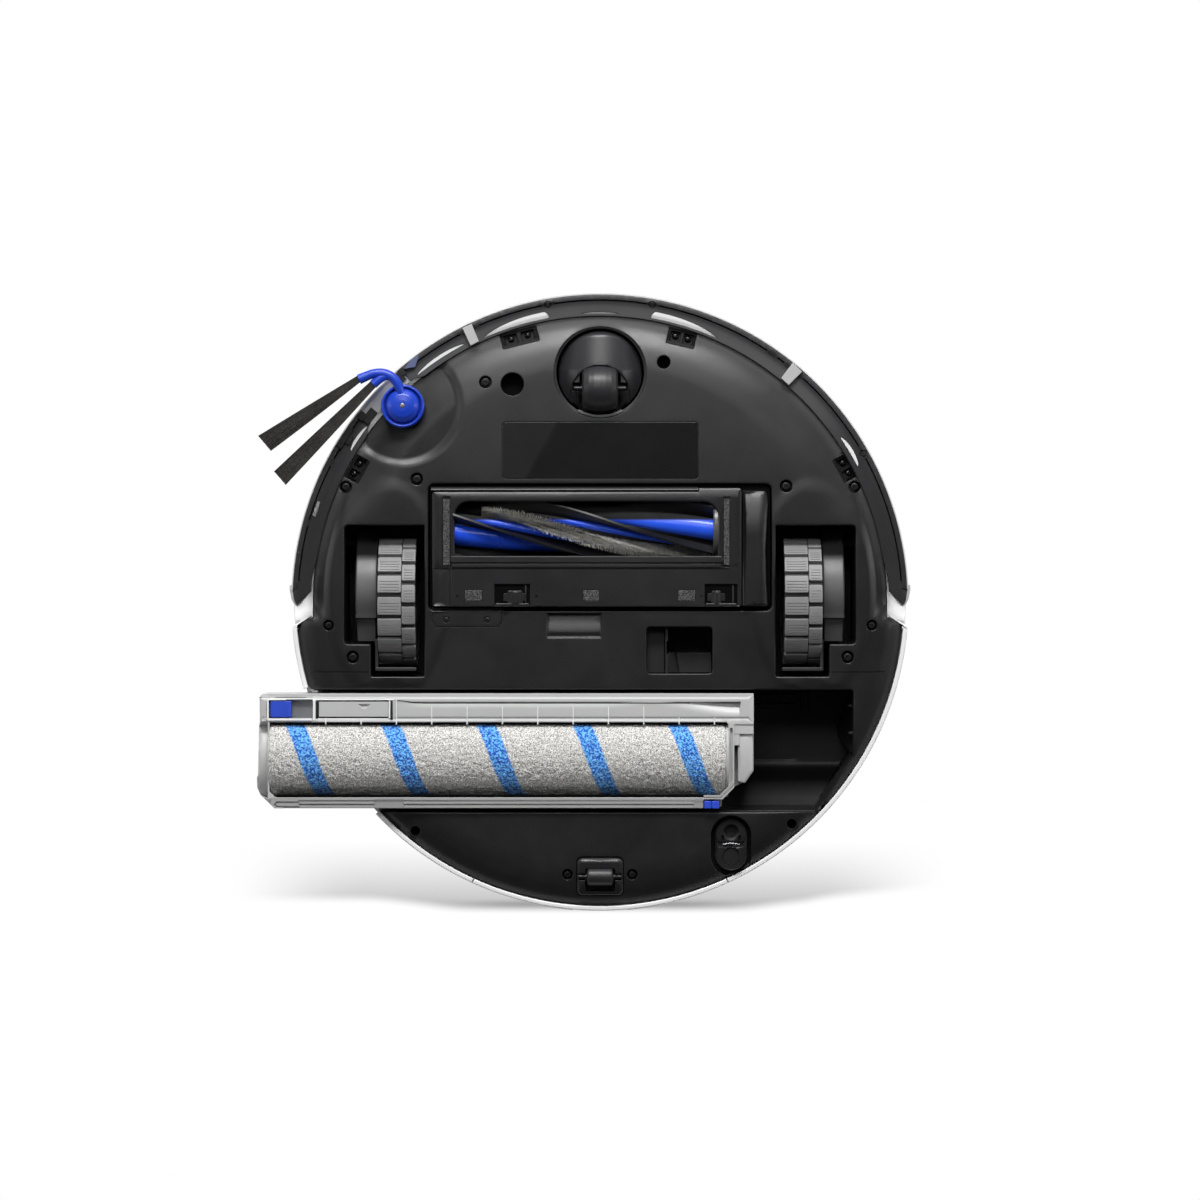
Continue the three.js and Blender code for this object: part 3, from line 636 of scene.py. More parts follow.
def pan_painted_light(t, col):
    """Painted light on the pan: a lighter black along its front rim, lifting the shade that the bumper's ring throws
    over it, a lighter band across the front as a painted sheen, and painted shade darkening the side brush's dish.
    """
    sep = t.n("ShaderNodeSeparateXYZ")
    t.link(t.obj, sep.inputs[0])
    x = t.math("SUBTRACT", sep.outputs[0], 0.00875)
    r = t.math("SQRT", t.math("ADD", t.math("MULTIPLY", x, x), t.math("MULTIPLY", sep.outputs[1], sep.outputs[1])))
    k = t.math("MULTIPLY", t.range(r, 0.1535, 0.1595, 0, 1, "SMOOTHSTEP"), t.range(sep.outputs[1], -0.03, -0.005, 1, 0))
    painted_front_sheen = t.range(sep.outputs[1], -0.05, -0.10, 0, 0.8, "SMOOTHSTEP")
    dx, dy = t.math("ADD", sep.outputs[0], 0.10195), t.math("ADD", sep.outputs[1], 0.1102)
    d = t.math("SQRT", t.math("ADD", t.math("MULTIPLY", dx, dx), t.math("MULTIPLY", dy, dy)))
    painted_lighter = t.mix(k, t.mix(painted_front_sheen, col, lin("#2c2c2d")), lin("#3c3c3d"))
    return t.mix(t.range(d, 0.0285, 0.0315, 0.85, 0, "SMOOTHSTEP"), painted_lighter, lin("#161617"))


def ring_painted_light(t, col):
    """Painted light on the bumper's ring: lighter on its inner flange at the front, and painted shade darkening it
    along both sides.
    """
    sep = t.n("ShaderNodeSeparateXYZ")
    t.link(t.obj, sep.inputs[0])
    x = t.math("SUBTRACT", sep.outputs[0], 0.00875)
    r = t.math("SQRT", t.math("ADD", t.math("MULTIPLY", x, x), t.math("MULTIPLY", sep.outputs[1], sep.outputs[1])))
    k = t.math("MULTIPLY", t.range(r, 0.1650, 0.1685, 1, 0, "SMOOTHSTEP"), t.range(sep.outputs[1], -0.075, -0.12, 0, 1, "SMOOTHSTEP"))
    painted_lighter = t.mix(k, col, lin("#4c4c4d"))
    return t.mix(t.range(sep.outputs[1], -0.08, -0.04, 0, 1, "SMOOTHSTEP"), painted_lighter, lin("#1f1f20"))


M = {}
# the ring's material carries painted light at its front and painted shade along its sides
M["ring"] = plastic("ring_black_plastic_painted_light", "#29292b", 0.44, 0.35, 1400, 0.08, rvar=0.05, shade=ring_painted_light)
# the pan's material carries painted light along its front and painted shade in the side brush's dish
M["chassis"] = plastic("chassis_black_plastic_painted_light", "#19191a", 0.38, 0.30, 1300, 0.08, rvar=0.05, shade=pan_painted_light)
M["chassis2"] = plastic("panel_black_plastic", "#18181a", 0.38, 0.30, 1500, 0.08, rvar=0.05)
M["dark"] = plastic("inner_black_plastic", "#111112", 0.55, 0.25, 1200, 0.10)
# near-black that stands in for shade: painted shade in recesses, cavities and the liners put in them
M["pit"] = plastic("painted_shade_black_plastic", "#040405", 0.8, 0.15, 1200, 0.10, spec=0.08)
M["gloss"] = plastic("gloss_black", "#0b0b0d", 0.13, 0.03, 300, 0.05, rvar=0.03, dist=0.0003)
M["lens"] = plastic("sensor_lens", "#050507", 0.08, 0.02, 300, 0.05, rvar=0.02, coat=0.6)
M["trim"] = plastic("trim_black_plastic", "#29292b", 0.44, 0.35, 1400, 0.08, rvar=0.05)
M["white"] = plastic("shell_white_plastic", "#ececec", 0.30, 0.03, 700, 0.003, rvar=0.006, coat=0.22, coat_rough=0.12)
M["whitedim"] = plastic("inner_white_plastic", "#e6e6e6", 0.4, 0.15, 900, 0.02, rvar=0.04)
M["grey"] = plastic("frame_grey_plastic", "#b9bab9", 0.40, 0.14, 1100, 0.03, rvar=0.05)
M["grey2"] = plastic("frame_grey_inner", "#9fa09f", 0.46, 0.14, 1100, 0.04, rvar=0.05)
M["blue"] = plastic("accent_blue_plastic", "#173cb4", 0.36, 0.10, 900, 0.05, rvar=0.05, coat=0.04)
M["blue2"] = plastic("button_blue_plastic", "#2c4cc4", 0.40, 0.12, 900, 0.05, rvar=0.05)
M["fin"] = plastic("fin_blue_rubber", "#1533c4", 0.20, 0.04, 600, 0.06, rvar=0.05, coat=0.3, coat_rough=0.08)
M["film"] = plastic("blade_dark_rubber", "#101014", 0.46, 0.06, 700, 0.08, rvar=0.06)
M["tread"] = plastic("tread_rubber", "#828282", 0.50, 0.35, 1600, 0.10, rvar=0.08, spec=0.4)
# a darker copy of the tread rubber: painted shade in the gaps between the lugs
M["treadlow"] = plastic("tread_rubber_painted_gap_shade", "#2d2d2e", 0.66, 0.35, 1600, 0.10, rvar=0.06, spec=0.35)
M["hub"] = plastic("hub_plastic", "#333334", 0.45, 0.2, 1200, 0.08)
M["roller"] = plastic("roller_rubber", "#242426", 0.44, 0.12, 1200, 0.08, rvar=0.05)
M["dome"] = plastic("caster_plastic", "#29292b", 0.38, 0.14, 1300, 0.06, rvar=0.04)
M["steel"] = plastic("brushed_steel", "#8d8f93", 0.30, 0.12, 900, 0.10, metal=1.0)
M["darksteel"] = plastic("blackened_screw", "#343436", 0.42, 0.15, 900, 0.12, metal=0.85)
M["contact"] = plastic("plated_contact", "#c9c6bd", 0.22, 0.05, 700, 0.06, metal=1.0)
M["felt"] = plastic("felt_pad", "#4c4c4d", 0.95, 0.9, 2600, 0.30, spec=0.15, sheen=0.3, dist=0.0003)
M["smoke"] = plastic("smoke_plastic", "#33363b", 0.18, 0.04, 600, 0.06, rvar=0.03, coat=0.3)
M["wrap"] = plastic("battery_wrap", "#23407c", 0.36, 0.08, 500, 0.08)
M["board"] = plastic("board_green", "#17603a", 0.42, 0.12, 700, 0.12)


def strand_mat(name, color, tip, var=0.35):
    """Bristle strands: tone changes from strand to strand and along each one."""
    t = NT(name)
    a = t.noise(900, 2, 0.7)
    b = t.noise(120, 2, 0.5)
    f = t.math("ADD", t.math("MULTIPLY", a, 0.7), t.math("MULTIPLY", b, 0.3))
    col = t.mix(t.range(f, 0.3, 0.7, 0, 1), tuple(c * (1 - var) for c in lin(color)[:3]) + (1,), lin(tip))
    t.link(col, t.b.inputs["Base Color"])
    t.link(t.range(a, 0.3, 0.7, 0.5, 0.75), t.b.inputs["Roughness"])
    t.link(t.bump(t.noise(3000, 1, 0.5), 0.3, 0.0001), t.b.inputs["Normal"])
    t.b.inputs["Specular IOR Level"].default_value = 0.35
    return t.mat


M["bristle"] = strand_mat("bristle_black", "#1b1a19", "#3a3836")
M["softbristle"] = strand_mat("bristle_grey", "#979691", "#d2d0c9")


def speckle_mat(name, dark, light, scale, rough):
    """Felt: dark and light fibres side by side."""
    t = NT(name)
    a = t.noise(scale, 1.5, 0.6)
    f = t.math("ADD", t.math("MULTIPLY", a, 0.8), t.math("MULTIPLY", t.noise(scale * 0.4, 2, 0.5), 0.2))
    t.link(t.mix(t.range(f, 0.42, 0.58, 0, 1), lin(dark), lin(light)), t.b.inputs["Base Color"])
    t.b.inputs["Roughness"].default_value = rough
    t.b.inputs["Specular IOR Level"].default_value = 0.15
    t.link(t.bump(a, 0.8, 0.0004), t.b.inputs["Normal"])
    return t.mat


def fin_painted_shadow_mat(name, y0, y1):
    """Blue rubber with a painted shadow: black towards the front side of each fin, where the cover's lip shades it;
    also darker towards the rear.
    """
    t = NT(name)
    sep = t.n("ShaderNodeSeparateXYZ")
    t.link(t.obj, sep.inputs[0])
    y = t.math("ADD", sep.outputs[1], t.math("MULTIPLY", t.math("SUBTRACT", t.noise(60, 2, 0.5), 0.5), 0.0006))
    k = t.range(y, y0 - 0.0006, y0 + 0.0012, 0, 1, "SMOOTHSTEP")
    k2 = t.range(y, y1, y1 + 0.005, 1, 0.35, "SMOOTHSTEP")
    tone = t.range(t.noise(35, 2, 0.5), 0.3, 0.7, 0, 1)
    blue = t.mix(tone, lin("#1a46d6"), lin("#2b5cec"))
    t.link(t.mix(t.math("MULTIPLY", k, k2), lin("#050608"), blue), t.b.inputs["Base Color"])
    t.link(t.math("ADD", t.range(t.noise(50, 3, 0.6), 0.3, 0.7, 0.24, 0.34), t.math("MULTIPLY", t.math("SUBTRACT", 1.0, k), 0.6)), t.b.inputs["Roughness"])
    t.link(t.bump(t.noise(700, 2, 0.5), 0.05, 0.0001), t.b.inputs["Normal"])
    return t.mat


def label_painted_reflection_mat(name):
    """Gloss black film with a painted reflection: lighter on the left of a slanted line."""
    t = NT(name)
    sep = t.n("ShaderNodeSeparateXYZ")
    t.link(t.obj, sep.inputs[0])
    d = t.math("SUBTRACT", t.math("ADD", sep.outputs[0], t.math("MULTIPLY", sep.outputs[1], 0.56)), 0.00875 - 0.0240 - 0.1008 * 0.56)
    f = t.range(d, -0.0022, 0.0022, 1, 0, "SMOOTHSTEP")
    painted_reflection_fade = t.math("MULTIPLY", f, t.range(t.noise(26, 2, 0.5), 0.3, 0.7, 0.8, 1.0))
    t.link(t.mix(painted_reflection_fade, lin("#19191a"), lin("#252526")), t.b.inputs["Base Color"])
    t.link(t.range(t.noise(60, 3, 0.6), 0.3, 0.7, 0.14, 0.2), t.b.inputs["Roughness"])
    t.link(t.bump(t.noise(500, 2, 0.5), 0.04, 0.0001), t.b.inputs["Normal"])
    return t.mat


def fleece_mat(name, axis_y, axis_z, x0, pitch, width, phase):
    """Fleece of short loops in a speckled grey, with blue stripes wound round the roller."""
    t = NT(name)
    sep = t.n("ShaderNodeSeparateXYZ")
    t.link(t.obj, sep.inputs[0])
    ay = t.math("SUBTRACT", sep.outputs[1], axis_y)
    az = t.math("SUBTRACT", sep.outputs[2], axis_z)
    ang = t.math("ARCTAN2", ay, t.math("MULTIPLY", az, -1.0))
    turns = t.math("DIVIDE", ang, TAU)
    u = t.math("DIVIDE", t.math("SUBTRACT", sep.outputs[0], x0), pitch)
    wob = t.math("MULTIPLY", t.math("SUBTRACT", t.noise(420, 2, 0.6), 0.5), 0.035)
    ph = t.math("ADD", t.math("SUBTRACT", t.math("SUBTRACT", u, turns), phase), wob)
    fr = t.math("FRACT", ph)
    d = t.math("ABSOLUTE", t.math("SUBTRACT", fr, 0.5))
    stripe = t.range(d, width / pitch / 2 - 0.008, width / pitch / 2 + 0.008, 1, 0)
    sp = t.noise(1500, 1.0, 0.6)
    sb = t.noise(900, 1.5, 0.6)
    sp2 = t.noise(300, 2, 0.6)
    speck = t.range(sp, 0.33, 0.64, 0, 1)
    grey = t.mix(speck, lin("#72706d"), lin("#f6f5f2"))
    grey = t.mix(t.range(sp2, 0.35, 0.65, 0, 0.2), grey, lin("#c4c3c0"))
    blue = t.mix(t.range(sb, 0.42, 0.58, 0, 1, "SMOOTHSTEP"), lin("#0b4cb0"), lin("#78c2ff"))
    blue = t.mix(t.range(sp2, 0.35, 0.65, 0, 0.2), blue, lin("#3f8ce6"))
    t.link(t.mix(stripe, grey, blue), t.b.inputs["Base Color"])
    t.b.inputs["Roughness"].default_value = 0.95
    t.b.inputs["Specular IOR Level"].default_value = 0.12
    t.b.inputs["Sheen Weight"].default_value = 0.25
    t.b.inputs["Sheen Roughness"].default_value = 0.6
    t.link(t.bump(sp, 0.9, 0.0006), t.b.inputs["Normal"])
    return t.mat


# ---------------------------------------------------------------- camera, floor, light
cam = bpy.data.objects.new("camera", bpy.data.cameras.new("camera"))
SCENE.collection.objects.link(cam)
cam.data.lens, cam.data.sensor_width = 144.64, 36
cam.data.clip_start, cam.data.clip_end = 0.05, 60
cam.location = (SX * MM, -1.12 * MM, -2.689)
cam.rotation_euler = (math.pi, 0, 0)
SCENE.camera = cam
SCENE.view_settings.view_transform = "Standard"
SCENE.view_settings.look = "None"


def stage_plane(name, pts, mat):
    me = bpy.data.meshes.new(name)
    me.from_pydata(pts, [], [tuple(range(len(pts)))])
    me.materials.append(mat)
    o = bpy.data.objects.new(name, me)
    SCENE.collection.objects.link(o)
    o.visible_diffuse = o.visible_glossy = o.visible_transmission = False
    o.visible_shadow = False
    return o


def stage_mat(name, albedo, r0, r1, centre, seen_from_behind=False):
    t = NT(name)
    t.t.nodes.remove(t.b)
    dif = t.n("ShaderNodeBsdfDiffuse")
    dif.inputs["Color"].default_value = (albedo, albedo, albedo, 1)
    em = t.n("ShaderNodeEmission")
    em.inputs["Color"].default_value = (1, 1, 1, 1)
    em.inputs["Strength"].default_value = 1.0
    d = t.n("ShaderNodeVectorMath", operation="DISTANCE")
    t.link(t.obj, d.inputs[0])
    d.inputs[1].default_value = centre
    f = t.range(d.outputs["Value"], r0, r1, 0, 1, "SMOOTHSTEP")
    m = t.n("ShaderNodeMixShader")
    t.link(f, m.inputs[0]); t.link(dif.outputs[0], m.inputs[1]); t.link(em.outputs[0], m.inputs[2])
    tr = t.n("ShaderNodeBsdfTransparent")
    g = t.n("ShaderNodeNewGeometry")
    m2 = t.n("ShaderNodeMixShader")
    t.link(g.outputs["Backfacing"], m2.inputs[0]); t.link(m.outputs[0], m2.inputs[1]); t.link(tr.outputs[0], m2.inputs[2])
    t.link(m2.outputs[0], t.out.inputs[0])
    return t.mat


CARD_Z = 0.45
PXM = 0.56e-3 * (CARD_Z + 2.689) / 2.7


def shadow_card(name):
    """A card above the robot that faces down: white, with the soft shade that the body throws on the wall it leans to."""
    t = NT(name + "_mat")
    t.t.nodes.remove(t.b)
    sep = t.n("ShaderNodeSeparateXYZ")
    t.link(t.obj, sep.inputs[0])
    u = t.math("ADD", t.math("DIVIDE", t.math("SUBTRACT", sep.outputs[0], 0.00875), PXM), 600.0)
    v = t.math("ADD", t.math("DIVIDE", t.math("ADD", sep.outputs[1], 0.00112), PXM), 600.0)
    side = t.range(t.math("ABSOLUTE", t.math("SUBTRACT", u, 590.0)), 222, 368, 1, 0, "SMOOTHSTEP")
    down = t.math("POWER", t.range(v, 841, 900, 0, 1), 1.15)
    mid = t.math("ABSOLUTE", t.math("SUBTRACT", u, 600.0))
    edge = t.math("ADD", 898.5, t.math("MULTIPLY", t.range(mid, 130, 240, 1, 0, "SMOOTHSTEP"), 10.0))
    edge = t.math("SUBTRACT", edge, t.math("MULTIPLY", t.math("MAXIMUM", t.math("SUBTRACT", u, 805.0), 0.0), 0.1))
    below = t.math("SUBTRACT", v, edge)
    cut = t.range(below, -6.5, 6.0, 1, 0, "SMOOTHSTEP")
    near_ = t.math("MULTIPLY", t.range(below, -11, -1, 0, 1, "SMOOTHSTEP"), t.range(mid, 70, 190, 0.36, 0, "SMOOTHSTEP"))
    wave = t.math("MULTIPLY", t.math("SUBTRACT", t.noise(9, 2, 0.5), 0.5), 0.03)
    dark = t.math("MULTIPLY", t.math("ADD", t.math("MULTIPLY", t.math("MULTIPLY", down, 0.415), side), near_), cut)
    dark = t.math("MULTIPLY", dark, t.math("ADD", 1.0, wave))
    em = t.n("ShaderNodeEmission")
    val = t.math("SUBTRACT", 1.0, dark)
    rgb = t.n("ShaderNodeCombineColor")
    for k in range(3):
        t.link(val, rgb.inputs[k])
    t.link(rgb.outputs[0], em.inputs["Color"])
    tr = t.n("ShaderNodeBsdfTransparent")
    g = t.n("ShaderNodeNewGeometry")
    m2 = t.n("ShaderNodeMixShader")
    t.link(g.outputs["Backfacing"], m2.inputs[0]); t.link(em.outputs[0], m2.inputs[1]); t.link(tr.outputs[0], m2.inputs[2])
    t.link(m2.outputs[0], t.out.inputs[0])
    return stage_plane(name, [(-0.34, 0.10, CARD_Z), (-0.34, 0.24, CARD_Z), (0.36, 0.24, CARD_Z), (0.36, 0.10, CARD_Z)], t.mat)


rear = shadow_card("backdrop")
floor = stage_plane("floor", [(-4, -4, 0), (4, -4, 0), (4, 4, 0), (-4, 4, 0)], stage_mat("floor_white", 0.86, 0.45, 1.6, (0.0, 0.0, 0.0)))
if rear.data.polygons[0].normal.z > 0:
    rear.data.flip_normals()
if floor.data.polygons[0].normal.z < 0:
    floor.data.flip_normals()


def group_of(name, objs, state):
    c = bpy.data.collections.new(name)
    for o in objs:
        c.objects.link(o)
    for k in c.collection_objects:
        k.light_linking.link_state = state
    return c


ONLY_FLOOR = group_of("lit_floor", [floor], "INCLUDE")
NOT_STAGE = group_of("lit_object", [rear, floor], "EXCLUDE")


def area(name, at, to, sx, sy, watt, link=None, color=(1, 1, 1), spread=None):
    d = bpy.data.lights.new(name, "AREA")
    d.shape, d.size, d.size_y, d.energy, d.color = "RECTANGLE", sx, sy, watt, color
    if spread:
        d.spread = spread
    o = bpy.data.objects.new(name, d)
    SCENE.collection.objects.link(o)
    o.location = at
    o.rotation_euler = (Vector(to) - Vector(at)).to_track_quat("-Z", "Y").to_euler()
    if link:
        o.light_linking.receiver_collection = link
    return o


def sun(name, direction, strength, angle, link):
    d = bpy.data.lights.new(name, "SUN")
    d.energy, d.angle = strength, angle
    o = bpy.data.objects.new(name, d)
    SCENE.collection.objects.link(o)
    o.rotation_euler = Vector(direction).to_track_quat("-Z", "Y").to_euler()
    o.light_linking.receiver_collection = link
    return o


C0 = (0.00875, 0, 0.03)
# underside: a long soft box low at the front, a weaker one beside the camera, strips at both sides
KEY = area("key_front", (0.0, -1.50, -1.05), C0, 1.25, 0.42, 42, NOT_STAGE)
KEY_WALL = area("key_front_wall", (0.0, -1.50, -1.05), C0, 1.25, 0.42, 13, NOT_STAGE)
area("key_camera", (-0.10, -0.80, -1.70), C0, 0.8, 0.40, 6.0, NOT_STAGE)
area("strip_left", (-1.5, -0.25, -0.75), C0, 0.18, 1.3, 4, NOT_STAGE)
area("strip_right", (1.5, -0.25, -0.75), C0, 0.18, 1.3, 5, NOT_STAGE)
# top: soft box above and a weaker one behind
area("key_top", (-0.9, -1.2, 1.7), (0, 0, 0.05), 1.2, 1.2, 9, NOT_STAGE)
area("back_top", (1.3, 1.3, 1.4), (0, 0, 0.05), 1.0, 1.0, 6, NOT_STAGE)
# the floor has a light of its own, so that it gets one soft shadow
sun("floor_sun", (0.25, 0.35, -1.0), 3.6, 0.9, ONLY_FLOOR)

world = bpy.data.worlds.new("studio")
SCENE.world = world
world.use_nodes = True
wt = world.node_tree
wt.nodes.clear()
wo = wt.nodes.new("ShaderNodeOutputWorld")
wb = wt.nodes.new("ShaderNodeBackground")
wb2 = wt.nodes.new("ShaderNodeBackground")
wm = wt.nodes.new("ShaderNodeMixShader")
wl = wt.nodes.new("ShaderNodeLightPath")
wc = wt.nodes.new("ShaderNodeTexCoord")
ws = wt.nodes.new("ShaderNodeSeparateXYZ")
wr = wt.nodes.new("ShaderNodeMapRange")
wt.links.new(wc.outputs["Generated"], ws.inputs[0])
wt.links.new(ws.outputs[2], wr.inputs["Value"])
wr.inputs["From Min"].default_value, wr.inputs["From Max"].default_value = -1.0, 1.0
wramp = wt.nodes.new("ShaderNodeValToRGB")
wt.links.new(wr.outputs[0], wramp.inputs[0])
el = wramp.color_ramp.elements
el[0].position, el[1].position = 0.0, 1.0
for at_, v_ in ((0.0, 0.035), (0.27, 0.04), (0.40, 0.30), (0.47, 0.85), (0.56, 0.90), (0.75, 0.55), (1.0, 0.50)):
    e_ = el[0] if at_ == 0.0 else el[-1] if at_ == 1.0 else el.new(at_)
    e_.color = (v_, v_, v_, 1)
wt.links.new(wramp.outputs[0], wb.inputs["Strength"])
wb.inputs["Color"].default_value = (1, 1, 1, 1)
wb2.inputs["Color"].default_value = (1, 1, 1, 1)
wb2.inputs["Strength"].default_value = 1.0
wt.links.new(wl.outputs["Is Camera Ray"], wm.inputs[0])
wt.links.new(wb.outputs[0], wm.inputs[1])
wt.links.new(wb2.outputs[0], wm.inputs[2])
wt.links.new(wm.outputs[0], wo.inputs[0])


# ---------------------------------------------------------------- chassis pan
def pol(r, phi):
    """Polar about the body axis; phi in degrees from the front, clockwise seen from below."""
    return (r * math.sin(math.radians(phi)), -r * math.cos(math.radians(phi)))


SB = (-110.7, -110.2)  # side brush axis


# the front falls away towards the rim and ends level, above the path of the pressed bumper's ring
_a, _b = np.array([0, 130, 133, 137, 141, 145, 149, 152, 154.3, 156, 157.6, 159.5, 161.3, 176.0]), np.array([11, 11, 11.08, 11.5, 12.25, 13.4, 14.95, 16.35, 17.3, 17.85, 18.1, 18.2, 18.25, 18.8])
FRONT_R = np.arange(0, 176, 0.5)
FRONT_Z = np.convolve(np.interp(np.arange(-6, 182, 0.5), _a, _b), np.ones(13) / 13, "same")[12:12 + len(FRONT_R)]


def under(x, y):
    """Height of the underside's skin."""
    r = math.hypot(x, y)
    zf = float(np.interp(r, FRONT_R, FRONT_Z))
    zs = float(np.interp(r, [0, 151.5, 154, 156, 157.5, 158.6, 161.2, 176], [11, 11, 11.6, 13.4, 16.6, 17.9, 18.25, 24]))
    side = float(smooth(-78, -40, y))
    zf = zf * (1 - side) + zs * side
    zr = float(np.interp(r, [0, 149.9, 154.9, 160.9, 164.9, 167.9, 170.3, 175.9], [11, 11, 11.25, 12.1, 13.5, 15.3, 17.8, 24]))
    w = float(smooth(1, 12, y))
    z = zf * (1 - w) + zr * w
    d = math.hypot(x - SB[0], y - SB[1])
    if d < 36:
        z += (max(z + 1.3, 12.9) - z) * (1 - float(smooth(29.6, 34.4, d)))
    # low bulges over the drive wheels
    for s in (-1, 1):
        dx, dy = (x - s * 119.0) / 34.0, (y + 6) / 62.0
        q = dx * dx + dy * dy
        if q < 1.6 and y < 48:
            z -= 0.75 * (1 - float(smooth(0.80, 1.12, q)))
    return z


RF, RR = 161.3, 170.3
bay = [(-121.9, 117.6), (121.5, 117.6), (142, 86.4), (142, 49), (-162.2, 49)]
outline = arc(RR, math.asin(12.6 / RR), math.pi - math.asin(117.6 / RR), 176)
outline = outline[:-1] + bay[:1] + bay[1:4] + bay[4:]
outline += arc(RR, math.pi - math.asin(49 / RR), math.pi - math.asin(12.6 / RR), 9)[1:]
outline += arc(RF, math.pi - math.asin(8.6 / RF), TAU + math.asin(8.6 / RF), 180)


def softened(p, corners):
    """Fillets only the corners of p that are near the given (x, y, r)."""
    p = ccw(p)
    r = []
    for q in p:
        rr = 0
        for cx, cy, cr in corners:
            if math.hypot(q[0] - cx, q[1] - cy) < 0.6:
                rr = cr
        r.append(rr)
    return fillet(p, r, 5)


outline = softened(outline, [(121.5, 117.6, 2.5), (142, 86.4, 2.5), (142, 49, 2.0), (-161.07, 8.6, 1.0), (161.07, 8.6, 1.0)])
L_WELL = [(-143.2, -43), (-98.3, -43), (-98.3, 41.8), (-128.4, 41.8), (-128.4, 23.6), (-143.2, 23.6)]
L_WELL = fillet(L_WELL, [2.2, 1.2, 1.2, 1.2, 1.0, 2.2], 5)
R_WELL = ccw(mirror(L_WELL))
BRUSH_WELL = rrect(-96.1, 96.1, -66.2, 4.8, 3.4, 6)
cm = MB()
holes = []


def wend(x, y):
    return 23.0 if (y > 110 and x > -123.5 and x < 124 and abs(math.hypot(x, y) - RR) > 1.2) else 34.0


first = offset(outline, -0.9)
outline = densify(outline, 5.0)
first = offset(outline, -0.9)
prev = None
for o_, d_ in [(-0.9 * (1 - math.sin(t)), 0.9 * (1 - math.cos(t))) for t in [i / 4 * math.pi / 2 for i in range(5)]] + [(0, None)]:
    lp = offset(outline, o_)
    idx = cm.verts([(x, y, (wend(x, y) if d_ is None else under(x, y) + d_)) for x, y in lp])
    if prev:
        cm.strip(prev, idx)
    prev = idx


def hole(loop, rings, **k):
    holes.append(sunk(cm, densify(ccw(loop), 4.0), rings, under, **k))


hole(BRUSH_WELL, rin(0.9) + [(0, 30, 1), (0, 49.6, 1)])
hole(L_WELL, rin(0.8) + [(0, 30, 1), (0, 73.4, 1)])
hole(R_WELL, rin(0.8) + [(0, 30, 1), (0, 73.4, 1)])
# caster well: outer rim, a narrow seat ring, then the cup
hole(circle(0.1, -128.9, 25.9, 96), rin(0.55, 3) + [(0.0, 14.6, 1), (-0.35, 14.9, 1), (-1.2, 15.1, 1), (-1.35, 15.5, 1), (-1.4, 30, 1), (-4, 33.6, 1)])
# seat of the blank plate
hole(rrect(-55.1, 55.3, -101.0, -68.9, 2.4, 5), rin(0.2, 2) + [(-0.02, 0.75)])
hole(circle(-49.1, -122.0, 6.5, 40), rin(0.45, 3) + [(0, 22, 1)] + [(-1.5, 23.4, 1)])
hole(circle(35.7, -134.4, 3.8, 28), rin(0.35, 3) + [(0, 22, 1)])
SCREWS = []
for u, v, r in [(485.3, 382, 3.5), (416.8, 479, 3.5), (345.2, 486.6, 3.4), (786.1, 486.1, 3.5), (855.1, 486.5, 3.4), (328.6, 625.3, 3.0), (352.8, 657.1, 3.5),
                (871.8, 625.3, 3.0), (847.6, 657.1, 3.5), (567.5, 874.5, 3.0), (632.2, 874.5, 3.0)]:
    x, y = U(u, v)
    SCREWS.append((x, y, r))
    hole(circle(x, y, r, 28), rin(0.4, 3) + [(0, 2.6), (-0.3, 3.0)])
for u, v in [(415.2, 831.1), (791.8, 823.9)]:
    x, y = U(u, v)
    hole(circle(x, y, 2.8, 24), rin(0.35, 3) + [(0, 7)])
CLIFFS = [("front_left", -45.2, -148.4, 21.4, 8.7, -14), ("front_right", 45.8, -148.1, 16.2, 9.2, 13), ("side_left", -136.3, -74.6, 14.6, 8.8, -61), ("side_right", 137.7, -75.1, 14.6, 8.8, 61)]
for _, x, y, w, d, a in CLIFFS:
    hole(turn(rrect(x - w / 2, x + w / 2, y - d / 2, y + d / 2, 0.7, 3), a, x, y), rin(0.3, 2) + [(0, 3.2)])
# evacuation port
EV = rrect(26.0, 63.0, 13.9, 40.1, 2.2, 5)
hole(EV, rin(0.6, 4) + [(0, 13.6, 1)], floor=False)
# rear roller pocket
hole(rrect(-13.1, 13.2, 142.8, 164.4, 3.2, 6), rin(0.6, 3) + [(0, 21.8, 1)])
# port pocket
hole(stadium(73.4, 136.6, 11.3, 5.7, 18), rin(0.5, 3) + [(0, 22.4, 1)])
# finger recess: deep at its front edge, running out in a lip at its rear edge
FR = fillet([(-29.7, 6.3), (0.6, 6.3), (1.3, 20.2), (-30.4, 20.2)], [0.8, 0.8, 1.4, 1.4], 4)


def fr_floor(x, y):
    t = float(smooth(6.3, 17.8, y))
    return 14.6 - 2.2 * t + (0.35 if y > 18.4 else 0)


hole(FR, rin(0.45, 3) + [(-0.25, fr_floor, 1), (-0.7, lambda x, y: fr_floor(x, y) + 0.35, 1)], fh=lambda x, y: fr_floor(x, y) + 0.35,
     fextra=[(x, y) for x in np.arange(-28, 0, 2.5) for y in np.arange(7.5, 19.5, 1.0)])
# screw plate beside the brush cover, in a shallow seat
SP = fillet([(-93.9, 4.9), (-55.3, 4.9), (-55.3, 11.2), (-57.8, 13.8), (-91.4, 13.8), (-93.9, 11.2)], [0.5, 0.5, 1, 1, 1, 1], 3)
hole(offset(SP, 0.25), rin(0.15, 2) + [(0, 0.9)])
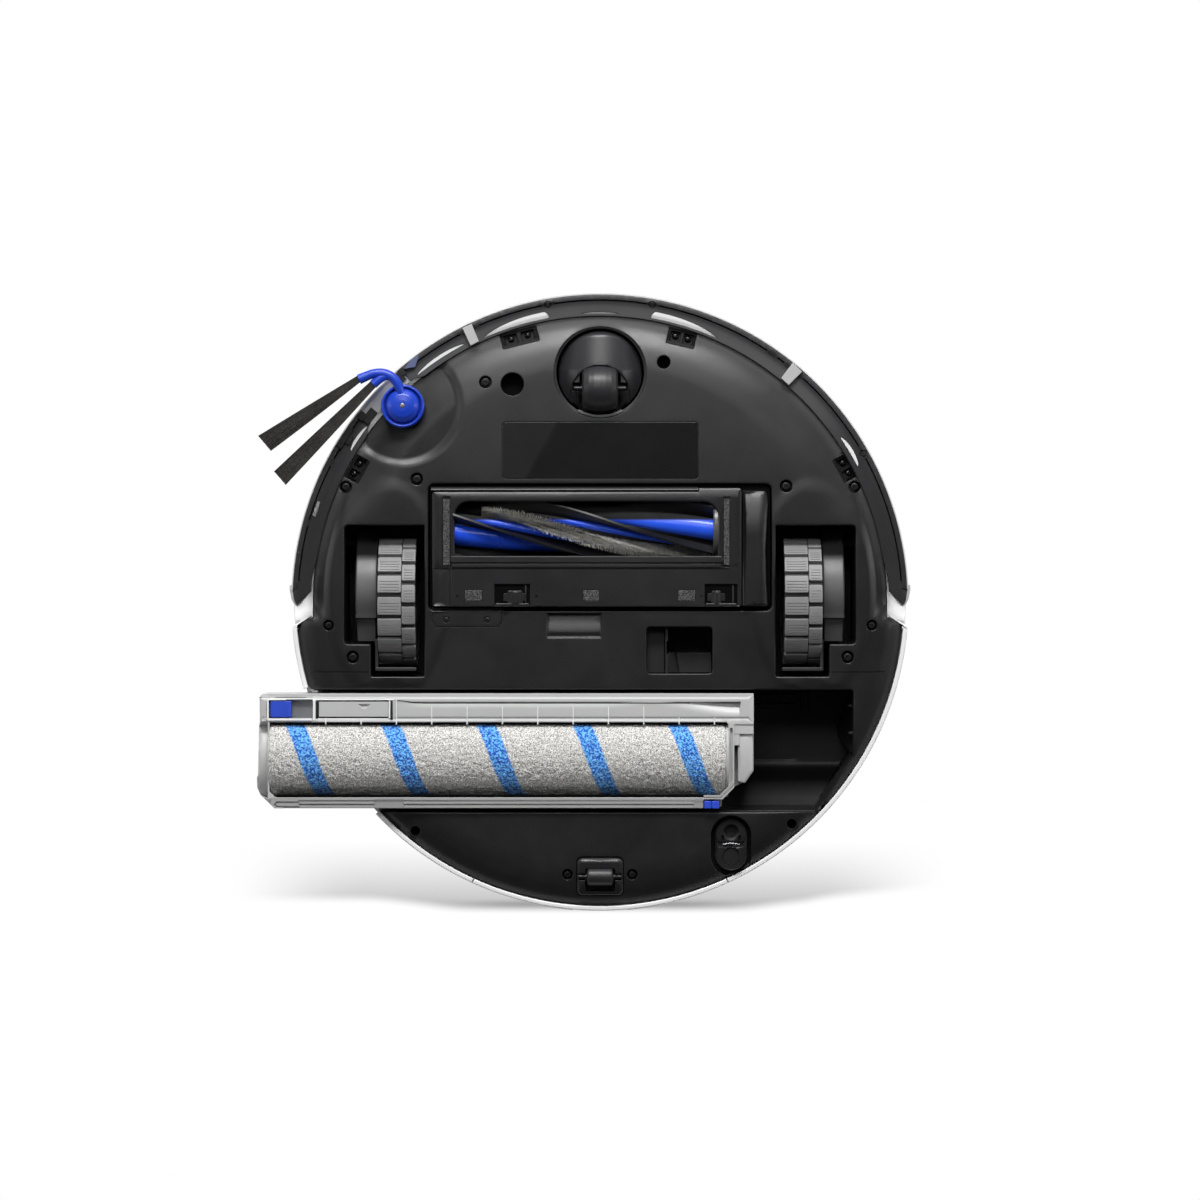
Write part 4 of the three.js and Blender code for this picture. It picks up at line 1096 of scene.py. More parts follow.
# panel lines
for s in (-1, 1):
    hole([(min(s * 159.3, s * 129.5), 39.05), (max(s * 159.3, s * 129.5), 39.05), (max(s * 159.3, s * 129.5), 39.5), (min(s * 159.3, s * 129.5), 39.5)], [(0.1, 0), (0, 0.1), (-0.05, 0.5)])
g = []
for r in np.arange(2, 130, 5.0):
    n = max(6, int(TAU * r / 5.0))
    g += [(r * math.cos(TAU * i / n + r), r * math.sin(TAU * i / n + r)) for i in range(n)]
for r in np.arange(132, 160.5, 2.0):
    n = int(TAU * r / 3.2)
    g += [(r * math.cos(TAU * i / n + r), r * math.sin(TAU * i / n + r)) for i in range(n)]
for r in (161.5, 163, 164.5, 166, 167.2):
    n = int(TAU * r / 3.2)
    g += [(r * math.cos(TAU * i / n), r * math.sin(TAU * i / n)) for i in range(n)]
g = np.array(g)
dd = np.hypot(g[:, 0] - SB[0], g[:, 1] - SB[1])
g = g[(dd < 26) | (dd > 36.5)]
ring_pts = [(SB[0] + d * math.cos(TAU * i / 120 + d), SB[1] + d * math.sin(TAU * i / 120 + d)) for d in np.arange(27.5, 36.0, 0.75) for i in range(120)]
bulge = []
for s in (-1, 1):
    for q in np.arange(0.78, 1.16, 0.045):
        rr = math.sqrt(q)
        bulge += [(s * 119.0 + 34 * rr * math.cos(TAU * i / 110), -6 + 62 * rr * math.sin(TAU * i / 110)) for i in range(110)]
bulge = np.array(bulge)
bulge = bulge[bulge[:, 1] < 47]
mask = np.ones(len(g), bool)
for s in (-1, 1):
    q = ((g[:, 0] - s * 119.0) / 34.0) ** 2 + ((g[:, 1] + 6) / 62.0) ** 2
    mask &= ~((q > 0.72) & (q < 1.22))
g = np.concatenate([g[mask], np.array(ring_pts), bulge])
fill(cm, first, holes, under, g)
chassis_obj = piece(cm, "chassis_pan", M["chassis"], "chassis", ["chassis_base"], angle=40, recalc=True, down=True, thick=1.5)

# liner of the mop bay: flat ceiling that curves down to the rear edge and to the slanted corner
liner = MB()
BL = offset(fillet([(-161.4, 49), (143.4, 49), (143.4, 87), (122.6, 117.6), (-124, 117.6), (-155, 66)], [0.2, 2, 2.5, 2.5, 0.2, 0.2], 4), 0.45)

# one more corner on the slanted left edge, so that the ceiling stays flat up to it
for i in range(len(BL)):
    (ax_, ay_), (bx_, by_) = BL[i], BL[(i + 1) % len(BL)]
    if ax_ + bx_ < -250 and abs(ay_ - by_) > 20 and max(ay_, by_) > 100:
        k_ = (115.3 - ay_) / (by_ - ay_)
        BL.insert(i + 1, (ax_ + (bx_ - ax_) * k_, 115.3))
        break


def bay_z(x, y):
    a_, s_ = 90.5, 1.22  # where the ceiling bends, and the slope of the plane after the bend
    z = 66.0
    if y > a_:
        q = min(y - a_, 7.5)
        z -= (s_ * q * q / 15.0 + s_ * max(0.0, y - a_ - 7.5)) * float(smooth(55, 64, x))
    if y > 115.6:
        z = min(z, 66 - (66 - 20.5) * float(smooth(115.6, 117.9, y)))
    nx, ny = 30.6, 20.8
    dist = ((143.4 - x) * nx + (87 - y) * ny) / math.hypot(nx, ny)
    return min(z, 66 - 48 * (1 - float(smooth(0.1, 1.6, dist))))


liner_holes = []
# a shallow cover panel, rail pads and ribs on the ceiling
PANEL = rrect(84.5, 111.6, 67.4, 89.8, 1.6, 4)
liner_holes.append(sunk(liner, PANEL, [(0.15, 0), (0.0, 0.12), (-0.35, 0.3), (-0.5, 0.0), (-0.6, -0.12)], bay_z))
pts = [(x, y) for x in np.arange(-158, 142, 6.0) for y in np.arange(51, 92, 5.0)] + [(x, y) for x in np.arange(-156, 140, 3.5) for y in np.arange(92.5, 117.6, 1.2)]
pts += [(143.4 + 0.4 - 20.8 * k / 14 - 0.827 * o, 87 + 30.6 * k / 14 - 0.562 * o) for k in range(15) for o in (0.5, 1.1, 1.8, 2.6)]
prev = None
for zz in (26, None):
    idx = liner.verts([(x, y, (min(zz, bay_z(x, y)) if zz is not None else bay_z(x, y))) for x, y in BL])
    if prev:  # open at the left, where the roller module comes out
        for i in range(len(BL)):
            j = (i + 1) % len(BL)
            if BL[i][0] + BL[j][0] > -250 or abs(BL[i][1] - BL[j][1]) < 1:
                liner.face((prev[i], prev[j], idx[j], idx[i]))
    prev = idx
fill(liner, BL, liner_holes, bay_z, pts)
# ribs down the right wall and rails at the ceiling's front
for y0 in (57.6, 73.0):
    block(liner, 139.8, 143.4, y0, y0 + 1.6, 24, 60, 0.4)
block(liner, 82, 113.5, 52.2, 55.2, 63.8, 66.5, 0.6)
block(liner, 84, 114.5, 57.6, 60.0, 63.9, 66.5, 0.6)
for x0 in (112, 116.5):
    block(liner, x0, x0 + 2.6, 51.0, 62.0, 63.7, 66.5, 0.7)
piece(liner, "mop_bay_liner", plastic("bay_black_plastic", "#1b1b1c", 0.44, 0.25, 1200, 0.08, rvar=0.04), "chassis", (), angle=40, thick=1.0, down=True)

# screws
sm = MB()


def screw(mb, x, y, z, r, rot=0.0, cross=True):
    """A pan head with a cross recess, its face towards -Z at height z."""
    k = r * 0.62
    prof = [(r, z + 1.5), (r, z + 0.75)] + [(k + (r - k) * math.cos(t), z + 0.75 - 0.75 * math.sin(t)) for t in [i / 4 * math.pi / 2 for i in range(1, 5)]]
    prev = None
    n = 24
    for rr, zz in prof:
        idx = mb.verts([(x + rr * math.cos(TAU * i / n), y + rr * math.sin(TAU * i / n), zz) for i in range(n)])
        if prev:
            mb.strip(prev, idx)
        else:
            mb.cap(idx)
        prev = idx
    w, l = r * 0.15, r * 0.52
    c = [(l, -w), (l, w), (w, w), (w, l), (-w, l), (-w, w), (-l, w), (-l, -w), (-w, -w), (-w, -l), (w, -l), (w, -w)]
    c = ccw(turn([(x + a, y + b) for a, b in c], rot, x, y))
    lid = circle(x, y, k, n)
    h = lambda a, b: z
    f = sunk(mb, c, [(0, 0), (-w * 0.3, 0.7)], h)
    fill(mb, ccw(lid), [f], h)


for i, (x, y, r) in enumerate(SCREWS):
    screw(sm, x, y, under(x, y) + 1.15, r * 0.70, 17 * i)
piece(sm, "chassis_screws", M["darksteel"], "chassis", ["screw_1", "screw_2", "screw_3", "screw_4"], angle=40, weld=0.001)

# painted shade: near-black sleeves in the open holes, so they read as shadowed
hc = MB()
for x, y, r, d in [(-49.1, -122.0, 6.5, 5.5), (35.7, -134.4, 3.8, 5.5)] + [(*U(u, v), 2.8, 5.5) for u, v in [(415.2, 831.1), (791.8, 823.9)]]:
    z_ = under(x, y) + 0.75
    lathe(hc, [(0, z_ + d - 0.4), (r - 0.9, z_ + d - 0.4), (r - 0.55, z_ + d - 0.8), (r - 0.45, z_ + 0.2), (r - 0.2, z_), (r - 0.04, z_ + 0.15), (r - 0.04, z_ + d), (0, z_ + d)], 32, cx=x, cy=y)
for x, y, r in SCREWS:
    z_ = under(x, y) + 0.8
    lathe(hc, [(r - 0.75, z_ + 2.1), (r - 0.5, z_ + 0.2), (r - 0.3, z_), (r - 0.05, z_ + 0.15), (r - 0.05, z_ + 2.1), (r - 0.75, z_ + 2.1)], 26, cx=x, cy=y)
piece(hc, "hole_shade_sleeves", M["pit"], "chassis", (), angle=50)
# sensors: dark windows, each with two lens cells and fine ribs at both ends
cs, cl_ = MB(), MB()
for name, x, y, w, d, a in CLIFFS:
    base = under(x, y) + 0.55
    T = lambda p: turn(p, a, x, y)
    w2, d2 = w - 0.25, d - 0.25
    hh = lambda px, py, b=base, x=x, y=y: b + (under(px, py) - under(x, y))
    frame_loop = ccw(T(rrect(x - w2 / 2, x + w2 / 2, y - d2 / 2, y + d2 / 2, 0.6, 3)))
    hs = []
    for s in (-1, 1):
        cx = x + s * w2 * 0.225
        cell = T(rrect(cx - w2 * 0.17, cx + w2 * 0.17, y - d2 * 0.34, y + d2 * 0.34, 0.5, 3))
        hs.append(sunk(cs, cell, [(0.12, 0), (0, 0.15), (-0.1, 1.9)], hh))
        cc = T([(cx, y)])[0]
        lm = MB()
        lathe(lm, [(0, 0), (d2 * 0.13, 0.12), (d2 * 0.21, 0.5), (d2 * 0.24, 1.3), (0, 1.3)], 20)
        cl_.add(lm, lambda p, cc=cc, hh=hh: (p[0] + cc[0], p[1] + cc[1], p[2] + hh(*cc) + 0.75))
        # end block with fine ribs
        for q in range(3):
            xx = x + s * w2 * (0.415 + 0.027 * q)
            rl = T([(xx - w2 * 0.008, y - d2 * 0.32), (xx + w2 * 0.008, y - d2 * 0.32), (xx + w2 * 0.008, y + d2 * 0.32), (xx - w2 * 0.008, y + d2 * 0.32)])
            hs.append(sunk(cs, rl, [(0.05, 0), (0, 0.08), (-0.02, 0.7)], hh))
    fill(cs, frame_loop, hs, hh)
    prev = cs.verts([(px, py, hh(px, py)) for px, py in frame_loop])
    nxt = cs.verts([(px, py, hh(px, py) + 3) for px, py in frame_loop])
    cs.strip(prev, nxt)
piece(cs, "cliff_sensors", plastic("sensor_body", "#0a0a0b", 0.55, 0.10, 900, 0.08, spec=0.18, rvar=0.04), "chassis", ["cliff_sensor_front_left", "cliff_sensor_front_right", "cliff_sensor_side_left", "cliff_sensor_side_right"], angle=38, recalc=False)
piece(cl_, "cliff_lenses", plastic("sensor_lens", "#08080b", 0.24, 0.03, 300, 0.05, spec=0.35, rvar=0.03), "chassis", (), angle=50)

# blank plate
lb = MB()
slab(lb, rrect(-54.8, 55.0, -100.7, -69.2, 2.2, 6), 11.02, 11.7, 0.18, 0.1, 3)
piece(lb, "blank_plate", label_painted_reflection_mat("label_film_painted_reflection"), "chassis", ["rating_plate_blank"])

# screw plate
pm = MB()
hs = []
for u, v in [(446.4, 619.7), (487.3, 619.7)]:
    x, y = U(u, v)
    hs.append(sunk(pm, circle(x, y, 1.9, 20), rin(0.2, 2) + [(0, 0.5)], lambda a, b: 10.85))
    screw(pm, x, y, 10.75, 1.45, 20)
prof = None
h = lambda a, b: 10.85
lp = offset(ccw(SP), -0.25)
fill(pm, lp, hs, h)
prev = pm.verts([(x, y, 10.85) for x, y in lp])
for off, z in ((-0.07, 10.92), (0, 11.1), (0, 11.8)):
    idx = pm.verts([(x, y, z) for x, y in offset(ccw(SP), off)])
    pm.strip(prev, idx)
    prev = idx
piece(pm, "screw_plate", M["chassis2"], "chassis", (), thick=None)

# ---------------------------------------------------------------- white skirt and crown
ws_ = MB()
inner = offset(outline, 0.35)


def sector_slab(mb, pts_out, pts_in, z0, z1, b=0.6):
    loop = ccw(list(pts_out) + list(pts_in)[::-1])
    slab(mb, loop, z0, z1, b, 0.2, 3)


def lip(mb, phi0, phi1, ends=(None, None)):
    """The white bottom lip between two angles about the rear."""
    n = max(8, int(abs(phi1 - phi0) / 0.8))
    out = [pol(173.15, phi0 + (phi1 - phi0) * i / n) for i in range(n + 1)]
    inn = [pol(170.6, phi0 + (phi1 - phi0) * i / n) for i in range(n + 1)]
    sector_slab(mb, out, inn, 15.7, 20.5, 0.75)


def ang_at(y, r, side):
    """phi of the point with that y on a circle, on the left (-1) or right (+1)."""
    a = math.degrees(math.acos(max(-1, min(1, -y / r))))
    return a if side > 0 else -a




def phi_of(u, v):
    return math.degrees(math.atan2(u - 600, -(v - 602)))
pa, pb = phi_of(727.8, 881.5), phi_of(472.6, 881.5)  # right seam, left seam
pr0 = ang_at(14.6, 172, 1)
pl_bay1 = ang_at(118.2, 172, -1)
pl_bay0 = ang_at(48.4, 172, -1)
pl0 = ang_at(14.6, 172, -1)
gap = 0.10
lip(ws_, pr0, pa - gap)
lip(ws_, pa + gap, 360 + pb - gap)
lip(ws_, 360 + pb + gap, 360 + pl_bay1)
lip(ws_, 360 + pl_bay0, 360 + pl0)
# the lip turns in along both notches
for s in (-1, 1):
    e = [(s * 163.0, 9.0), (s * 162.9, 7.9), (s * 172.0, 13.3), (s * 172.4, 15.4), (s * 169.4, 15.2), (s * 169.4, 13.2)]
    slab(ws_, fillet(ccw(e), [0.3, 0.4, 0.9, 0.2, 0.2, 0.2], 3), 15.8, 34.0, 0.5, 0.2, 3)
WALL = [(170.6, 19.4), (173.35, 19.4), (173.75, 24), (174.3, 34), (174.85, 46), (174.85, 70.2), (172.6, 70.2), (172.6, 24)]


def wall(mb, p0, p1, prof):
    a0, a1 = math.radians(p0 - 90), math.radians(p1 - 90)
    lathe(mb, prof, max(6, int(abs(p1 - p0) / 1.8)), a0, a1)


wall(ws_, pr0, 360 + pl_bay1, WALL)
wall(ws_, 360 + pl_bay0, 360 + pl0, WALL)
wall(ws_, 360 + pl_bay1 - 0.2, 360 + pl_bay0 + 0.2, [(172.6, 66), (174.85, 66), (174.85, 70.2), (172.6, 70.2)])
for s in (-1, 1):  # posts that close the skirt beside the notch
    block(ws_, min(s * 161.6, s * 172.2), max(s * 161.6, s * 172.2), 10.4, 13.6, 33.0, 70.4, 0.6)
# the wall behind the bumper
wall(ws_, -93.0, 93.0, [(160.0, 34.4), (161.8, 34.4), (161.8, 70.6), (160.0, 70.6)])
piece(ws_, "skirt", M["white"], "chassis", (), angle=38, weld=0.001)

cr = MB()
crown_prof = fil_prof([(160.2, 70.35), (174.6, 70.35), (175.0, 70.8), (175.0, 73.0), (174.3, 77.2), (171.4, 79.8), (168.7, 79.8), (168.7, 76.9), (160.2, 76.9), (160.2, 70.35)], [0, 0.3, 0.3, 1.5, 2.5, 1.2, 0.4, 0.3, 0, 0], 4)[:-1]
lathe(cr, crown_prof, 180)
crown = piece(cr, "crown", M["white"], "chassis", ["top_shell"], angle=38)
# deck under the lid, around the bin bay, with raised ribs
dk = MB()
bin_hole = rrect(-90, 90, -66, 45.5, 4, 5)
deck = circle(0, 0, 162.0, 120)
hs = [offset(ccw(bin_hole), 0.5), circle(0, -141, 9.4, 32)]
for z, up in ((77.1, True), (74.7, False)):
    fill(dk, deck, hs, lambda a, b, z=z: z, None, up)
for lp_ in [deck, *hs]:
    a = dk.verts([(x, y, 77.1) for x, y in lp_]); b = dk.verts([(x, y, 74.7) for x, y in lp_])
    dk.strip(a, b)
piece(dk, "deck", M["whitedim"], "chassis", (), angle=38)
rb = MB()
for r in (150.0, 157.0):
    lathe(rb, [(r, 76.9), (r + 1.2, 76.9), (r + 1.2, 77.5), (r, 77.5)], 140)
piece(rb, "deck_ribs", M["whitedim"], "chassis", (), angle=38)
cc_ = MB()
for s in (-1, 1):
    a_ = [180 + s * 7.9 - 2.85 + 5.7 * i / 8 for i in range(9)]
    slab(cc_, ccw([pol(174.25, q) for q in a_] + [pol(171.6, q) for q in a_[::-1]]), 27.3, 36.7, 0.5, 0.5, 3)
piece(cc_, "charge_contacts", M["contact"], "chassis", ["charge_contact_left", "charge_contact_right"])

# ---------------------------------------------------------------- bumper
CRES = [(-23.9, -10.1, 3.8), (10.1, 24.1, 3.8), (-3.7, 3.7, 0.9), (-38.8, -27.8, 1.9), (-58.8, -52.9, 1.8), (55.6, 62.3, 2.2)]


def r_in(phi):
    return 160.5 + 1.7 * float(smooth(80.0, 86.5, abs(phi))) + 2.6 * (1 - float(smooth(0.5, 3.0, min(abs(phi + 52.0), abs(phi + 40.6)))))


def cres_r(phi, a, b, w):
    """Inner and outer radius of a crescent slot at an angle: the two long ones are blunt at their inner end."""
    t = min(1.0, max(0.0, (phi - a) / (b - a)))
    if w > 3:
        q = t if a > 0 else 1 - t
        k = min(1.0, q / 0.05) ** 0.5 * (1 - q ** 2.6) ** 0.8
    else:
        k = max(0.0, math.sin(math.pi * t)) ** 0.5
    base = 161.9 if w > 3 or w < 1 else 163.3
    return base, base + 0.12 + w * k


def trim_poly(p0, p1, left_tip=False, right_tip=False, rout=172.55):
    n = int((p1 - p0) / 0.8)
    out = [pol(rout, p0 + (p1 - p0) * i / n) for i in range(n + 1)]
    inn = [pol(r_in(p0 + (p1 - p0) * i / n), p0 + (p1 - p0) * i / n) for i in range(n + 1)]
    loop = list(out)
    if right_tip:
        loop += [(171.6, -1.2), (169.9, 1.9), (168.6, 0.6)]
    loop += inn[::-1]
    if left_tip:
        loop += [(-168.6, 0.6), (-169.9, 1.9), (-171.6, -1.2)]
    return ccw(loop)


def trim_z(x, y):
    r = math.hypot(x, y)
    return float(np.interp(r, [159, 163, 166, 169.1, 169.6, 170.4, 171.8, 172.7], [16.5, 16.35, 15.9, 15.6, 14.9, 14.5, 14.6, 15.3]))


tm = MB()
cres_loops = []
for p0, p1, lt, rt in [(-87.9, -52.0, True, False), (-40.6, 87.9, False, True)]:
    poly = trim_poly(p0, p1, lt, rt)
    fr = offset(poly, -0.3)
    hs = []
    # the seam between flange and lip, broken at the bosses and tabs
    segs = [(-86.0, -75.5), (-74.2, -63.2), (-61.8, -53.2), (-39.6, -27.6), (-23.6, -11.2), (-8.8, 8.8), (11.2, 33.6), (36.0, 37.6), (42.2, 59.0), (61.6, 86.0)]
    for a, b in segs:
        if a > p0 and b < p1:
            n = max(3, int((b - a) / 1.2))
            q = [pol(169.72, a + (b - a) * i / n) for i in range(n + 1)] + [pol(169.02, b - (b - a) * i / n) for i in range(n + 1)]
            hs.append(sunk(tm, ccw(q), [(0.06, 0), (0, 0.1), (-0.04, 1.9)], trim_z))
    # bosses on the seam
    for u, v in [(547.8, 304.5), (652.2, 304.5), (453.5, 338.5), (780, 359.6), (863.3, 453.5), (337.5, 452.5)]:
        x, y = U(u, v, 15)
        ph = math.degrees(math.atan2(x, -y))
        if p0 + 1 < ph < p1 - 1 and not any(a - 0.8 < ph < b + 0.8 for a, b in segs if a > p0 and b < p1):
            hs.append(sunk(tm, circle(x, y, 2.1, 20), [(0.1, 0), (0, 0.12), (0, 1.0), (-0.5, 1.1), (-0.6, 0.4), (-0.8, 0.25)], trim_z))
    # crescent slots
    for a, b, w in CRES:
        if a > p0 and b < p1:
            n = max(14, int((b - a) / 0.35))
            tt_ = [0.5 - 0.5 * math.cos(math.pi * i / n) for i in range(n + 1)]
            q = [pol(cres_r(a + (b - a) * t, a, b, w)[1], a + (b - a) * t) for t in tt_]
            q += [pol(cres_r(a, a, b, w)[0], b - (b - a) * t) for t in tt_[1:-1]]
            hs.append(sunk(tm, ccw(q), [(0.1, 0), (0, 0.12), (-0.03, 0.85)], trim_z))
            cres_loops.append((a, b, w, ccw(q)))
    # small side slot
    if p0 < -75:
        q = [pol(168.6, -73.3), pol(168.6, -70.3), pol(166.6, -70.3), pol(166.6, -73.3)]
        hs.append(sunk(tm, fillet(ccw(q), 0.6, 3), [(0.15, 0), (0, 0.2), (0, 3.5)], trim_z, floor=False))
    ex = [pol(r, p) for r in (163.6, 164.8, 166.2, 167.8, 168.7, 170.2, 171.2, 172.0) for p in np.arange(p0 + 0.6, p1 - 0.4, 1.3)]
    fill(tm, fr, hs, trim_z, ex)
    prev = tm.verts([(x, y, trim_z(x, y)) for x, y in fr])
    for off, dz in ((-0.1, 0.1), (0, 0.3), (0, 0.85)):
        lp_ = offset(poly, off)
        idx = tm.verts([(x, y, trim_z(x, y) + dz) for x, y in lp_])
        tm.strip(prev, idx)
        prev = idx
piece(tm, "bumper_trim_ring", M["ring"], "bumper", ["bumper_trim"], angle=40, thick=0.4, down=True)

# white shell seen through the crescents: it dips towards the middle of the robot
ci = MB()


def cres_z(x, y):
    r = math.hypot(x, y)
    return trim_z(x, y) + 0.2 + 0.6 * (1 - float(smooth(162.0, 163.7, r)))


for a, b, w, q in cres_loops:
    lp_ = offset(q, -0.16)
    ex = [pol(r, p) for r in (161.9, 162.3, 162.7, 163.1, 163.6, 164.2, 165.0) for p in np.arange(a, b, 0.5)]
    fill(ci, lp_, [], cres_z, ex)
    prev = ci.verts([(x, y, cres_z(x, y)) for x, y in lp_])
    idx = ci.verts([(x, y, trim_z(x, y) + 1.0) for x, y in lp_])
    ci.strip(prev, idx)
    ci.cap(idx)
piece(ci, "bumper_crescents", M["white"], "bumper", (), angle=60, weld=0.001)
# clips where the ring is open beside the side brush, and radial ribs of the flange
cl = MB()


def sec_block(mb, r0, r1, p0, p1, z0, z1, b=0.25):
    n = max(1, int((p1 - p0) / 1.5))
    loop = [pol(r1, p0 + (p1 - p0) * i / n) for i in range(n + 1)] + [pol(r0, p1 - (p1 - p0) * i / n) for i in range(n + 1)]
    slab(mb, ccw(loop), z0, z1, b, b, 2)


sec_block(cl, 165.8, 171.9, -42.8, -41.0, 14.2, 18.0)
sec_block(cl, 168.0, 172.5, -41.4, -40.2, 14.0, 18.0)
sec_block(cl, 163.6, 168.6, -52.6, -49.6, 14.8, 18.0)
sec_block(cl, 167.4, 171.8, -52.8, -51.2, 14.2, 18.0)
sec_block(cl, 168.6, 172.3, -59.4, -55.0, 13.8, 17.0)
sec_block(cl, 166.0, 169.0, -58.0, -56.2, 14.6, 17.0)
piece(cl, "bumper_clips", M["chassis2"], "bumper", ())
bp = MB()
patch = [pol(170.6, -40.0), pol(172.3, -38.0), pol(171.6, -36.2), pol(167.6, -38.2)]
slab(bp, ccw(patch), 13.9, 15.2, 0.2, 0.2, 2)
piece(bp, "bumper_lens", plastic("smoked_blue_lens", "#5c6484", 0.2, 0.05, 500, 0.05, coat=0.3), "bumper", ())

# white shell
bs = MB()
PROF = fil_prof([(170.2, 17.2), (172.5, 15.5), (173.25, 16.6), (173.65, 24), (174.3, 34), (175.0, 46), (175.0, 66), (173.8, 68.9), (171.7, 68.9), (171.7, 30), (170.2, 22), (170.2, 17.2)], [0, 0.4, 0.8, 0, 3, 3, 1.6, 0.5, 0, 0, 0, 0], 4)[:-1]
BW = 17.1  # half width of the sensor window in degrees
wall(bs, -87.6, -BW - 0.05, PROF)
wall(bs, BW + 0.05, 87.6, PROF)
lowp = fil_prof([(170.2, 17.2), (172.5, 15.5), (173.25, 16.6), (173.65, 24), (174.3, 34), (174.6, 37.7), (171.7, 37.7), (171.7, 30), (170.2, 22), (170.2, 17.2)], [0, 0.4, 0.8, 0, 0, 0.3, 0, 0, 0, 0], 4)[:-1]
topp = fil_prof([(171.7, 60.3), (175.0, 60.3), (175.0, 66), (173.8, 68.9), (171.7, 68.9), (171.7, 60.3)], [0, 0.3, 0, 1.6, 0.5, 0], 4)[:-1]
wall(bs, -BW - 0.1, BW + 0.1, lowp)
wall(bs, -BW - 0.1, BW + 0.1, topp)
# pointed ends
be = MB()
for s in (-1, 1):
    e = [pol(173.2, s * 86.0), pol(173.2, s * 87.7), (s * 172.2, -1.0), (s * 170.1, 2.7), (s * 168.2, 1.2), (s * 163.2, -5.0), pol(163.0, s * 87.2), pol(169.5, s * 86.0)]
    slab(be, ccw(e), 16.9, 21.0, 0.3, 0.3, 2)
    e2 = [pol(174.6, s * 86.8), pol(174.6, s * 87.8), (s * 173.4, -1.6), (s * 171.4, 2.2), (s * 169.6, 0.6), pol(171.2, s * 86.8)]
    slab(bs, fillet(ccw(e2), 0.5, 3), 20.0, 68.6, 0.5, 0.8, 3)
# white tabs across the ring, and the white web left open beside the side brush
for quad in ([(462.4, 328), (471.6, 323.9), (478.8, 341.2), (470.6, 345.7)], [(792.9, 362.7), (802, 371.8), (788.8, 385.1), (781.2, 378)]):
    slab(bs, ccw(UL(quad, 14)), 13.6, 17.9, 0.35, 0.2, 3)
sec_block(bs, 163.4, 171.6, -52.4, -40.2, 16.9, 17.9, 0.3)
piece(be, "bumper_ends", M["white"], "bumper", ())
bumper_cover = piece(bs, "bumper_cover", M["white"], "bumper", ["bumper_shell"], angle=38, weld=0.001)
bw_ = MB()
wall(bw_, -BW, BW, fil_prof([(172.3, 38.0), (174.5, 38.0), (174.9, 42), (174.95, 56), (174.9, 60.0), (172.3, 60.0), (172.3, 38.0)], [0, 0.4, 0, 0, 0.4, 0, 0], 3)[:-1])
piece(bw_, "bumper_sensor_window", M["gloss"], "bumper", ["bumper_window"])


# ---------------------------------------------------------------- suction head
rng = np.random.default_rng(11)
hm = MB()
z0 = 13.2
flat = lambda z: (lambda x, y: z)
head = rrect(-95.4, 95.4, -65.5, 4.1, 2.6, 5)
mouth = rrect(-84.0, 71.0, -58.9, -23.2, 3.0, 5)
gear = rrect(79.8, 94.3, -62.6, 2.5, 1.6, 4)
hs = [sunk(hm, mouth, rin(0.5, 3) + [(0, 24, 1)], flat(z0), floor=False)]
fill(hm, offset(head, -0.4), hs, flat(z0))
prev = hm.verts([(x, y, z0) for x, y in offset(head, -0.4)])
for off, dz in ((-0.12, 0.12), (0, 0.4), (0, 12)):
    idx = hm.verts([(x, y, z0 + dz) for x, y in offset(head, off)])
    hm.strip(prev, idx)
    prev = idx
# the head's frame is painted shade black, so the gap round the cover reads as shadow
piece(hm, "head_frame", M["pit"], "chassis", ["brush_housing"], thick=1.0, down=True)
# gear case beside the cover: it slopes to the front and draws in at its free side
GC = fillet(ccw([(79.75, 2.4), (79.75, -62.6), (93.6, -62.6), (94.2, -56), (93.4, -44), (92.6, -28), (93.2, -12), (94.2, 2.4)]), [0.5, 0.6, 2.0, 4, 4, 4, 4, 1.0], 4)


def gear_z(x, y):
    return 7.2 + 5.4 * max(0.0, (-36.0 - y) / 26.6) ** 2.1 + 1.3 * float(smooth(88.5, 94.8, x)) ** 1.5


gr = MB()
fill(gr, offset(GC, -0.7), [], gear_z, [(x, y) for x in np.arange(80.8, 93.6, 1.1) for y in np.arange(-61.4, 2.0, 1.6)])
prev = gr.verts([(x, y, gear_z(x, y)) for x, y in offset(GC, -0.7)])
for off, dz in ((-0.22, 0.22), (0, 0.75), (0, None)):
    idx = gr.verts([(x, y, 14.2 if dz is None else gear_z(x, y) + dz) for x, y in offset(GC, off)])
    gr.strip(prev, idx)
    prev = idx
gr.cap(prev)
piece(gr, "gear_case", M["chassis2"], "chassis", (), angle=42)
# lip in front of the cover
fl = MB()
lp = [(U(0, v)[1], z) for v, z in ((486.8, 11.5), (487.1, 10.1), (487.7, 9.3), (488.5, 8.75), (489.4, 8.4), (490.0, 8.25), (490.4, 8.3), (490.5, 8.6), (490.5, 11.5))]
a, b = fl.verts([(-94.6, y, z) for y, z in lp]), fl.verts([(55.0, y, z) for y, z in lp])
fl.strip(a, b)
fl.cap(a)
fl.cap(b, True)
piece(fl, "head_front_lip", M["chassis2"], "chassis", (), angle=60)
# trough behind the rotor, in the painted shade black
tr = MB()
tp = fil_prof([(-59.6, 14), (-59.6, 30), (-54, 38.5), (-46, 42), (-36, 42), (-28, 38.5), (-22.4, 30), (-22.4, 14)], [0, 5, 5, 5, 5, 5, 5, 0], 5)
prev = None
for x in np.linspace(-84.6, 71.6, 14):
    idx = tr.verts([(x, y, z) for y, z in tp])
    if prev:
        tr.strip(prev, idx, closed=False)
    else:
        tr.face(idx[::-1])
    prev = idx
tr.face(prev)
piece(tr, "head_trough", M["pit"], "chassis", (), thick=0.8)

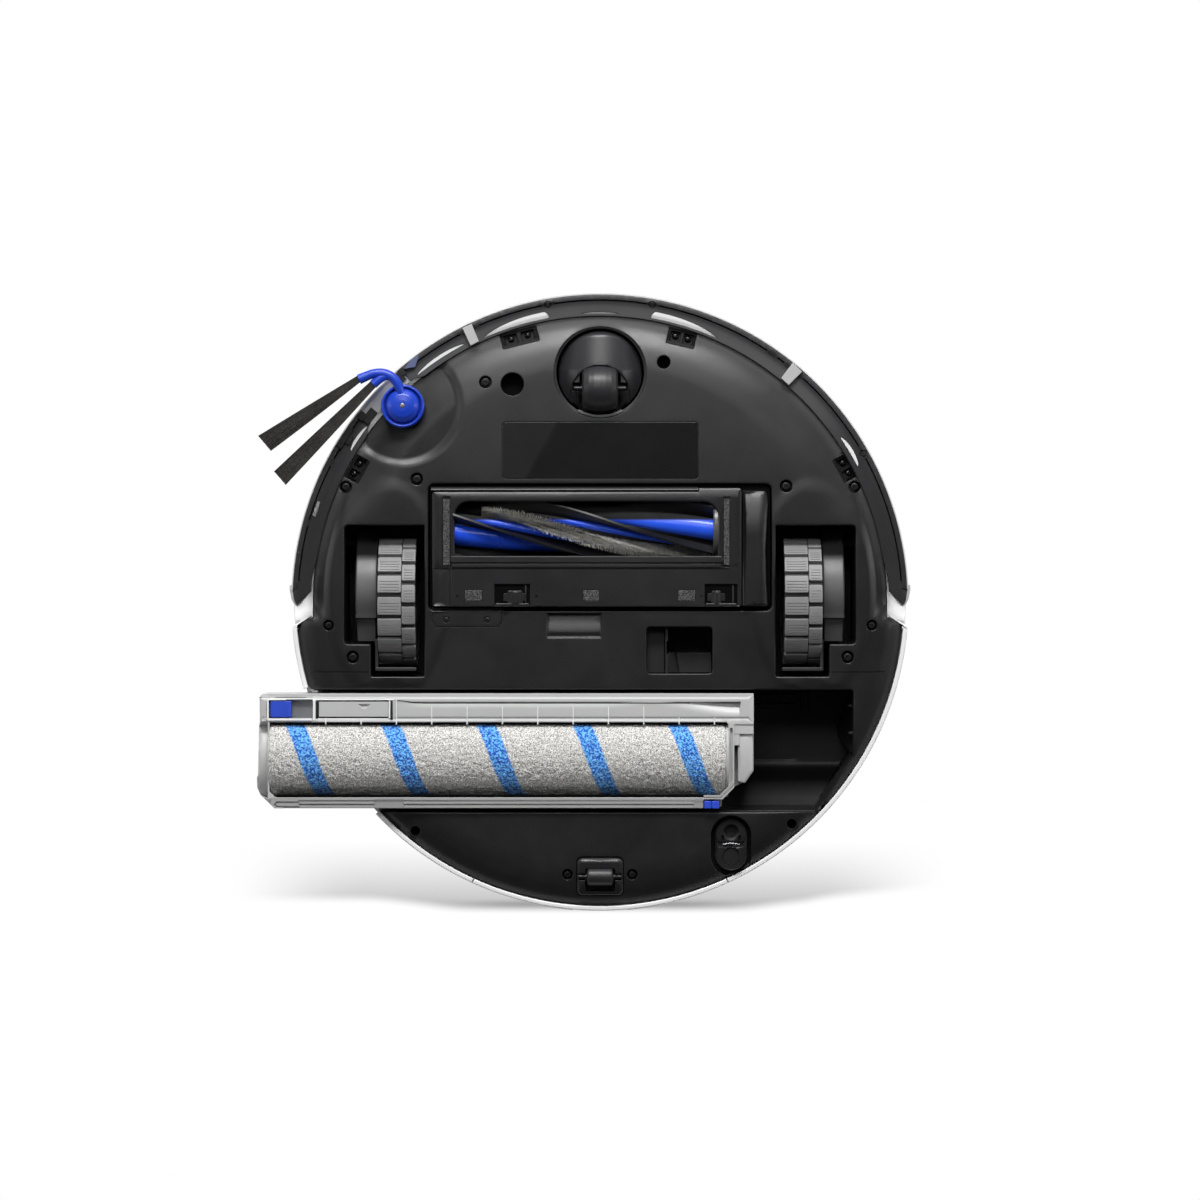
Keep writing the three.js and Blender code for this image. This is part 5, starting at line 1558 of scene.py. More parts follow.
# cover: its front edge slopes, the opening has large front corners
CO = fillet([(-93.9, 2.7), (-93.9, -61.8), (55.1, -61.8), (55.1, -63.9), (79.2, -63.9), (79.2, 2.7)], [1.4, 1.6, 0.5, 0.5, 1.6, 1.4], 4)


def cover_z(x, y):
    front = max(0.0, (-57.5 - y) / 6.4) ** 2.0
    side = max(0.0, (-88.0 - x) / 6.0) ** 2.0 * 0.7
    rear = float(smooth(-22.5, -19.5, y))
    return 7.6 + 1.25 * front + side + 0.45 * rear


OPEN = fillet([(-81.3, -25.9), (-81.3, -56.1), (65.9, -56.1), (65.9, -25.9)], [1.0, 8.0, 8.0, 1.0], 9)
km = MB()
hs = [sunk(km, OPEN, rin(0.9, 4) + [(0, 10.3, 1)], cover_z, floor=False)]
# channels of the two felt strips
FS = [rrect(*U(442.9, 0)[:1], *U(450.2, 0)[:1], -59.0, -20.2, 0.4, 3), rrect(U(723.2, 0)[0], U(729.7, 0)[0], -59.0, -19.6, 0.4, 3)]
for f in FS:
    hs.append(sunk(km, f, rin(0.2, 2) + [(0, 1.0)], cover_z))
# latch recesses
LR = [(494.3, 530.4, 584.2, 605.6), (704.3, 737.6, 584.2, 605.6)]
for a, b, c, d in LR:
    (xa, ya), (xb, yb) = U(a, c), U(b, d)
    hs.append(sunk(km, rrect(xa, xb, ya, yb, 0.7, 4), rin(0.35, 3) + [(0, 9.35, 1)], cover_z))
# felt patches' seats
for a, b in ((464.8, 482.5), (582.8, 599.3), (677.7, 695.4)):
    (xa, ya), (xb, yb) = U(a, 589.8), U(b, 601.2)
    hs.append(sunk(km, rrect(xa, xb, ya, yb, 0.4, 3), rin(0.15, 2) + [(0, 0.45)], cover_z))
# fine lines of the moulding: left of the lower panel, and under the lip
for x0_, x1_, y0_, y1_ in ((-84.0, -83.55, -21.8, 2.0), (-83.0, 72.6, -18.7, -18.25), (-93.0, -84.6, -18.7, -18.25)):
    hs.append(sunk(km, [(x0_, y0_), (x1_, y0_), (x1_, y1_), (x0_, y1_)], [(0.08, 0), (0, 0.1), (-0.04, 0.5)], cover_z))
for u, v in ((536.5, 596.5), (701.5, 596.5), (457.5, 596.5)):
    x, y = U(u, v)
    hs.append(sunk(km, circle(x, y, 0.65, 12), [(0.1, 0), (0, 0.1), (0, 1.0)], cover_z))
b0 = offset(CO, -0.5)
ex = [(x, y) for y in (-63.2, -62.4, -61.2, -60.2, -59.2, -58.2, -57.2) for x in np.arange(-91, 78, 4)] + [(x, y) for y in (-22.6, -21.6, -20.8, -20.1, -19.4) for x in np.arange(-91, 78, 4)]
ex += [(x, y) for x in (-92.8, -91.6, -90.4, -89.2, -88, -87) for y in np.arange(-60, 2, 4)]
fill(km, b0, hs, cover_z, ex)
prev = km.verts([(x, y, cover_z(x, y)) for x, y in b0])
for off, dz in ((-0.15, 0.14), (0, 0.5), (0, None)):
    lp_ = offset(CO, off)
    idx = km.verts([(x, y, 10.35 if dz is None else cover_z(x, y) + dz) for x, y in lp_])
    km.strip(prev, idx)
    prev = idx
piece(km, "head_cover", M["chassis2"], "cover", ["brush_cover"], angle=40, thick=0.7, down=True)
# squeegee lip across the rear of the opening
qm = MB()
block(qm, -83.6, 68.6, -25.7, -21.9, 6.6, 9.9, 0.55, 0.9, 4)
block(qm, -83.0, 68.0, -21.5, -19.3, 7.3, 9.9, 0.4, 0.6, 3)
piece(qm, "head_lip", plastic("lip_rubber", "#1b1b1c", 0.42, 0.12, 1200, 0.08), "cover", ())
# felt
fm_ = MB()
for f in FS:
    x0_, x1_ = min(p[0] for p in f) + 0.2, max(p[0] for p in f) - 0.2
    block(fm_, x0_, x1_, -57.6, -20.6, 7.35, 8.8, 0.35, 0.5)
for a, b in ((464.8, 482.5), (582.8, 599.3), (677.7, 695.4)):
    (xa, ya), (xb, yb) = U(a, 589.8), U(b, 601.2)
    block(fm_, xa + 0.2, xb - 0.2, ya + 0.2, yb - 0.2, 7.75, 8.9, 0.3, 0.5)
piece(fm_, "head_felt", speckle_mat("felt_speckled", "#232323", "#646463", 2100, 0.95), "cover", ())
# painted shade: near-black liners in the latch recesses, where shade falls, each recess with a bright rear rail
li = MB()
for a, b, c, d in LR:
    (xa, ya), (xb, yb) = U(a, c), U(b, d)
    block(li, xa + 0.25, xb - 0.25, ya + 0.25, yb - 0.25, 9.15, 9.6, 0.1)
piece(li, "latch_recess_shade_liners", M["pit"], "cover", ())
lr_ = MB()
for a, b, c, d in LR:
    (xa, ya), (xb, yb) = U(a, c), U(b, d)
    block(lr_, xa + 0.6, xb - 0.6, yb - 1.35, yb - 0.2, 7.75, 9.6, 0.55)
    block(lr_, xb - 3.0, xb - 2.2, ya + 0.5, yb - 1.6, 8.7, 9.6, 0.2)
piece(lr_, "latch_recess_rails", M["trim"], "cover", ())
# latches: a ribbed tab between two side walls
for side, (a, b, c, d), (ta, tb), node in (("left", LR[0], (507.3, 522.6), "cover_latch_left"), ("right", LR[1], (711.4, 720.9), "cover_latch_right")):
    lm = MB()
    (xa, ya), (xb, yb) = U(a, c), U(b, d)
    x0_, x1_ = U(ta, c)[0], U(tb, c)[0]
    block(lm, x0_, x1_, -6.4, 1.5, 7.85, 9.2, 0.45, 1.1, 4)
    # the finger bar: a half-round rib across the tab's middle
    xm, rr_ = 0.5 * (x0_ + x1_) + 0.4, 0.5 * (x1_ - x0_) - 0.9
    prev = None
    for yy, q in ((-6.0, 0.7), (-5.7, 0.93), (-5.2, 1.0), (0.6, 1.0), (1.0, 0.93), (1.2, 0.7)):
        idx = lm.verts([(xm + rr_ * q * math.cos(math.pi * i / 12), yy, 8.6 - 1.25 * q * math.sin(math.pi * i / 12)) for i in range(13)])
        if prev:
            lm.strip(prev, idx)
        else:
            lm.cap(idx)
        prev = idx
    lm.cap(prev, True)
    block(lm, x0_ - 2.2, x0_ + 0.4, -4.8, -0.4, 8.5, 9.2, 0.25, 0.5, 2)
    block(lm, x1_ - 0.4, x1_ + 2.2, -4.8, -0.4, 8.5, 9.2, 0.25, 0.5, 2)
    piece(lm, "head_latch_" + side, M["chassis2"], "latch_" + side, [node])

# rotor
BY, BZ, BX0, BX1 = -41.0, 21.8, -79.0, 63.6


def tw(x):
    """Where the bristle row stands at x: radians from straight down, towards the rear."""
    return math.radians(-45 + (x - U(483.8, 0)[0]) * 1.12)


def brush_pt(x, r, a):
    t = tw(x) + a
    return (x, BY + r * math.sin(t), BZ - r * math.cos(t))


D = math.radians
FX0 = -82.2  # the fins run on to the left edge of the opening
xs = np.linspace(FX0, BX1, 104)
rm = MB()
lathe(rm, fil_prof([(0, FX0 - 0.6), (5, FX0 - 0.6), (5, FX0), (9.8, FX0), (9.8, BX1), (5, BX1), (0, BX1)], 0.3, 2), 72, to=axis_x(BY, BZ))
piece(rm, "brush_core", M["film"], "main_brush", (), angle=50)


def lobe(mb, a0, a1, peak, lean=0.5):
    """A rounded fin wound round the core from angle a0 to a1 beside the bristle row."""
    k = 14
    prev = None
    for x in xs:
        o_ = []
        for j in range(k + 1):
            t = j / k
            r = 9.4 + (peak - 9.4) * max(0.0, math.sin(math.pi * t ** (0.8 if lean < 0.5 else 1.0))) ** 0.55
            o_.append(brush_pt(x, r, D(a0 + (a1 - a0) * t)))
        i_ = [brush_pt(x, 9.2, D(a0 + (a1 - a0) * j / 4)) for j in (4, 3, 2, 1, 0)]
        idx = mb.verts(o_ + i_)
        if prev:
            mb.strip(prev, idx)
        else:
            mb.cap(idx)
        prev = idx
    mb.cap(prev, True)


fb_ = MB()
for base in (0, 180):
    lobe(fb_, base - 43, base - 19, 12.0)
    lobe(fb_, base + 5, base + 35, 12.4)
    lobe(fb_, base + 45, base + 124, 13.2)
# the fins' material paints the cover lip's shadow black over their front sides
piece(fb_, "brush_fins", fin_painted_shadow_mat("fin_blue_rubber", -0.0462, -0.0318), "main_brush", ["main_brush_rotor"], angle=60)
em_ = MB()
lathe(em_, fil_prof([(0, 63.4), (16.2, 63.4), (16.8, 64.2), (16.8, 66.0), (15.6, 66.8), (0, 66.8)], 0.6, 3), 64, to=axis_x(BY, BZ))
piece(em_, "brush_end_caps", plastic("cap_grey_black", "#4a4a4b", 0.3, 0.1, 900, 0.08), "main_brush", ())
bm_ = MB()
for base in (0, 180):
    for tip, rt in ((-48, -44), (38, 40)):
        prev = None
        for x in xs:
            o, i_ = [], []
            k = 9
            for j in range(k + 1):
                t = j / k
                a = D(base + rt + (tip - rt) * t ** 1.25)
                r = 9.4 + (18.15 - 9.4) * t
                wv = 0.25 * math.sin(x * 0.21 + tip) * t
                th = 0.075 * (1 - 0.55 * t)
                o.append(brush_pt(x, r + wv * 0, a - th))
                i_.append(brush_pt(x, r, a + th))
            loop = o + i_[::-1]
            idx = bm_.verts(loop)
            if prev:
                bm_.strip(prev, idx)
            else:
                bm_.cap(idx)
            prev = idx
        bm_.cap(prev, True)
piece(bm_, "brush_films", M["film"], "main_brush", (), angle=45)


def strand(mb, p0, p1, p2, r0, r1, seg=3, n=3):
    """A tapered fibre on the curve p0, p1, p2."""
    pts, rad = [], []
    for i in range(seg + 1):
        t = i / seg
        pts.append([p0[k] * (1 - t) ** 2 + 2 * p1[k] * t * (1 - t) + p2[k] * t * t for k in range(3)])
        rad.append(r0 + (r1 - r0) * t)
    d = np.array(pts[-1]) - np.array(pts[0])
    d /= np.linalg.norm(d)
    u = np.cross(d, [0.3, 0.5, 0.81]); u /= np.linalg.norm(u)
    w = np.cross(d, u)
    prev = None
    for p, r in zip(pts, rad):
        idx = mb.verts([np.array(p) + r * (u * math.cos(TAU * k / n) + w * math.sin(TAU * k / n)) for k in range(n)])
        if prev:
            mb.strip(prev, idx)
        else:
            mb.cap(idx, True)
        prev = idx
    mb.cap(prev)


gm = MB()
RX0 = U(481.5, 0)[0]
for base in (0, 180):
    for k in range(4):
        for x in np.arange(RX0, BX1 - 1.5, 0.18):
            xx = x + rng.normal(0, 0.12)
            wd = 0.35 + 0.65 * float(smooth(RX0, RX0 + 34, xx))
            a0 = D(base + (k - 1.5) * 3.4 * wd + rng.normal(0, 1.2))
            a1 = D(base + (k - 1.5) * 8.0 * wd + rng.normal(0, 1.9))
            rt = 17.9 - abs(rng.normal(0, 0.3)) - 1.3 * (1 - float(smooth(RX0, RX0 + 12, xx)))
            dx = rng.normal(0.9, 0.5)
            strand(gm, brush_pt(xx, 9.6, a0), brush_pt(xx + dx * 0.3, 14.2, a0 * 0.6 + a1 * 0.4), brush_pt(xx + dx, rt, a1), 0.15, 0.11, 3, 3)
piece(gm, "brush_bristles", M["softbristle"], "main_brush", ["main_brush_bristles"], angle=80, wn=False, weld=0, recalc=False)

# ---------------------------------------------------------------- caster
CX, CY = 0.1, -128.9
WY, WZ = -119.7, 13.0
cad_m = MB()


def dome_z(x, y):
    dx, dy = x - CX, y - CY
    d = math.hypot(dx, dy)
    # a slanted saddle that curves about the robot's middle line, falling away at the rear
    z = 7.75 + 0.26 * max(0.0, -dy - 1.0) + dx * dx / 46.0 + max(0.0, dy) ** 2 / 60.0
    return max(z, float(np.interp(d, [0, 19.0, 20.6, 21.8, 22.8, 23.4], [0, 7.0, 12.2, 14.4, 16.4, 18.4])))


rim = circle(CX, CY, 23.4, 110)
def slot_union():
    s = [(11.5, -105.3), (11.5, -118.3), (15.3, -118.3), (15.3, -122.8), (11.5, -122.8), (11.5, -127.2), (8.6, -130.6), (3.6, -132.4), (-3.4, -132.4), (-8.4, -130.6), (-11.3, -127.2), (-11.3, -122.8), (-15.1, -122.8), (-15.1, -118.3), (-11.3, -118.3), (-11.3, -105.3)]
    return fillet(ccw(s), [0.4, 0.3, 0.4, 0.4, 0.3, 1.5, 3, 3, 3, 3, 1.5, 0.3, 0.4, 0.4, 0.3, 0.4], 4)


SU = slot_union()


def face_z(x, y):
    """The dome, cut back round the wheel by a low cylinder about the axle."""
    z = dome_z(x, y)
    rr = math.hypot((x - CX) / 16.6, (y + 116.5) / 15.9)
    if y > -134 and rr < 1.12:
        z += 1.15 * (1 - float(smooth(0.97, 1.02, rr)))
    return z


ex = [(CX + d * math.cos(TAU * i / 90 + d), CY + d * math.sin(TAU * i / 90 + d)) for d in (3, 6, 8, 10, 12, 14, 16, 18, 19.3, 20.4, 21.3, 22.0, 22.6, 23.0) for i in range(90)]
ex += [(CX + 16.6 * q * math.cos(TAU * i / 150), -116.5 + 15.9 * q * math.sin(TAU * i / 150)) for q in (0.95, 0.975, 0.995, 1.015, 1.03) for i in range(150)]
ex = [p for p in ex if math.hypot(p[0] - CX, p[1] - CY) < 23.1]
hs = [sunk(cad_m, SU, rin(0.45, 3) + [(0, 26.5, 1)], face_z)]
fill(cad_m, rim, hs, face_z, ex)
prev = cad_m.verts([(x, y, face_z(x, y)) for x, y in rim])
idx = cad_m.verts([(x, y, 29.8) for x, y in circle(CX, CY, 23.9, 110)])
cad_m.strip(prev, idx)
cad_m.cap(idx)
piece(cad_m, "caster_dome", M["dome"], "caster", ["caster_fork"], angle=42)
cwm = MB()
lathe(cwm, fil_prof([(0, -10), (9.0, -10), (11.0, -9.0), (12.1, -6.4), (12.75, -3.2), (13.0, 0), (12.75, 3.2), (12.1, 6.4), (11.0, 9.0), (9.0, 10), (0, 10)], 1.0, 4), 96, to=axis_x(WY, WZ))
piece(cwm, "caster_roller_wheel", M["roller"], "caster_roller", ["caster_wheel"], angle=40)
cam_ = MB()
lathe(cam_, fil_prof([(0, -14.6), (1.45, -14.6), (1.45, 14.6), (0, 14.6)], 0.3, 2), 24, to=axis_x(WY, WZ))
piece(cam_, "caster_pin", M["darksteel"], "caster", ["caster_axle"])
# a pale crescent ledge at the rear of the well
lg = MB()
n = 26
out = [(CX + 25.6 * math.cos(D(90 - 30 + 60 * i / n)), CY + 25.6 * math.sin(D(90 - 30 + 60 * i / n))) for i in range(n + 1)]
inn = [(CX + 24.0 * math.cos(D(90 + 30 - 60 * i / n)), CY + 24.0 * math.sin(D(90 + 30 - 60 * i / n))) for i in range(n + 1)]
slab(lg, ccw(out + inn), 13.4, 20, 0.35, 0.2, 3)
piece(lg, "caster_well_ledge", plastic("ledge_plastic", "#6e6e6f", 0.34, 0.15, 1200, 0.06), "chassis", ())

# ---------------------------------------------------------------- drive wheels
WR = 36.0
for side, s in (("left", -1), ("right", 1)):
    c = s * 113.75
    x0_, x1_ = c - 10.5, c + 10.5
    tm_ = MB()
    RB = 34.15

    def wrap(p, RB=RB):
        r = RB - p[2]
        a = p[1] / WR
        return (p[0], r * math.sin(a), WR - r * math.cos(a))

    pitch = TAU * WR / 18
    for row, (xa, xb, ph, nr) in enumerate(((x0_ + 0.05, x0_ + 13.2, 0.18, 4), (x0_ + 13.5, x1_ - 0.05, 0.62, 4))):
        for i in range(18):
            sc = (i + ph) * pitch
            lug = MB()
            L = pitch * 0.80 / 2
            loop = densify(rrect(xa, xb, sc - L, sc + L, 0.7, 3), 1.6)
            H = -(36.0 - RB)
            hh = flat(H)
            gs = []
            for j in range(nr):
                yy = sc - L * 0.10 + (j - 0.5) * L * 0.34
                if abs(yy - sc) < L - 0.9:
                    g_ = densify([(xa + 1.1, yy - 0.16), (xb - 1.1, yy - 0.16), (xb - 1.1, yy + 0.16), (xa + 1.1, yy + 0.16)], 3.0)
                    gs.append(sunk(lug, g_, [(0.09, 0), (0, 0.07), (-0.03, 0.34)], hh))
            top = offset(ccw(loop), -0.35)
            fill(lug, top, gs, hh, [(xq, yq) for xq in np.arange(xa + 1, xb - 0.8, 3.2) for yq in np.arange(sc - L + 1, sc + L - 0.8, 1.4)])
            prev = lug.verts([(x, y, H) for x, y in top])
            for off, dz in ((-0.1, 0.1), (0, 0.35), (0.12, -H + 0.15)):
                idx = lug.verts([(x, y, H + dz) for x, y in offset(ccw(loop), off)])
                lug.strip(prev, idx)
                prev = idx
            lug.cap(prev)
            lug.mat = 0
            tm_.add(lug, wrap)
    # the base between the lugs takes a darker copy of the tread rubber: painted shade in the gaps
    mats_ = [M["tread"], M["treadlow"]]
    tm_.mat = 1
    lathe(tm_, fil_prof([(30, x0_), (33.6, x0_), (34.15, x0_ + 0.6), (34.15, x1_ - 0.6), (33.6, x1_), (30, x1_)], 0.3, 2), 120, to=axis_x(0, WR))
    piece(tm_, "tyre_tread_" + side, mats_, "wheel_" + side, ["tyre_" + side], angle=38, weld=0.001)
    hb = MB()
    inner_face = x1_ if s < 0 else x0_
    sg = 1 if s < 0 else -1
    rim_prof = fil_prof([(26.2, inner_face - sg * 1.2), (29.4, inner_face - sg * 1.2), (29.4, inner_face - sg * 19.8), (26.2, inner_face - sg * 19.8)], 0, 1)
    lathe(hb, rim_prof, 72, to=axis_x(0, WR))
    lathe(hb, fil_prof([(5.0, inner_face - sg * 3.4), (8.6, inner_face - sg * 3.4), (9.4, inner_face - sg * 6.0), (26.6, inner_face - sg * 7.5), (26.6, inner_face - sg * 10.5), (5.0, inner_face - sg * 10.5)], 0.3, 2), 72, to=axis_x(0, WR))
    for i in range(9):
        a = TAU * i / 9
        rib = MB()
        xa, xb = sorted((inner_face - sg * 3.6, inner_face - sg * 9.0))
        block(rib, 8.6, 26.8, -0.9, 0.9, xa, xb, 0.3)
        hb.add(rib, lambda p, a=a: (p[2], p[0] * math.cos(a) - p[1] * math.sin(a), WR + p[0] * math.sin(a) + p[1] * math.cos(a)))
    piece(hb, "wheel_rim_" + side, M["hub"], "wheel_" + side, ["wheel_hub_" + side])
    # gearbox arm
    am = MB()
    gx0, gx1 = (-137.3, -125.1) if s < 0 else (125.1, 137.3)
    arm = [(20 * math.cos(D(t)), WR + 20 * math.sin(D(t))) for t in range(-60, 91, 10)]
    arm += [(-34 + 8 * math.cos(D(t)), 46 + 8 * math.sin(D(t))) for t in range(90, 215, 12)]
    arm += [(-36.5, 36.5), (-30.5, 28.0), (-22.0, 21.5), (-12.5, 17.3), (-3.0, 16.1), (3.0, 16.6), (8.4, 18.4)]
    slab_dir(am, ccw(arm), gx0, gx1, along_x, 1.1, 4)
    # rear block under the ledge, seams and a bolt head on the side
    slab_dir(am, ccw([(8.0, 17.4), (22.0, 21.5), (22.0, 33.0), (8.0, 33.0)]), gx0 + 0.8, gx1 - 0.8, along_x, 0.7, 3)
    slab_dir(am, ccw([(6.9, 15.4), (8.9, 15.7), (8.9, 20), (6.9, 20)]), gx0 + 0.2, gx1 - 0.2, along_x, 0.3, 2)
    lathe(am, fil_prof([(0, s * 124.8), (2.4, s * 124.8), (2.4, s * 144.2), (0, s * 144.2)], 0.2, 2), 24, to=axis_x(-34, 46))
    xh0, xh1 = (c + 9.3, -125.5) if s < 0 else (c - 9.3, 125.5)
    lathe(am, fil_prof([(0, xh0), (3.9, xh0), (3.9, xh1), (0, xh1)], 0.2, 2), 24, to=axis_x(0, WR))
    piece(am, "gear_arm_" + side, plastic("gearbox_grey_black_" + side, "#4b4b4c", 0.42, 0.25, 1300, 0.08), "arm_" + side, ["drive_arm_" + side], angle=40)
    sp_ = MB()
    pts = [(s * 131.1 + 4.6 * math.cos(t), -10 + 4.6 * math.sin(t), 56.2 + 15.4 * t / (4 * TAU)) for t in np.linspace(0, 4 * TAU, 97)]
    tube(sp_, pts, 0.62, 8)
    piece(sp_, "spring_" + side, M["steel"], "arm_" + side, ["suspension_spring_" + side], angle=60)
    # bracket at the rear of the well
    br = MB()
    bx0, bx1 = U(374.8, 0)[0], U(416.3, 0)[0]
    if s > 0:
        bx0, bx1 = U(782.0, 0)[0], U(823.6, 0)[0]
    block(br, bx0, bx1, 36.6, 38.8, 13.0, 24, 0.5)
    vx = bx0 if s < 0 else bx1 - 1.8
    block(br, vx, vx + 1.8, 20.6, 37.0, 13.4, 20, 0.5)
    piece(br, "well_bracket_" + side, M["trim"], "chassis", ())

# ---------------------------------------------------------------- side brush
sbx, sby = U(402.6, 405.9, 8)
hub = MB()
hp = fil_prof([(0, 4.45), (3.2, 4.6), (6.4, 5.35), (8.6, 6.9), (9.55, 8.6), (9.7, 10.2), (10.35, 10.2), (10.5, 8.1), (11.2, 7.5), (11.95, 8.0), (12.15, 9.4), (12.15, 12.6), (0, 12.6)], [0, 3, 3, 2.5, 1.5, 0.2, 0.2, 0.3, 0.5, 0.5, 0.8, 0.2, 0], 5)
lathe(hub, hp, 96, cx=sbx, cy=sby)
lathe(hub, [(0, 12.2), (3, 12.2), (3, 16.9), (0, 16.9)], 24, cx=sbx, cy=sby)


def path3(pts, z):
    return [(*U(u, v, 8), zz) for (u, v), zz in zip(pts, z)]


arm_ = curve_pts(path3([(401.3, 396.5), (399.6, 388.5), (395.6, 380.6), (389.2, 375.4), (381.5, 373.2), (372.5, 374.0), (365.6, 376.6), (359.0, 379.4)], [7.6, 7.35, 7.3, 7.3, 7.3, 7.3, 7.3, 7.3]), 7)
sec = [(1.0 * math.cos(TAU * k / 20), 0.9 * math.sin(TAU * k / 20)) for k in range(20)]
k = len(arm_)
tube(hub, arm_, [2.30 + 0.35 * float(smooth(0, 0.25, i / k)) + 0.25 * float(smooth(0.75, 1, i / k)) for i in range(k)], 20, True, sec)
arm2 = curve_pts(path3([(392.0, 377.0), (386.0, 376.2), (380.4, 378.6), (373.2, 384.4)], [7.3, 7.3, 7.3, 7.3]), 7)
k = len(arm2)
tube(hub, arm2, [2.2 + 0.45 * i / k for i in range(k)], 20, True, sec)
piece(hub, "side_brush_boss", M["blue"], "side_brush", ["side_brush_hub"], angle=50, weld=0.0005)
ps = MB()
lathe(ps, fil_prof([(0, 4.35), (1.25, 4.45), (1.75, 4.9), (1.75, 5.6), (0, 5.6)], 0.25, 3), 32, cx=sbx, cy=sby)
piece(ps, "side_brush_pin", plastic("pin_brass_grey", "#a7a293", 0.35, 0.1, 900, 0.1, metal=1.0), "side_brush", ())


def tuft_piece(name, node, r0, r1, t0, t1, n, seed):
    g = np.random.default_rng(seed)
    mb = MB()
    r0, r1, t0, t1 = [np.array(U(*p, 4)) for p in (r0, r1, t0, t1)]
    along = (t0 + t1) / 2 - (r0 + r1) / 2
    along /= np.linalg.norm(along)
    for i in range(n):
        w = (i + 0.5) / n + g.normal(0, 0.01)
        w = min(0.99, max(0.01, w))
        lay = g.uniform(-1, 1)
        p0 = r0 * (1 - w) + r1 * w - along * 2.2
        ln = -abs(g.normal(0, 0.35))
        p2 = t0 * (1 - w) + t1 * w + along * ln
        mid = p0 * 0.45 + p2 * 0.55 + g.normal(0, 0.25, 2)
        z0_ = 6.7 + lay * 0.85
        z2_ = 1.55 + lay * 0.45
        strand(mb, (*p0, z0_), (*mid, (z0_ + z2_) / 2 + 0.5 + lay * 0.3), (*p2, z2_), 0.21, 0.27, 5, 4)
    piece(mb, name, M["bristle"], "side_brush", [node], angle=80, wn=False, weld=0, recalc=False)


tuft_piece("side_tuft_front", "side_brush_tuft_a", (354.9, 377.3), (358.6, 382.6), (258.4, 436.1), (271, 451), 230, 3)
tuft_piece("side_tuft_rear", "side_brush_tuft_b", (368.4, 383.4), (374.4, 387.8), (274.4, 471.7), (285.9, 485), 230, 5)


# ---------------------------------------------------------------- roller mop
def ux(u):
    return U(u, 0, 7)[0]


def vy(v):
    return U(0, v, 7)[1]


def uv(pts):
    return [(ux(u), vy(v)) for u, v in pts]


ZF = 6.3


def bump_line(y, c, w):
    return math.exp(-((y - c) / w) ** 2)


def frame_z(x, y):
    z = ZF
    # outer strip and the groove under it
    z += 0.9 * (1 - float(smooth(vy(697.2), vy(698.4), y)))
    z += 0.45 * bump_line(y, vy(698.2), 0.28)
    if y < vy(720):
        # long channel, deepest at its two ends
        u = x / 0.56 + 600
        dep = 0.55 * float(smooth(398, 430, u)) * (1 - float(smooth(600, 650, u))) + 3.4 * float(smooth(655, 742, u)) ** 1.1
        dep *= 1 - float(smooth(739.2, 740.4, u))
        if dep > 0:
            lower = vy(703.0 + 3.0 + 9.5 * dep / 3.4)
            z += dep * float(smooth(vy(701.6), vy(702.5), y)) * (1 - float(smooth(vy(703.0), lower, y)))
        z += 0.5 * float(smooth(vy(716.6), vy(718.2), y))
    if x < -186.0 and y > 66.5:
        # cap of the end plate, round about the roller's own line
        q = min(abs(y - 88.5), 22.8)
        z += 0.9 * (24.6 - math.sqrt(24.6 ** 2 - q * q)) * float(smooth(66.4, 70.0, y))
        z += 0.9 * float(smooth(-188.6, -192.6, x))
    if y > 111.0:
        z += 2.4
    return z


FO = ccw(uv([(265.4, 693.5), (753.8, 693.5), (753.8, 724.6), (734.3, 724.6), (734.3, 787.6), (722.6, 799.4), (703.3, 799.4), (703.3, 808.4), (275.6, 808.4), (271.3, 805.8), (259.2, 795.2),
               (256.6, 788), (256.6, 777.4), (257.8, 775), (258.5, 750), (258.0, 726.6), (259.6, 722.6), (259.6, 697.2)]))
FO = fillet(FO, [1.2 if len(FO) else 0] + [0.5] * (len(FO) - 1), 3)
fm = MB()
hs = []
mouth = ccw(uv([(269.6, 722.2), (726.4, 722.2), (728.4, 724.4), (728.4, 786.4), (720.2, 797.4), (275.0, 797.4), (269.6, 792.0)]))
mouth = fillet(mouth, 0.5, 3)
hs.append(sunk(fm, mouth, rin(0.25, 2) + [(0, 17.6, 1)], frame_z, floor=False))
keyhole = rrect(ux(268.7), ux(313.0), vy(699.8), vy(718.8), 1.0, 4)
hs.append(sunk(fm, keyhole, rin(0.3, 3) + [(0, 14.6, 1)], frame_z))
seat = rrect(ux(316.8), ux(390.2), vy(700.2), vy(718.2), 0.5, 3)
hs.append(sunk(fm, seat, rin(0.12, 2) + [(0, 8.6, 1)], frame_z))
# the narrow trough in the right end plate
tr_ = ccw(uv([(730.0, 728.0), (732.6, 728.0), (732.6, 786.4), (730.0, 788.6)]))
hs.append(sunk(fm, tr_, rin(0.12, 2) + [(0, 1.9)], frame_z))
ys = [vy(v) for v in (694.6, 695.8, 696.8, 697.5, 697.9, 698.2, 698.5, 698.9, 699.3, 701.2, 701.7, 702.1, 702.5, 703.0, 704.0, 705.4, 707, 709, 711.5, 714, 716.2, 717.0, 717.8, 718.4, 719.4, 720.6)]
ex = [(x, y) for y in ys for x in np.concatenate([np.arange(-189, 84, 4.0), [ux(739.0), ux(739.6), ux(740.2), ux(740.8)]])]
ex += [(x, y) for x in (-191.6, -190.6, -189.6, -188.6, -187.6, -186.6, -186.1, -185.7) for y in np.arange(66.6, 112.0, 1.0)]
fill(fm, offset(FO, -0.35), hs, frame_z, ex)
prev = fm.verts([(x, y, frame_z(x, y)) for x, y in offset(FO, -0.35)])
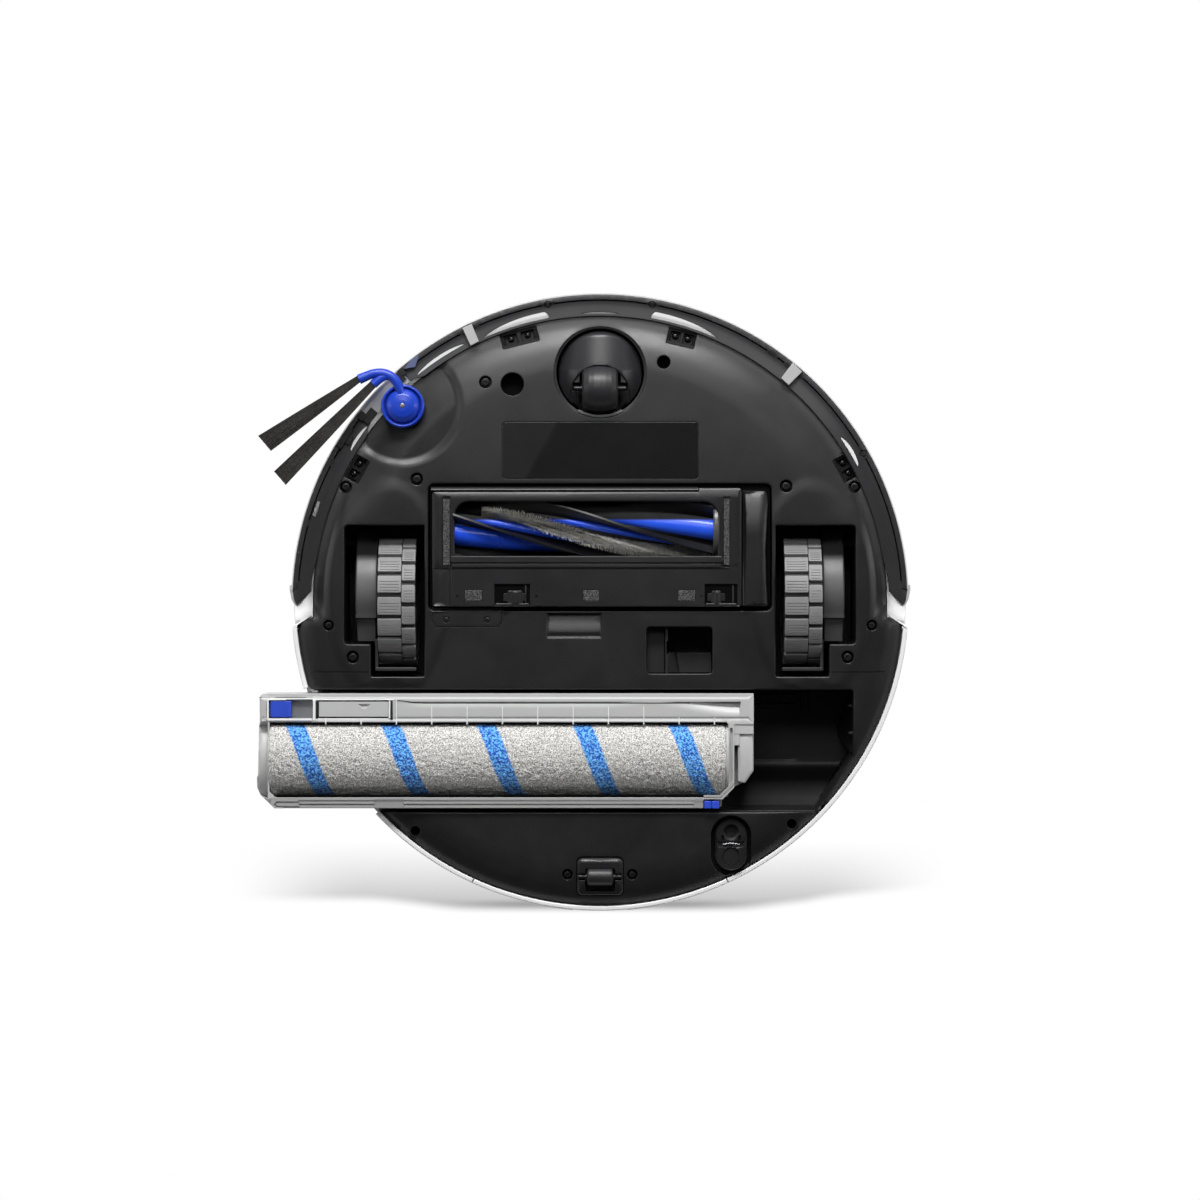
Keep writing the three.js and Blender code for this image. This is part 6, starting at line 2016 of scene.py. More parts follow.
for off, dz in ((-0.1, 0.1), (0, 0.35), (0, None), (-0.4, 1)):
    lp_ = offset(FO, off)
    idx = fm.verts([(x, y, 17.2 if dz is None else 17.6 if dz == 1 else frame_z(x, y) + dz) for x, y in lp_])
    fm.strip(prev, idx)
    prev = idx
mh = offset(mouth, -0.2)
top_ = [(x, y) for x, y in offset(FO, -0.4)]
mi = fm.verts([(x, y, 17.6) for x, y in top_])
fm.strip(prev, mi)
fill(fm, top_, [mouth], flat(17.6), None, True)
GREY = M["grey"]
piece(fm, "mop_housing", GREY, "mop_head", ["mop_frame"], angle=38)
# upper housing: rounded box with a waist line and a grip rib
hu = MB()
HO_ = fillet(ccw([(ux(259.6), vy(694.0)), (ux(753.2), vy(694.0)), (ux(753.2), vy(770.0)), (ux(744.8), vy(782.8)), (ux(733.6), vy(787.8)), (ux(722.4), vy(799.0)), (ux(722.0), vy(808.0)), (ux(276.0), vy(808.0)), (ux(258.6), vy(793.0)), (ux(258.4), vy(700.0))]),
             [2.2, 2.0, 2.0, 1.5, 1.0, 1.0, 1.0, 3.0, 5.0, 3.0], 5)
MO_ = offset(mouth, 0.1)
hh2 = sunk(hu, MO_, [(0, 0), (0, 50.6, 1)], flat(17.7))
fill(hu, offset(HO_, -0.3), [hh2], flat(17.7))
prev = hu.verts([(x, y, 17.7) for x, y in offset(HO_, -0.3)])
for off, z in ((-0.08, 17.8), (0, 18.0), (0, 27.4), (-0.35, 27.7), (-0.35, 28.5), (0, 28.8), (0, 46.6), (-0.3, 46.9), (-0.3, 47.3), (0, 47.6), (0, 51.4), (-0.25, 52.3), (-0.85, 53.0), (-1.8, 53.4)):
    idx = hu.verts([(x, y, z) for x, y in offset(HO_, off)])
    hu.strip(prev, idx)
    prev = idx
hu.cap(prev)
for q in range(6):
    block(hu, ux(258.4) - 0.35, ux(258.4) + 0.8, 62 + q * 2.6, 63.1 + q * 2.6, 31, 44, 0.3)
piece(hu, "mop_housing_top", GREY, "mop_head", (), angle=38)
# painted shade: near-black liners along the roller's opening and under the panel, where shade falls
ml = MB()
block(ml, ux(270.6), ux(726.6), vy(722.2) - 0.25, vy(722.2) + 0.95, 7.05, 9.7, 0.1)
block(ml, ux(276.0), ux(703.4), vy(797.4) - 1.25, vy(797.4) + 0.25, 6.75, 12.6, 0.1)
block(ml, ux(317.2), ux(389.8), vy(700.6), vy(717.8), 8.2, 9.2, 0.05)
piece(ml, "mop_shade_liners", M["pit"], "mop_head", ())
# raised panel with its pull notch
pm_ = MB()
PN = rrect(ux(318.9), ux(388.2), vy(701.7), vy(716.8), 0.35, 3)
notch = ccw(uv([(358.4, 704.3), (370.2, 704.3), (366.2, 708.2), (362.4, 708.2)]))
nh = sunk(pm_, notch, [(0.15, 0), (0, 0.12), (-0.2, 0.9)], flat(6.35))
fill(pm_, offset(PN, -0.25), [nh], flat(6.35))
prev = pm_.verts([(x, y, 6.35) for x, y in offset(PN, -0.25)])
for off, z in ((-0.07, 6.42), (0, 6.6), (0, 9.0)):
    idx = pm_.verts([(x, y, z) for x, y in offset(PN, off)])
    pm_.strip(prev, idx)
    prev = idx
pm_.cap(prev)
piece(pm_, "mop_panel", GREY, "mop_head", ())
# light ribs, the rims of the key seat and the comb along the roller
rb = MB()
block(rb, ux(312.9), ux(315.6), vy(699.8), vy(720.4), 5.75, 9, 0.25)
block(rb, ux(313.2), ux(394.0), vy(699.3), vy(700.3), 5.95, 8, 0.2)
block(rb, ux(388.6), ux(390.4), vy(700.6), vy(718.4), 5.95, 8, 0.2)
block(rb, ux(266.9), ux(268.9), vy(699.0), vy(719.4), 5.6, 9, 0.3, 0.6)
block(rb, ux(267.1), ux(286.2), vy(698.9), vy(700.3), 5.6, 9, 0.25, 0.4)
block(rb, ux(267.0), ux(312.0), vy(718.5), vy(720.8), 5.7, 9, 0.3, 0.6)
for i in range(12):
    u = 325.8 + 35.33 * i
    v0 = 718.4 if i < 2 else 699.6 if i == 2 else 706.6 if i not in (10, 11) else 717.4
    block(rb, ux(u) - 0.2, ux(u) + 0.2, vy(v0), vy(721.6), 5.95 + (0.25 if i in (7,) else 0), 8, 0.1)
    block(rb, ux(u) - 0.34, ux(u) + 0.34, vy(720.3), vy(724.6), 6.0, 8.7, 0.15)
piece(rb, "mop_ribs", M["white"], "mop_head", ())
# right end: bracket, cover of the roller's drive
em2 = MB()
DC = ccw(uv([(738.0, 733.4), (753.8, 733.4), (753.8, 770.8), (745.0, 783.2), (738.0, 782.0)]))
DC = fillet(DC, [0.5, 0.5, 1.5, 1.0, 1.0], 4)


def dcz(x, y):
    q = (y - 87) / 24.0
    return 7.2 + 3.4 * q * q + 1.6 * float(smooth(84.4, 86.4, x)) ** 2


fill(em2, offset(DC, -0.6), [], dcz, [(x, y) for x in np.arange(77.6, 86, 0.9) for y in np.arange(74, 101, 1.2)])
prev = em2.verts([(x, y, dcz(x, y)) for x, y in offset(DC, -0.6)])
for off, dz in ((-0.18, 0.18), (0, 0.6), (0, None)):
    idx = em2.verts([(x, y, 44.0 if dz is None else dcz(x, y) + dz) for x, y in offset(DC, off)])
    em2.strip(prev, idx)
    prev = idx
em2.cap(prev)
block(em2, ux(733.4), ux(753.7), vy(723.8), vy(734.4), 6.9, 52.8, 0.5, 0.5)
block(em2, ux(733.8), ux(739.6), vy(733.2), vy(745.6), 7.1, 52, 0.4, 0.4)
block(em2, ux(733.6), ux(739.0), vy(744.0), vy(781.0), 17.5, 44, 0.4, 0.4)
piece(em2, "mop_drive_cover", GREY, "mop_head", (), angle=40)
# dark seams of the frame and painted shadow lines: round the button recess, beside the panel (painted shade in its
# gaps), along the channel's upper edge (a painted shadow) and under the top edge
def seam(mb, pts, w, lift=0.05):
    """A thin dark strip on the frame along a line of picture points: a seam, or a painted shadow line."""
    q = [np.array(U(a, b)) for a, b in pts]
    dense = []
    for a, b in zip(q[:-1], q[1:]):
        n = max(1, int(np.linalg.norm(b - a) / 1.2))
        dense += [a + (b - a) * i / n for i in range(n)]
    dense.append(q[-1])
    L, R = [], []
    for i, c in enumerate(dense):
        t = dense[min(i + 1, len(dense) - 1)] - dense[max(i - 1, 0)]
        nrm = np.array([-t[1], t[0]]) / (np.linalg.norm(t) + 1e-9) * w / 2
        L.append(c + nrm)
        R.append(c - nrm)
    z = lambda c: frame_z(float(c[0]), float(c[1]))
    prev = None
    for l, r in zip(L, R):
        zl, zr_ = z(l), z(r)
        zm = min(zl, zr_)
        idx = mb.verts([(l[0], l[1], zm - lift), (r[0], r[1], zm - lift), (r[0], r[1], zm + 0.5), (l[0], l[1], zm + 0.5)])
        if prev:
            mb.strip(prev, idx)
        else:
            mb.cap(idx)
        prev = idx
    mb.cap(prev, True)


sl_ = MB()
seam(sl_, [(313.5, 699.6), (391, 699.6)], 0.45)
seam(sl_, [(397.6, 700.4), (404, 700.8), (412, 702.0), (424, 702.9), (440, 702.9), (690, 702.9)], 0.55)
seam(sl_, [(267.4, 721), (267.4, 700.6), (269.4, 699.2)], 0.55)
seam(sl_, [(316.9, 701.2), (316.9, 721)], 1.5)
seam(sl_, [(391.6, 700.6), (391.6, 721)], 1.7)
seam(sl_, [(259.6, 697.2), (313, 697.2)], 0.35)
piece(sl_, "mop_frame_seams_and_shade", plastic("seam_and_shade_dark_grey", "#2e2e2f", 0.7, 0.1, 900, 0.05, spec=0.15), "mop_head", (), angle=40)
# rear bar: long steps with a dark groove, a bare stretch, hooks at both ends
def rail(mb, u0, u1, prof):
    """Extrudes a (v, z) profile along x; it is closed at z 12.5."""
    p_ = [(vy(v), z) for v, z in prof] + [(vy(prof[-1][0]), 12.5), (vy(prof[0][0]), 12.5)]
    a = mb.verts([(ux(u0), y, z) for y, z in p_]); b = mb.verts([(ux(u1), y, z) for y, z in p_])
    mb.strip(a, b)
    mb.cap(a); mb.cap(b, True)


STEP = [(797.5, 6.9), (797.7, 6.4), (798.0, 6.25), (800.0, 6.25), (800.3, 6.5), (800.45, 8.6), (801.35, 8.6), (801.5, 7.0), (801.8, 6.8), (803.7, 6.8), (804.0, 7.0), (804.15, 8.3), (804.9, 8.3), (805.05, 7.6), (805.4, 7.4), (807.7, 7.4), (808.1, 7.6), (808.4, 8.2)]
BARE = [(797.5, 6.9), (797.7, 6.4), (798.0, 6.25), (799.4, 6.25), (800.2, 6.5), (801.6, 7.1), (807.6, 7.25), (808.1, 7.5), (808.4, 8.2)]
bar_ = MB()
rail(bar_, 299.2, 374.2, STEP)
rail(bar_, 374.4, 403.6, BARE)
rail(bar_, 403.8, 693.4, STEP)
rail(bar_, 693.6, 703.2, BARE)
piece(bar_, "mop_rear_bar", M["grey2"], "mop_head", (), angle=40, weld=0.0005)
hk = MB()
slab(hk, ccw(uv([(271.4, 797.6), (298.9, 797.6), (298.9, 801.6), (276.4, 801.6), (273.8, 804.4), (276.6, 807.0), (283.4, 807.0), (283.4, 808.4), (274.6, 808.4), (270.6, 804.8)])), 6.4, 9.5, 0.25, 0.2, 2)
slab(hk, ccw(uv([(277.6, 802.6), (298.9, 802.6), (298.9, 806.2), (277.6, 806.2), (275.4, 804.4)])), 7.1, 9.5, 0.2, 0.2, 2)
slab(hk, ccw(uv([(703.6, 797.5), (720.8, 797.5), (733.9, 784.6), (733.9, 782.6), (731.6, 782.8), (719.6, 795.2), (703.6, 795.2)])), 5.9, 9, 0.25, 0.2, 2)
piece(hk, "mop_bar_details", M["grey2"], "mop_head", ())
# roller: core and fleece
rc = MB()
lathe(rc, fil_prof([(0, -190), (4.8, -190), (4.8, -186), (20.6, -186), (21.4, -185.4), (21.4, -184.6), (17.2, -184.6), (17.2, 70.4), (22.2, 70.4), (22.8, 71.0), (22.6, 71.9), (20.6, 72.2), (4.8, 72.2), (4.8, 74.4), (0, 74.4)], 0.25, 2), 72, to=axis_x(87, 23.8))
piece(rc, "mop_core_tube", M["grey"], "mop_drum", ["mop_core"], angle=40)
fz = MB()
NX, NR = 440, 260
gx = np.linspace(-185.1, 70.7, NX)
R2 = np.random.default_rng(23)
h_ = R2.normal(0, 1, (NX, NR))


def soft(a, k):
    for _ in range(k):
        a = (a + np.roll(a, 1, 0) + np.roll(a, -1, 0) + np.roll(a, 1, 1) + np.roll(a, -1, 1)) / 5
    return a / a.std()


h_ = 0.75 * soft(h_, 1) + 0.45 * soft(R2.normal(0, 1, (NX, NR)), 4)
rad = 23.15 + np.clip(h_, -2.2, 2.2) * 0.17
edge = np.minimum(gx - gx[0], gx[-1] - gx)
rad -= (1.6 * np.clip(1 - edge / 1.8, 0, 1) ** 2)[:, None]
th = np.linspace(0, TAU, NR, endpoint=False)
jx = R2.normal(0, 0.10, (NX, NR))
X_ = gx[:, None] + jx
Y_ = 87 + rad * np.sin(th)[None, :]
Z_ = 23.8 - rad * np.cos(th)[None, :]
Z_ = np.maximum(Z_, 0.12)
fz.v = [tuple(p) for p in np.stack([X_, Y_, Z_], -1).reshape(-1, 3)]
i, j = np.meshgrid(np.arange(NX - 1), np.arange(NR), indexing="ij")
j2 = (j + 1) % NR
quads = np.stack([i * NR + j, (i + 1) * NR + j, (i + 1) * NR + j2, i * NR + j2], -1).reshape(-1, 4)
fz.f = [tuple(int(k) for k in q) for q in quads]
fz.m = [0] * len(fz.f)
ri = fz.verts([(gx[0], 87 + 17.6 * math.sin(a), 23.8 - 17.6 * math.cos(a)) for a in th])
ro = fz.verts([(gx[-1], 87 + 17.6 * math.sin(a), 23.8 - 17.6 * math.cos(a)) for a in th])
fz.strip(ri, list(range(NR)))
fz.strip(list(range((NX - 1) * NR, NX * NR)), ro)
fz.strip(ri, ro)
piece(fz, "mop_fleece_sleeve", fleece_mat("fleece_grey_blue", 0.087, 0.0238, (-185.2 + SX) * MM, 0.0535, 0.0106, -0.087), "mop_drum", ["mop_fleece"], angle=180, wn=False, weld=0)
# keys
kb = MB()
slab(kb, rrect(ux(270.4), ux(291.4), vy(700.9), vy(717.3), 0.7, 4), 6.1, 12.6, 0.45, 0.2, 3)
for q in range(3):
    block(kb, ux(286.6) - q * 1.3, ux(286.6) - q * 1.3 + 0.5, vy(703.5), vy(714.8), 5.9, 6.6, 0.15)
piece(kb, "mop_key_slide", M["blue2"], "mop_key_left", ["mop_button_left"])
kc = MB()
slab(kc, rrect(ux(704.2), ux(711.2), vy(800.9), vy(808.5), 0.5, 3), 6.3, 13.5, 0.35, 0.2, 3)
slab(kc, rrect(ux(711.9), ux(719.2), vy(800.9), vy(808.5), 0.5, 3), 6.3, 13.5, 0.35, 0.2, 3)
block(kc, ux(706), ux(717), vy(801.4), vy(807.6), 7.2, 13, 0.2)
piece(kc, "mop_key_press", M["blue2"], "mop_key_right", ["mop_button_right"])
# sled above the housing
sm = MB()
so = fillet(ccw([(-98, 53), (84, 53), (84, 100), (75, 113.5), (-98, 113.5)]), 2.0, 4)
si = rrect(-60, 46, 64, 102, 3, 4)
so_, si_ = ccw(so), ccw(si)
hb_ = sunk(sm, si_, rin(0.4, 3) + [(0, 67.4, 1)], flat(64.5), floor=False)
fill(sm, offset(so_, -0.4), [hb_], flat(64.5))
prev = sm.verts([(x, y, 64.5) for x, y in offset(so_, -0.4)])
for off, z in ((0, 64.9), (0, 67.3)):
    idx = sm.verts([(x, y, z) for x, y in offset(so_, off)])
    sm.strip(prev, idx)
    prev = idx
piece(sm, "mop_carrier_plate", M["trim"], "mop_carrier", ["mop_sled"], thick=0.8, down=True)
sp2_ = MB()
for px_ in (-60, 40):
    lathe(sp2_, fil_prof([(0, 63.6), (0.9, 63.6), (1.0, 63.8), (1.0, 68.0), (0, 68.0)], 0.1, 2), 28, cx=px_, cy=56.4)
for yy in (60.5, 105.5):
    block(sp2_, -92, 76 if yy < 80 else 70, yy, yy + 1.2, 67.1, 68.0, 0.3)
piece(sp2_, "mop_carrier_posts", M["steel"], "mop_carrier", (), weld=0.0005)

# ---------------------------------------------------------------- rear roller
hm2 = MB()
HO = rrect(-12.9, 13.0, 143.0, 164.2, 3.0, 6)


def ho_z(x, y):
    return 9.9 + 1.5 * (1 - float(smooth(143.0, 145.6, y))) ** 1.5 + 1.8 * float(smooth(157.5, 164.2, y)) + 0.8 * float(smooth(9.5, 13.2, abs(x - 0.05)))


RSL = ccw([(-8.2, 149.4), (8.4, 149.4), (8.4, 152.2), (12.0, 152.2), (12.0, 155.8), (8.4, 155.8), (8.4, 162.2), (-8.2, 162.2), (-8.2, 155.8), (-11.8, 155.8), (-11.8, 152.2), (-8.2, 152.2)])
RSL = fillet(RSL, [0.7, 0.7, 0.2, 0.4, 0.4, 0.2, 0.8, 0.8, 0.2, 0.4, 0.4, 0.2], 3)
hh_ = sunk(hm2, RSL, rin(0.25, 2) + [(0, 20.5, 1)], ho_z)
fill(hm2, offset(HO, -0.7), [hh_], ho_z, [(x, y) for x in np.arange(-11.6, 12.4, 1.2) for y in np.arange(144.0, 163.6, 0.9)])
prev = hm2.verts([(x, y, ho_z(x, y)) for x, y in offset(HO, -0.7)])
for off, dz in ((-0.22, 0.22), (0, 0.8), (0, None)):
    idx = hm2.verts([(x, y, 21.4 if dz is None else ho_z(x, y) + dz) for x, y in offset(HO, off)])
    hm2.strip(prev, idx)
    prev = idx
hm2.cap(prev)
piece(hm2, "rear_roller_housing", M["chassis2"], "chassis", (), angle=44)
rr_ = MB()
lathe(rr_, fil_prof([(0, -12.6), (1.25, -12.6), (1.25, -7.4), (3.6, -7.4), (4.9, -6.6), (5.0, -5.6), (5.0, 5.6), (4.9, 6.6), (3.6, 7.4), (1.25, 7.4), (1.25, 12.6), (0, 12.6)], 0.25, 2), 64, to=axis_x(154, 12.2))
piece(rr_, "rear_roller_tyre", M["roller"], "rear_wheel", ["rear_roller"])
ra = MB()
for s in (-1, 1):
    x0_, x1_ = sorted((s * 7.7, s * 11.9))
    lathe(ra, fil_prof([(1.28, x0_), (1.55, x0_), (1.55, x1_), (1.28, x1_)], 0, 1), 24, to=axis_x(154, 12.2))
piece(ra, "rear_roller_sleeves", M["darksteel"], "rear_wheel", ())

# ---------------------------------------------------------------- water port
wp = MB()
ST = stadium(73.5, 134.9 + 1.1, 8.9, 5.4, 18)
c1, c2 = (73.5, 129.0), (73.5, 142.2)


def wz(x, y):
    d1 = math.hypot(x - c1[0], y - c1[1])
    z = 14.2
    z += 0.8 * float(smooth(134.4, 134.9, y)) * (1 - float(smooth(137.0, 137.6, y)))
    return z


hs = [sunk(wp, circle(*c1, 4.3, 40), rin(0.4, 3) + [(0, 1.6), (-1.0, 1.8), (-1.1, 3.4)], wz),
      sunk(wp, circle(*c2, 4.8, 40), [(0.45, 0), (0.12, -0.3), (0, -0.2), (-0.15, 0.8)], wz)]
for sx_ in (-1, 1):
    hs.append(sunk(wp, rrect(73.5 + sx_ * 4.6 - 0.8, 73.5 + sx_ * 4.6 + 0.8, 130.8, 134.0, 0.3, 2), [(0.1, 0), (0, 0.15), (-0.1, 1.8)], wz))
fill(wp, offset(ST, -0.5), hs, wz, [(x, y) for x in np.arange(66, 81.5, 0.9) for y in (134.2, 134.5, 134.8, 135.2, 136.2, 137.0, 137.3, 137.7)])
prev = wp.verts([(x, y, wz(x, y)) for x, y in offset(ST, -0.5)])
for off, z in ((-0.3, 13.6), (-0.05, 13.3), (0.1, 13.5), (0.1, 21.6)):
    idx = wp.verts([(x, y, z) for x, y in offset(ST, off)])
    wp.strip(prev, idx)
    prev = idx
wp.cap(prev)
piece(wp, "water_port_insert", M["chassis2"], "chassis", ["water_port"], angle=42)
wa = MB()
n = 14
arc_ = [(73.5 + 4.9 * math.sin(D(-62 + 124 * i / n)), 141.6 - 4.9 * math.cos(D(-62 + 124 * i / n))) for i in range(n + 1)]
tube(wa, [(x, y - 0.1, 13.85) for x, y in curve_pts([(69.0, 135.9, 13.8), (71.2, 135.3, 13.8), (73.5, 135.1, 13.8), (75.8, 135.3, 13.8), (78.0, 135.9, 13.8)], 5) for _ in [0]] if False else [(x, y, 13.8) for x, y in [(69.0, 136.0), (70.5, 135.6), (72.0, 135.4), (73.5, 135.3), (75.0, 135.4), (76.5, 135.6), (78.0, 136.0)]], 0.42, 12)
piece(wa, "water_port_clip", M["steel"], "chassis", ())

# ---------------------------------------------------------------- evacuation duct
ed = MB()
OU, IN = rrect(24.3, 64.7, 12.3, 41.7, 2.6, 5), rrect(26.1, 62.9, 14.0, 39.9, 1.4, 5)
rings = [(OU, 14.2), (OU, 50.8), (offset(OU, -0.3), 51.0), (offset(IN, 0.3), 51.0), (IN, 50.7), (IN, 14.3), (offset(IN, 0.2), 14.0), (offset(OU, -0.2), 14.0)]
prev = first_ = None
# walls: the two loops have the same number of points
for lp_, z in rings:
    idx = ed.verts([(x, y, z) for x, y in lp_])
    if prev:
        ed.strip(prev, idx)
    else:
        first_ = idx
    prev = idx
ed.strip(prev, first_)
# the duct's walls are painted shade black, so the duct reads dark inside
piece(ed, "evac_duct_walls", M["pit"], "chassis", ["evac_duct"])
es = MB()
block(es, 26.0, 36.4, 13.9, 40.0, 19.5, 44, 0.5)
slab(es, ccw([(36.6, 13.9), (38.2, 13.9), (38.2, 22), (37.4, 22), (37.4, 29), (38.4, 29), (38.4, 40), (36.6, 40)]), 15.4, 43, 0.3, 0.2, 2)
piece(es, "evac_side_block", M["dark"], "chassis", ())
ev2 = MB()
# sloping shelf and the bright wedge that carries it
slab(ev2, ccw([(42.6, 28.4), (62.8, 28.4), (62.8, 39.9), (44.6, 39.9)]), 25.0, 33, 0.4, 0.2, 3)
w_ = ev2.verts([(38.5, 28.2, 20.5), (42.4, 28.2, 24.2), (44.4, 39.8, 24.6), (38.5, 39.8, 19.0), (38.5, 28.2, 33), (42.4, 28.2, 33), (44.4, 39.8, 33), (38.5, 39.8, 33)])
for f_ in ((0, 1, 2, 3), (4, 7, 6, 5), (0, 4, 5, 1), (1, 5, 6, 2), (2, 6, 7, 3), (3, 7, 4, 0)):
    ev2.face([w_[q] for q in f_])
piece(ev2, "evac_shelf", plastic("shelf_plastic", "#262627", 0.4, 0.2, 1000, 0.08), "chassis", (), bevel=0.3)
fl_ = MB()
slab(fl_, rrect(38.9, 60.8, 15.2, 38.7, 1.2, 4), 46.1, 47.5, 0.3, 0.3, 2)
for q in range(5):
    block(fl_, 41 + q * 4.4, 41.8 + q * 4.4, 18, 36, 45.8, 46.4, 0.15)
piece(fl_, "evac_flap_plate", M["trim"], "port_flap", ["evac_flap"])


# ---------------------------------------------------------------- top side
def dress(node, mat, bevel=0.4, seg=3, angle=30):
    """A carried node keeps its mesh: it takes a material and rounded edges."""
    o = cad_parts[node]
    o.data.materials.clear()
    o.data.materials.append(mat)
    if bevel:
        b = o.modifiers.new("edge", "BEVEL")
        b.width, b.segments, b.limit_method, b.angle_limit = bevel * MM, seg, "ANGLE", math.radians(angle)
        b.use_clamp_overlap = True
    return o


lm = MB()
RL = 168.0


def lid_z(x, y):
    d = math.hypot(x, y)
    z = 79.95 - 0.35 * (d / RL) ** 4
    dt = math.hypot(x, y - 89)
    z -= 0.45 * (1 - float(smooth(46.0, 49.0, dt)))
    z -= 0.35 * math.exp(-((d - 151.0) / 0.32) ** 2)
    return z


lo = circle(0, 0, RL - 0.9, 220)
up = lambda x, y: -lid_z(x, y)
hs = []
# sunk works downwards from the skin, so the lid is built upside down and mirrored
ml = MB()
hs.append(sunk(ml, circle(0, 89, 41.5, 110), rin(0.5, 4) + [(0, -77.7, 1)], up, floor=False))
hs.append(sunk(ml, circle(0, -141, 9.25, 48), rin(0.4, 3) + [(0, -77.7, 1)], up, floor=False))
# finger notch at the rear edge
hs.append(sunk(ml, stadium(0, 158.6, 3.6, 0.01, 12) if False else rrect(-15, 15, 154.6, 160.6, 2.9, 8), [(0.5, 0), (0.15, 0.1), (0, 0.4), (-0.9, 1.2)], up))
ex = []
for r in np.arange(4, 166, 5.0):
    n = max(8, int(TAU * r / 6.0))
    ex += [(r * math.cos(TAU * i / n + r), r * math.sin(TAU * i / n + r)) for i in range(n)]
for r in (149.9, 150.4, 150.75, 151.0, 151.25, 151.6, 152.1):
    ex += [(r * math.cos(TAU * i / 240), r * math.sin(TAU * i / 240)) for i in range(240)]
for r in (43.5, 45.9, 46.6, 47.3, 48.0, 48.7, 49.2):
    ex += [(r * math.cos(TAU * i / 120), 89 + r * math.sin(TAU * i / 120)) for i in range(120)]
ex = [p for p in ex if math.hypot(p[0], p[1]) < RL - 1.4 and not (148.8 < math.hypot(*p) < 149.7) and not (152.3 < math.hypot(*p) < 153.2)]
fill(ml, lo, hs, up, ex)
prev = ml.verts([(x, y, up(x, y)) for x, y in lo])
for off, dz in ((-0.45, 0.10), (-0.12, 0.42), (0, 0.95), (0, None)):
    idx = ml.verts([(x, y, -77.7 if dz is None else up(x, y) + dz) for x, y in circle(0, 0, RL + off, 220)])
    ml.strip(prev, idx)
    prev = idx
lm.add(ml, lambda p: (p[0], p[1], -p[2]))
o = piece(lm, "lid_panel", M["white"], "lid", ["top_lid"], angle=40, thick=1.1, down=True)
o.data.flip_normals()
# turret
tu = MB()
lathe(tu, fil_prof([(33.2, 77.7), (40.5, 77.7), (40.5, 81.6), (39.4, 83.6), (37.6, 84.15), (34.6, 84.15), (33.2, 82.8)], [0, 0, 1.0, 1.0, 0.5, 0.6, 0.4], 4), 144, cx=0, cy=89)
piece(tu, "turret_ring", M["whitedim"], "chassis", ["lidar_turret"])
tc = MB()
lathe(tc, fil_prof([(0, 97.75), (29.6, 97.75), (30.0, 97.4), (30.4, 97.75), (36.4, 97.6), (38.2, 96.4), (38.5, 95.2), (37.8, 94.1), (34, 94.0), (0, 94.0)], [0, 0.1, 0.1, 0.1, 0.8, 0.8, 0.5, 0.3, 0.3, 0], 4), 144, cx=0, cy=89)
piece(tc, "turret_cap", M["white"], "chassis", ())
tp_ = MB()
for a in (30, 150, 270):
    pb = MB()
    slab(pb, fillet(ccw([(33.6, -3.4), (37.4, -2.6), (38.0, 0), (37.4, 2.6), (33.6, 3.4), (33.0, 0)]), 0.6, 3), 83.6, 94.6, 0.1, 0.1, 2)
    tp_.add(pb, lambda p, a=a: (p[0] * math.cos(D(a)) - p[1] * math.sin(D(a)), 89 + p[0] * math.sin(D(a)) + p[1] * math.cos(D(a)), p[2]))
piece(tp_, "turret_posts", M["trim"], "chassis", ())
tb = MB()
lathe(tb, fil_prof([(33.3, 84.3), (36.6, 84.3), (36.6, 84.9), (33.3, 84.9)], 0.2, 2), 120, cx=0, cy=89)
lathe(tb, fil_prof([(33.0, 93.2), (36.6, 93.2), (36.6, 93.95), (33.0, 93.95)], 0.2, 2), 120, cx=0, cy=89)
piece(tb, "turret_bumper_rings", M["trim"], "chassis", ())
ro_ = MB()
lathe(ro_, fil_prof([(0, 78.0), (25.8, 78.0), (26.6, 79.0), (26.6, 81.4), (25.9, 81.9), (25.9, 91.4), (26.6, 91.9), (26.6, 92.6), (25.2, 93.3), (0, 93.3)], 0.4, 3), 120, cx=0, cy=89)
piece(ro_, "lidar_drum", M["trim"], "lidar", ["lidar_rotor"])
rl = MB()
for a in (-18, 18):
    lb = MB()
    lathe(lb, fil_prof([(0, 24.6), (3.7, 24.6), (3.7, 26.4), (3.2, 26.9), (2.4, 26.6), (0, 26.4)], 0.2, 3), 36)
    rl.add(lb, lambda p, a=a: (p[2] * math.sin(D(a)) + p[0] * math.cos(D(a)), 89 - p[2] * math.cos(D(a)) + p[0] * math.sin(D(a)), 86.6 + p[1]))
piece(rl, "lidar_lenses", M["lens"], "lidar", ())
bt = MB()
lathe(bt, fil_prof([(0, 80.25), (4.5, 80.25), (6.2, 80.35), (7.2, 80.45), (8.1, 80.2), (8.5, 79.4), (8.5, 78.2), (0, 78.2)], [0, 1, 1, 0.8, 0.6, 0.4, 0.2, 0], 4), 96, cx=0, cy=-141)
lathe(bt, fil_prof([(0, 68.1), (4.9, 68.1), (4.9, 78.3), (0, 78.3)], 0.3, 2), 40, cx=0, cy=-141)
piece(bt, "power_key_cap", M["grey"], "power_key", ["power_button"])
br_ = MB()
lathe(br_, [(6.3, 80.2), (6.5, 80.52), (6.9, 80.52), (7.1, 80.2), (6.9, 80.0), (6.5, 80.0)], 96, cx=0, cy=-141)
piece(br_, "power_key_ring", M["steel"], "power_key", ())

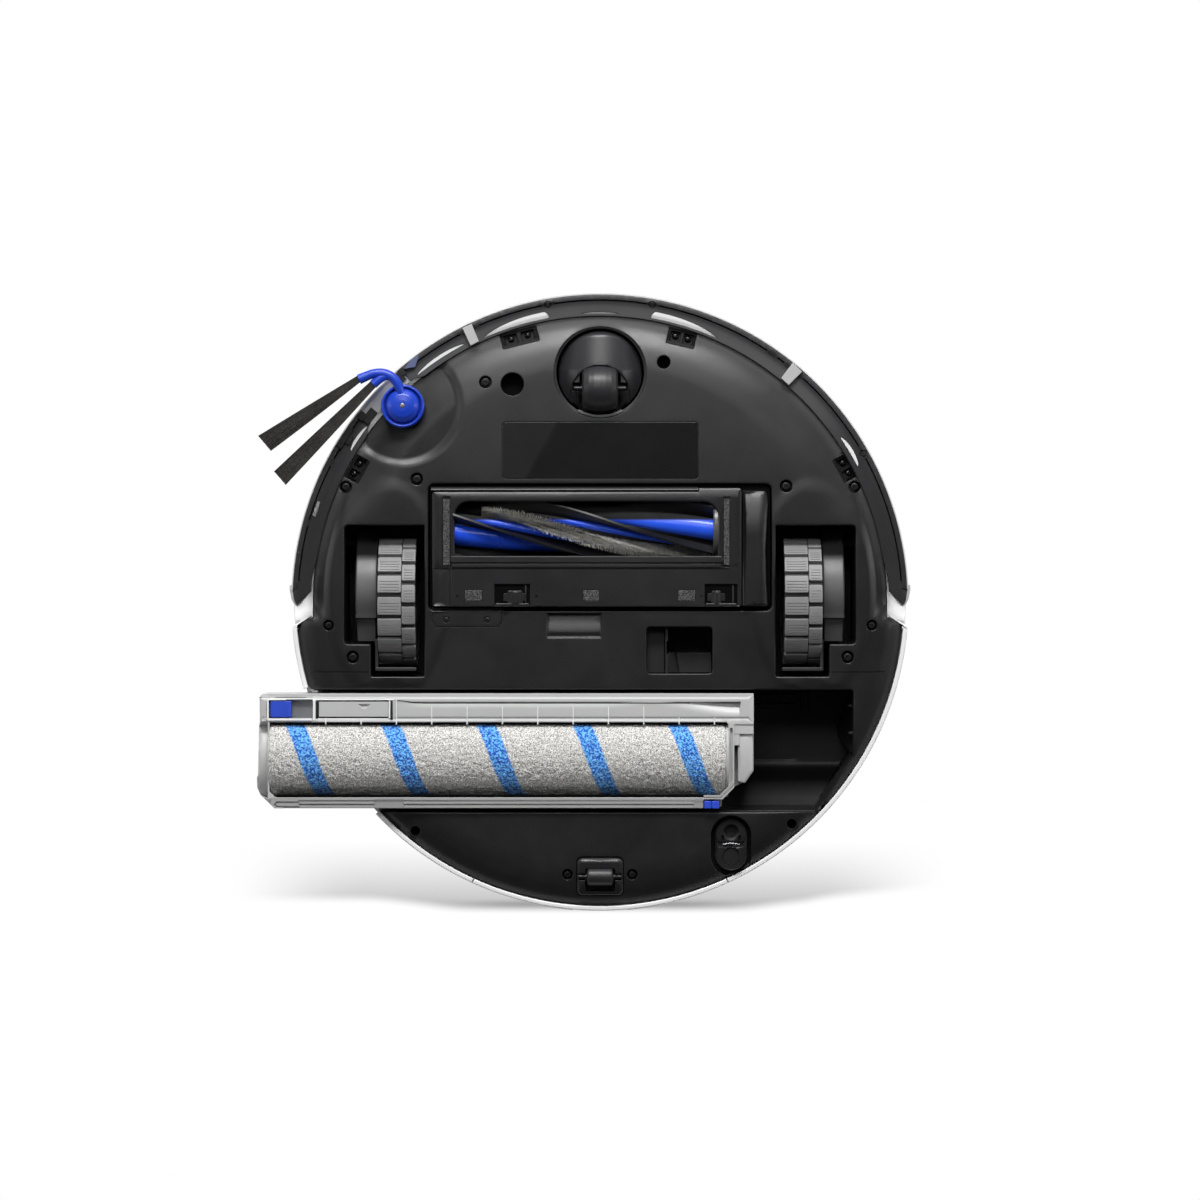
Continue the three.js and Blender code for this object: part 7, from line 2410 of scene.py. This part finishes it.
# ---------------------------------------------------------------- inside
dress("dust_bin", M["smoke"], 0.5)
bb = MB()
RIM = rrect(-87.6, 87.6, -63.6, 43.2, 2.2, 5)
RIN_ = rrect(-84.6, 84.6, -60.6, 40.2, 1.6, 5)
prev = first_ = None
for lp_, z in [(RIM, 73.6), (RIM, 74.6), (offset(RIM, -0.3), 74.9), (offset(RIN_, 0.3), 74.9), (RIN_, 74.6), (RIN_, 73.6)]:
    idx = bb.verts([(x, y, z) for x, y in lp_])
    if prev:
        bb.strip(prev, idx)
    else:
        first_ = idx
    prev = idx
bb.strip(prev, first_)
block(bb, -22, 22, 30.6, 40.6, 73.7, 75.4, 0.6, 2.0)
piece(bb, "bin_rim", M["trim"], "bin", ())
# pleated filter in a frame
bf = MB()
pl = []
for q in range(33):
    yy = -57.0 + q * 2.9
    pl.append((yy, 70.3 if q % 2 else 62.0))
th_ = 0.5
lpp = pl + [(y, z - 1.0) for y, z in pl[::-1]]
slab_dir(bf, ccw(lpp), 66.6, 83.4, along_x, 0.0, 1)
piece(bf, "filter_pleats", plastic("filter_paper", "#d9d6cc", 0.9, 0.6, 900, 0.1), "bin", ["bin_filter"], angle=30)
bg = MB()
for a, b, c, d in ((66.2, 83.8, -57.8, -56.2), (66.2, 83.8, 36.2, 37.8), (66.2, 67.4, -57.8, 37.8), (82.6, 83.8, -57.8, 37.8)):
    block(bg, a, b, c, d, 56.4, 70.8, 0.3)
piece(bg, "filter_frame", M["trim"], "bin", ())
dress("battery_pack", M["wrap"], 1.4, 4)
ba = MB()
block(ba, -30, 30, -119, -103, 70.9, 71.3, 0.15, 1.5)
piece(ba, "battery_blank_label", M["whitedim"], "chassis", ())
bc = MB()
for q in range(4):
    tube(bc, curve_pts([(70, -116 + q * 2.2, 66), (76, -115 + q * 2.0, 66.5), (79, -108 + q * 1.5, 62), (77, -99 + q, 58)], 6), 0.75, 8)
block(bc, 69, 73.5, -117.6, -107.6, 63.5, 68.5, 0.5)
piece(bc, "battery_leads", M["trim"], "chassis", ())
# fan: snail housing, inlet lip and blades
fa = MB()
lathe(fa, fil_prof([(0, 20), (22, 20), (25.6, 22.5), (25.9, 28), (25.6, 38), (23.5, 43), (14, 43.8), (12.6, 42.6), (12.0, 41), (12.0, 36), (0, 36)], [0, 1.5, 2, 2, 2, 1.5, 0.5, 0.5, 0.5, 0.5, 0], 5), 96, cx=-60, cy=-108)
block(fa, -62, -36, -97, -84.5, 24, 40, 1.2, 2)
piece(fa, "fan_housing", M["trim"], "chassis", ["suction_fan"])
fb = MB()
for q in range(11):
    p_ = MB()
    block(p_, 3.2, 11.6, -0.35, 0.35, 36.0, 41.6, 0.15)
    a = TAU * q / 11
    fb.add(p_, lambda p, a=a: (-60 + (p[0] * math.cos(a + p[0] * 0.05) - p[1] * math.sin(a)), -108 + (p[0] * math.sin(a + p[0] * 0.05) + p[1] * math.cos(a)), p[2]))
lathe(fb, fil_prof([(0, 36), (3.4, 36), (3.2, 41), (2, 42.4), (0, 42.6)], 0.4, 3), 40, cx=-60, cy=-108)
piece(fb, "fan_impeller", M["grey"], "chassis", ())
# board
bo = MB()
slab(bo, rrect(-69.8, 69.8, -93.8, -71.2, 2, 4), 55.05, 56.55, 0.1, 0.1, 2)
piece(bo, "board_plate", M["board"], "chassis", ["main_board"])
bp_ = MB()
R3 = np.random.default_rng(7)
for a, b, w, d, h in ((-45, -84, 14, 12, 1.4), (-20, -80, 9, 9, 1.2), (10, -86, 7, 5, 1.1), (38, -82, 12, 8, 1.5), (-60, -78, 8, 4, 5.5), (58, -77, 7, 9, 6.5), (0, -75.4, 16, 4.2, 6.0), (25, -75.6, 10, 4.2, 6.0)):
    block(bp_, a - w / 2, a + w / 2, b - d / 2, b + d / 2, 56.4, 56.5 + h, 0.25, 0.3)
for q in range(46):
    a, b = R3.uniform(-66, 66), R3.uniform(-91.5, -73)
    block(bp_, a, a + 1.4, b, b + 0.8, 56.4, 57.1, 0.1)
piece(bp_, "board_parts", M["gloss"], "chassis", ())
bk = MB()
for a, b in ((-32, -89), (-26, -89), (50, -89.5), (14, -90)):
    lathe(bk, fil_prof([(0, 56.4), (2.2, 56.4), (2.2, 63.2), (2.0, 64.0), (0, 64.0)], 0.3, 3), 28, cx=a, cy=b)
piece(bk, "board_capacitors", M["steel"], "chassis", ())
for nm in ("clean_water_tank", "dirty_water_tank"):
    dress(nm, M["smoke"], 0.7)
cp = MB()
for x_ in (-53, 53):
    lathe(cp, fil_prof([(0, 74.4), (6.4, 74.4), (8.6, 74.0), (8.8, 73.2), (8.6, 70.6), (0, 70.6)], 0.5, 3), 60, cx=x_, cy=138)
    block(cp, x_ - 6.0, x_ + 6.0, 137.2, 138.8, 74.0, 75.2, 0.4, 0.6)
piece(cp, "tank_plugs", M["blue2"], "chassis", (), weld=0.0005)
mm2 = MB()
lathe(mm2, fil_prof([(0, 46.5), (2.0, 46.5), (2.0, 48.3), (8.6, 48.3), (10.9, 49.6), (10.9, 84.6), (10.2, 86.0), (4.0, 86.4), (4.0, 89.8), (0, 89.8)], 0.4, 3), 60, to=axis_x(-83, 30))
piece(mm2, "brush_motor_can", M["steel"], "chassis", ["main_brush_motor"])
dress("side_brush_motor", M["steel"], 0.4)
# the low front light is weaker on the upright front wall, which faces it squarely
KEY.light_linking.receiver_collection = group_of("lit_underside", [rear, floor, bumper_cover, crown], "EXCLUDE")
NOTCH = area("key_notch", (0.0, -0.02, -2.0), C0, 0.3, 0.3, 26, NOT_STAGE)
NOTCH.light_linking.receiver_collection = group_of("lit_notch", [crown], "INCLUDE")
KEY_WALL.light_linking.receiver_collection = group_of("lit_wall", [bumper_cover, crown], "INCLUDE")
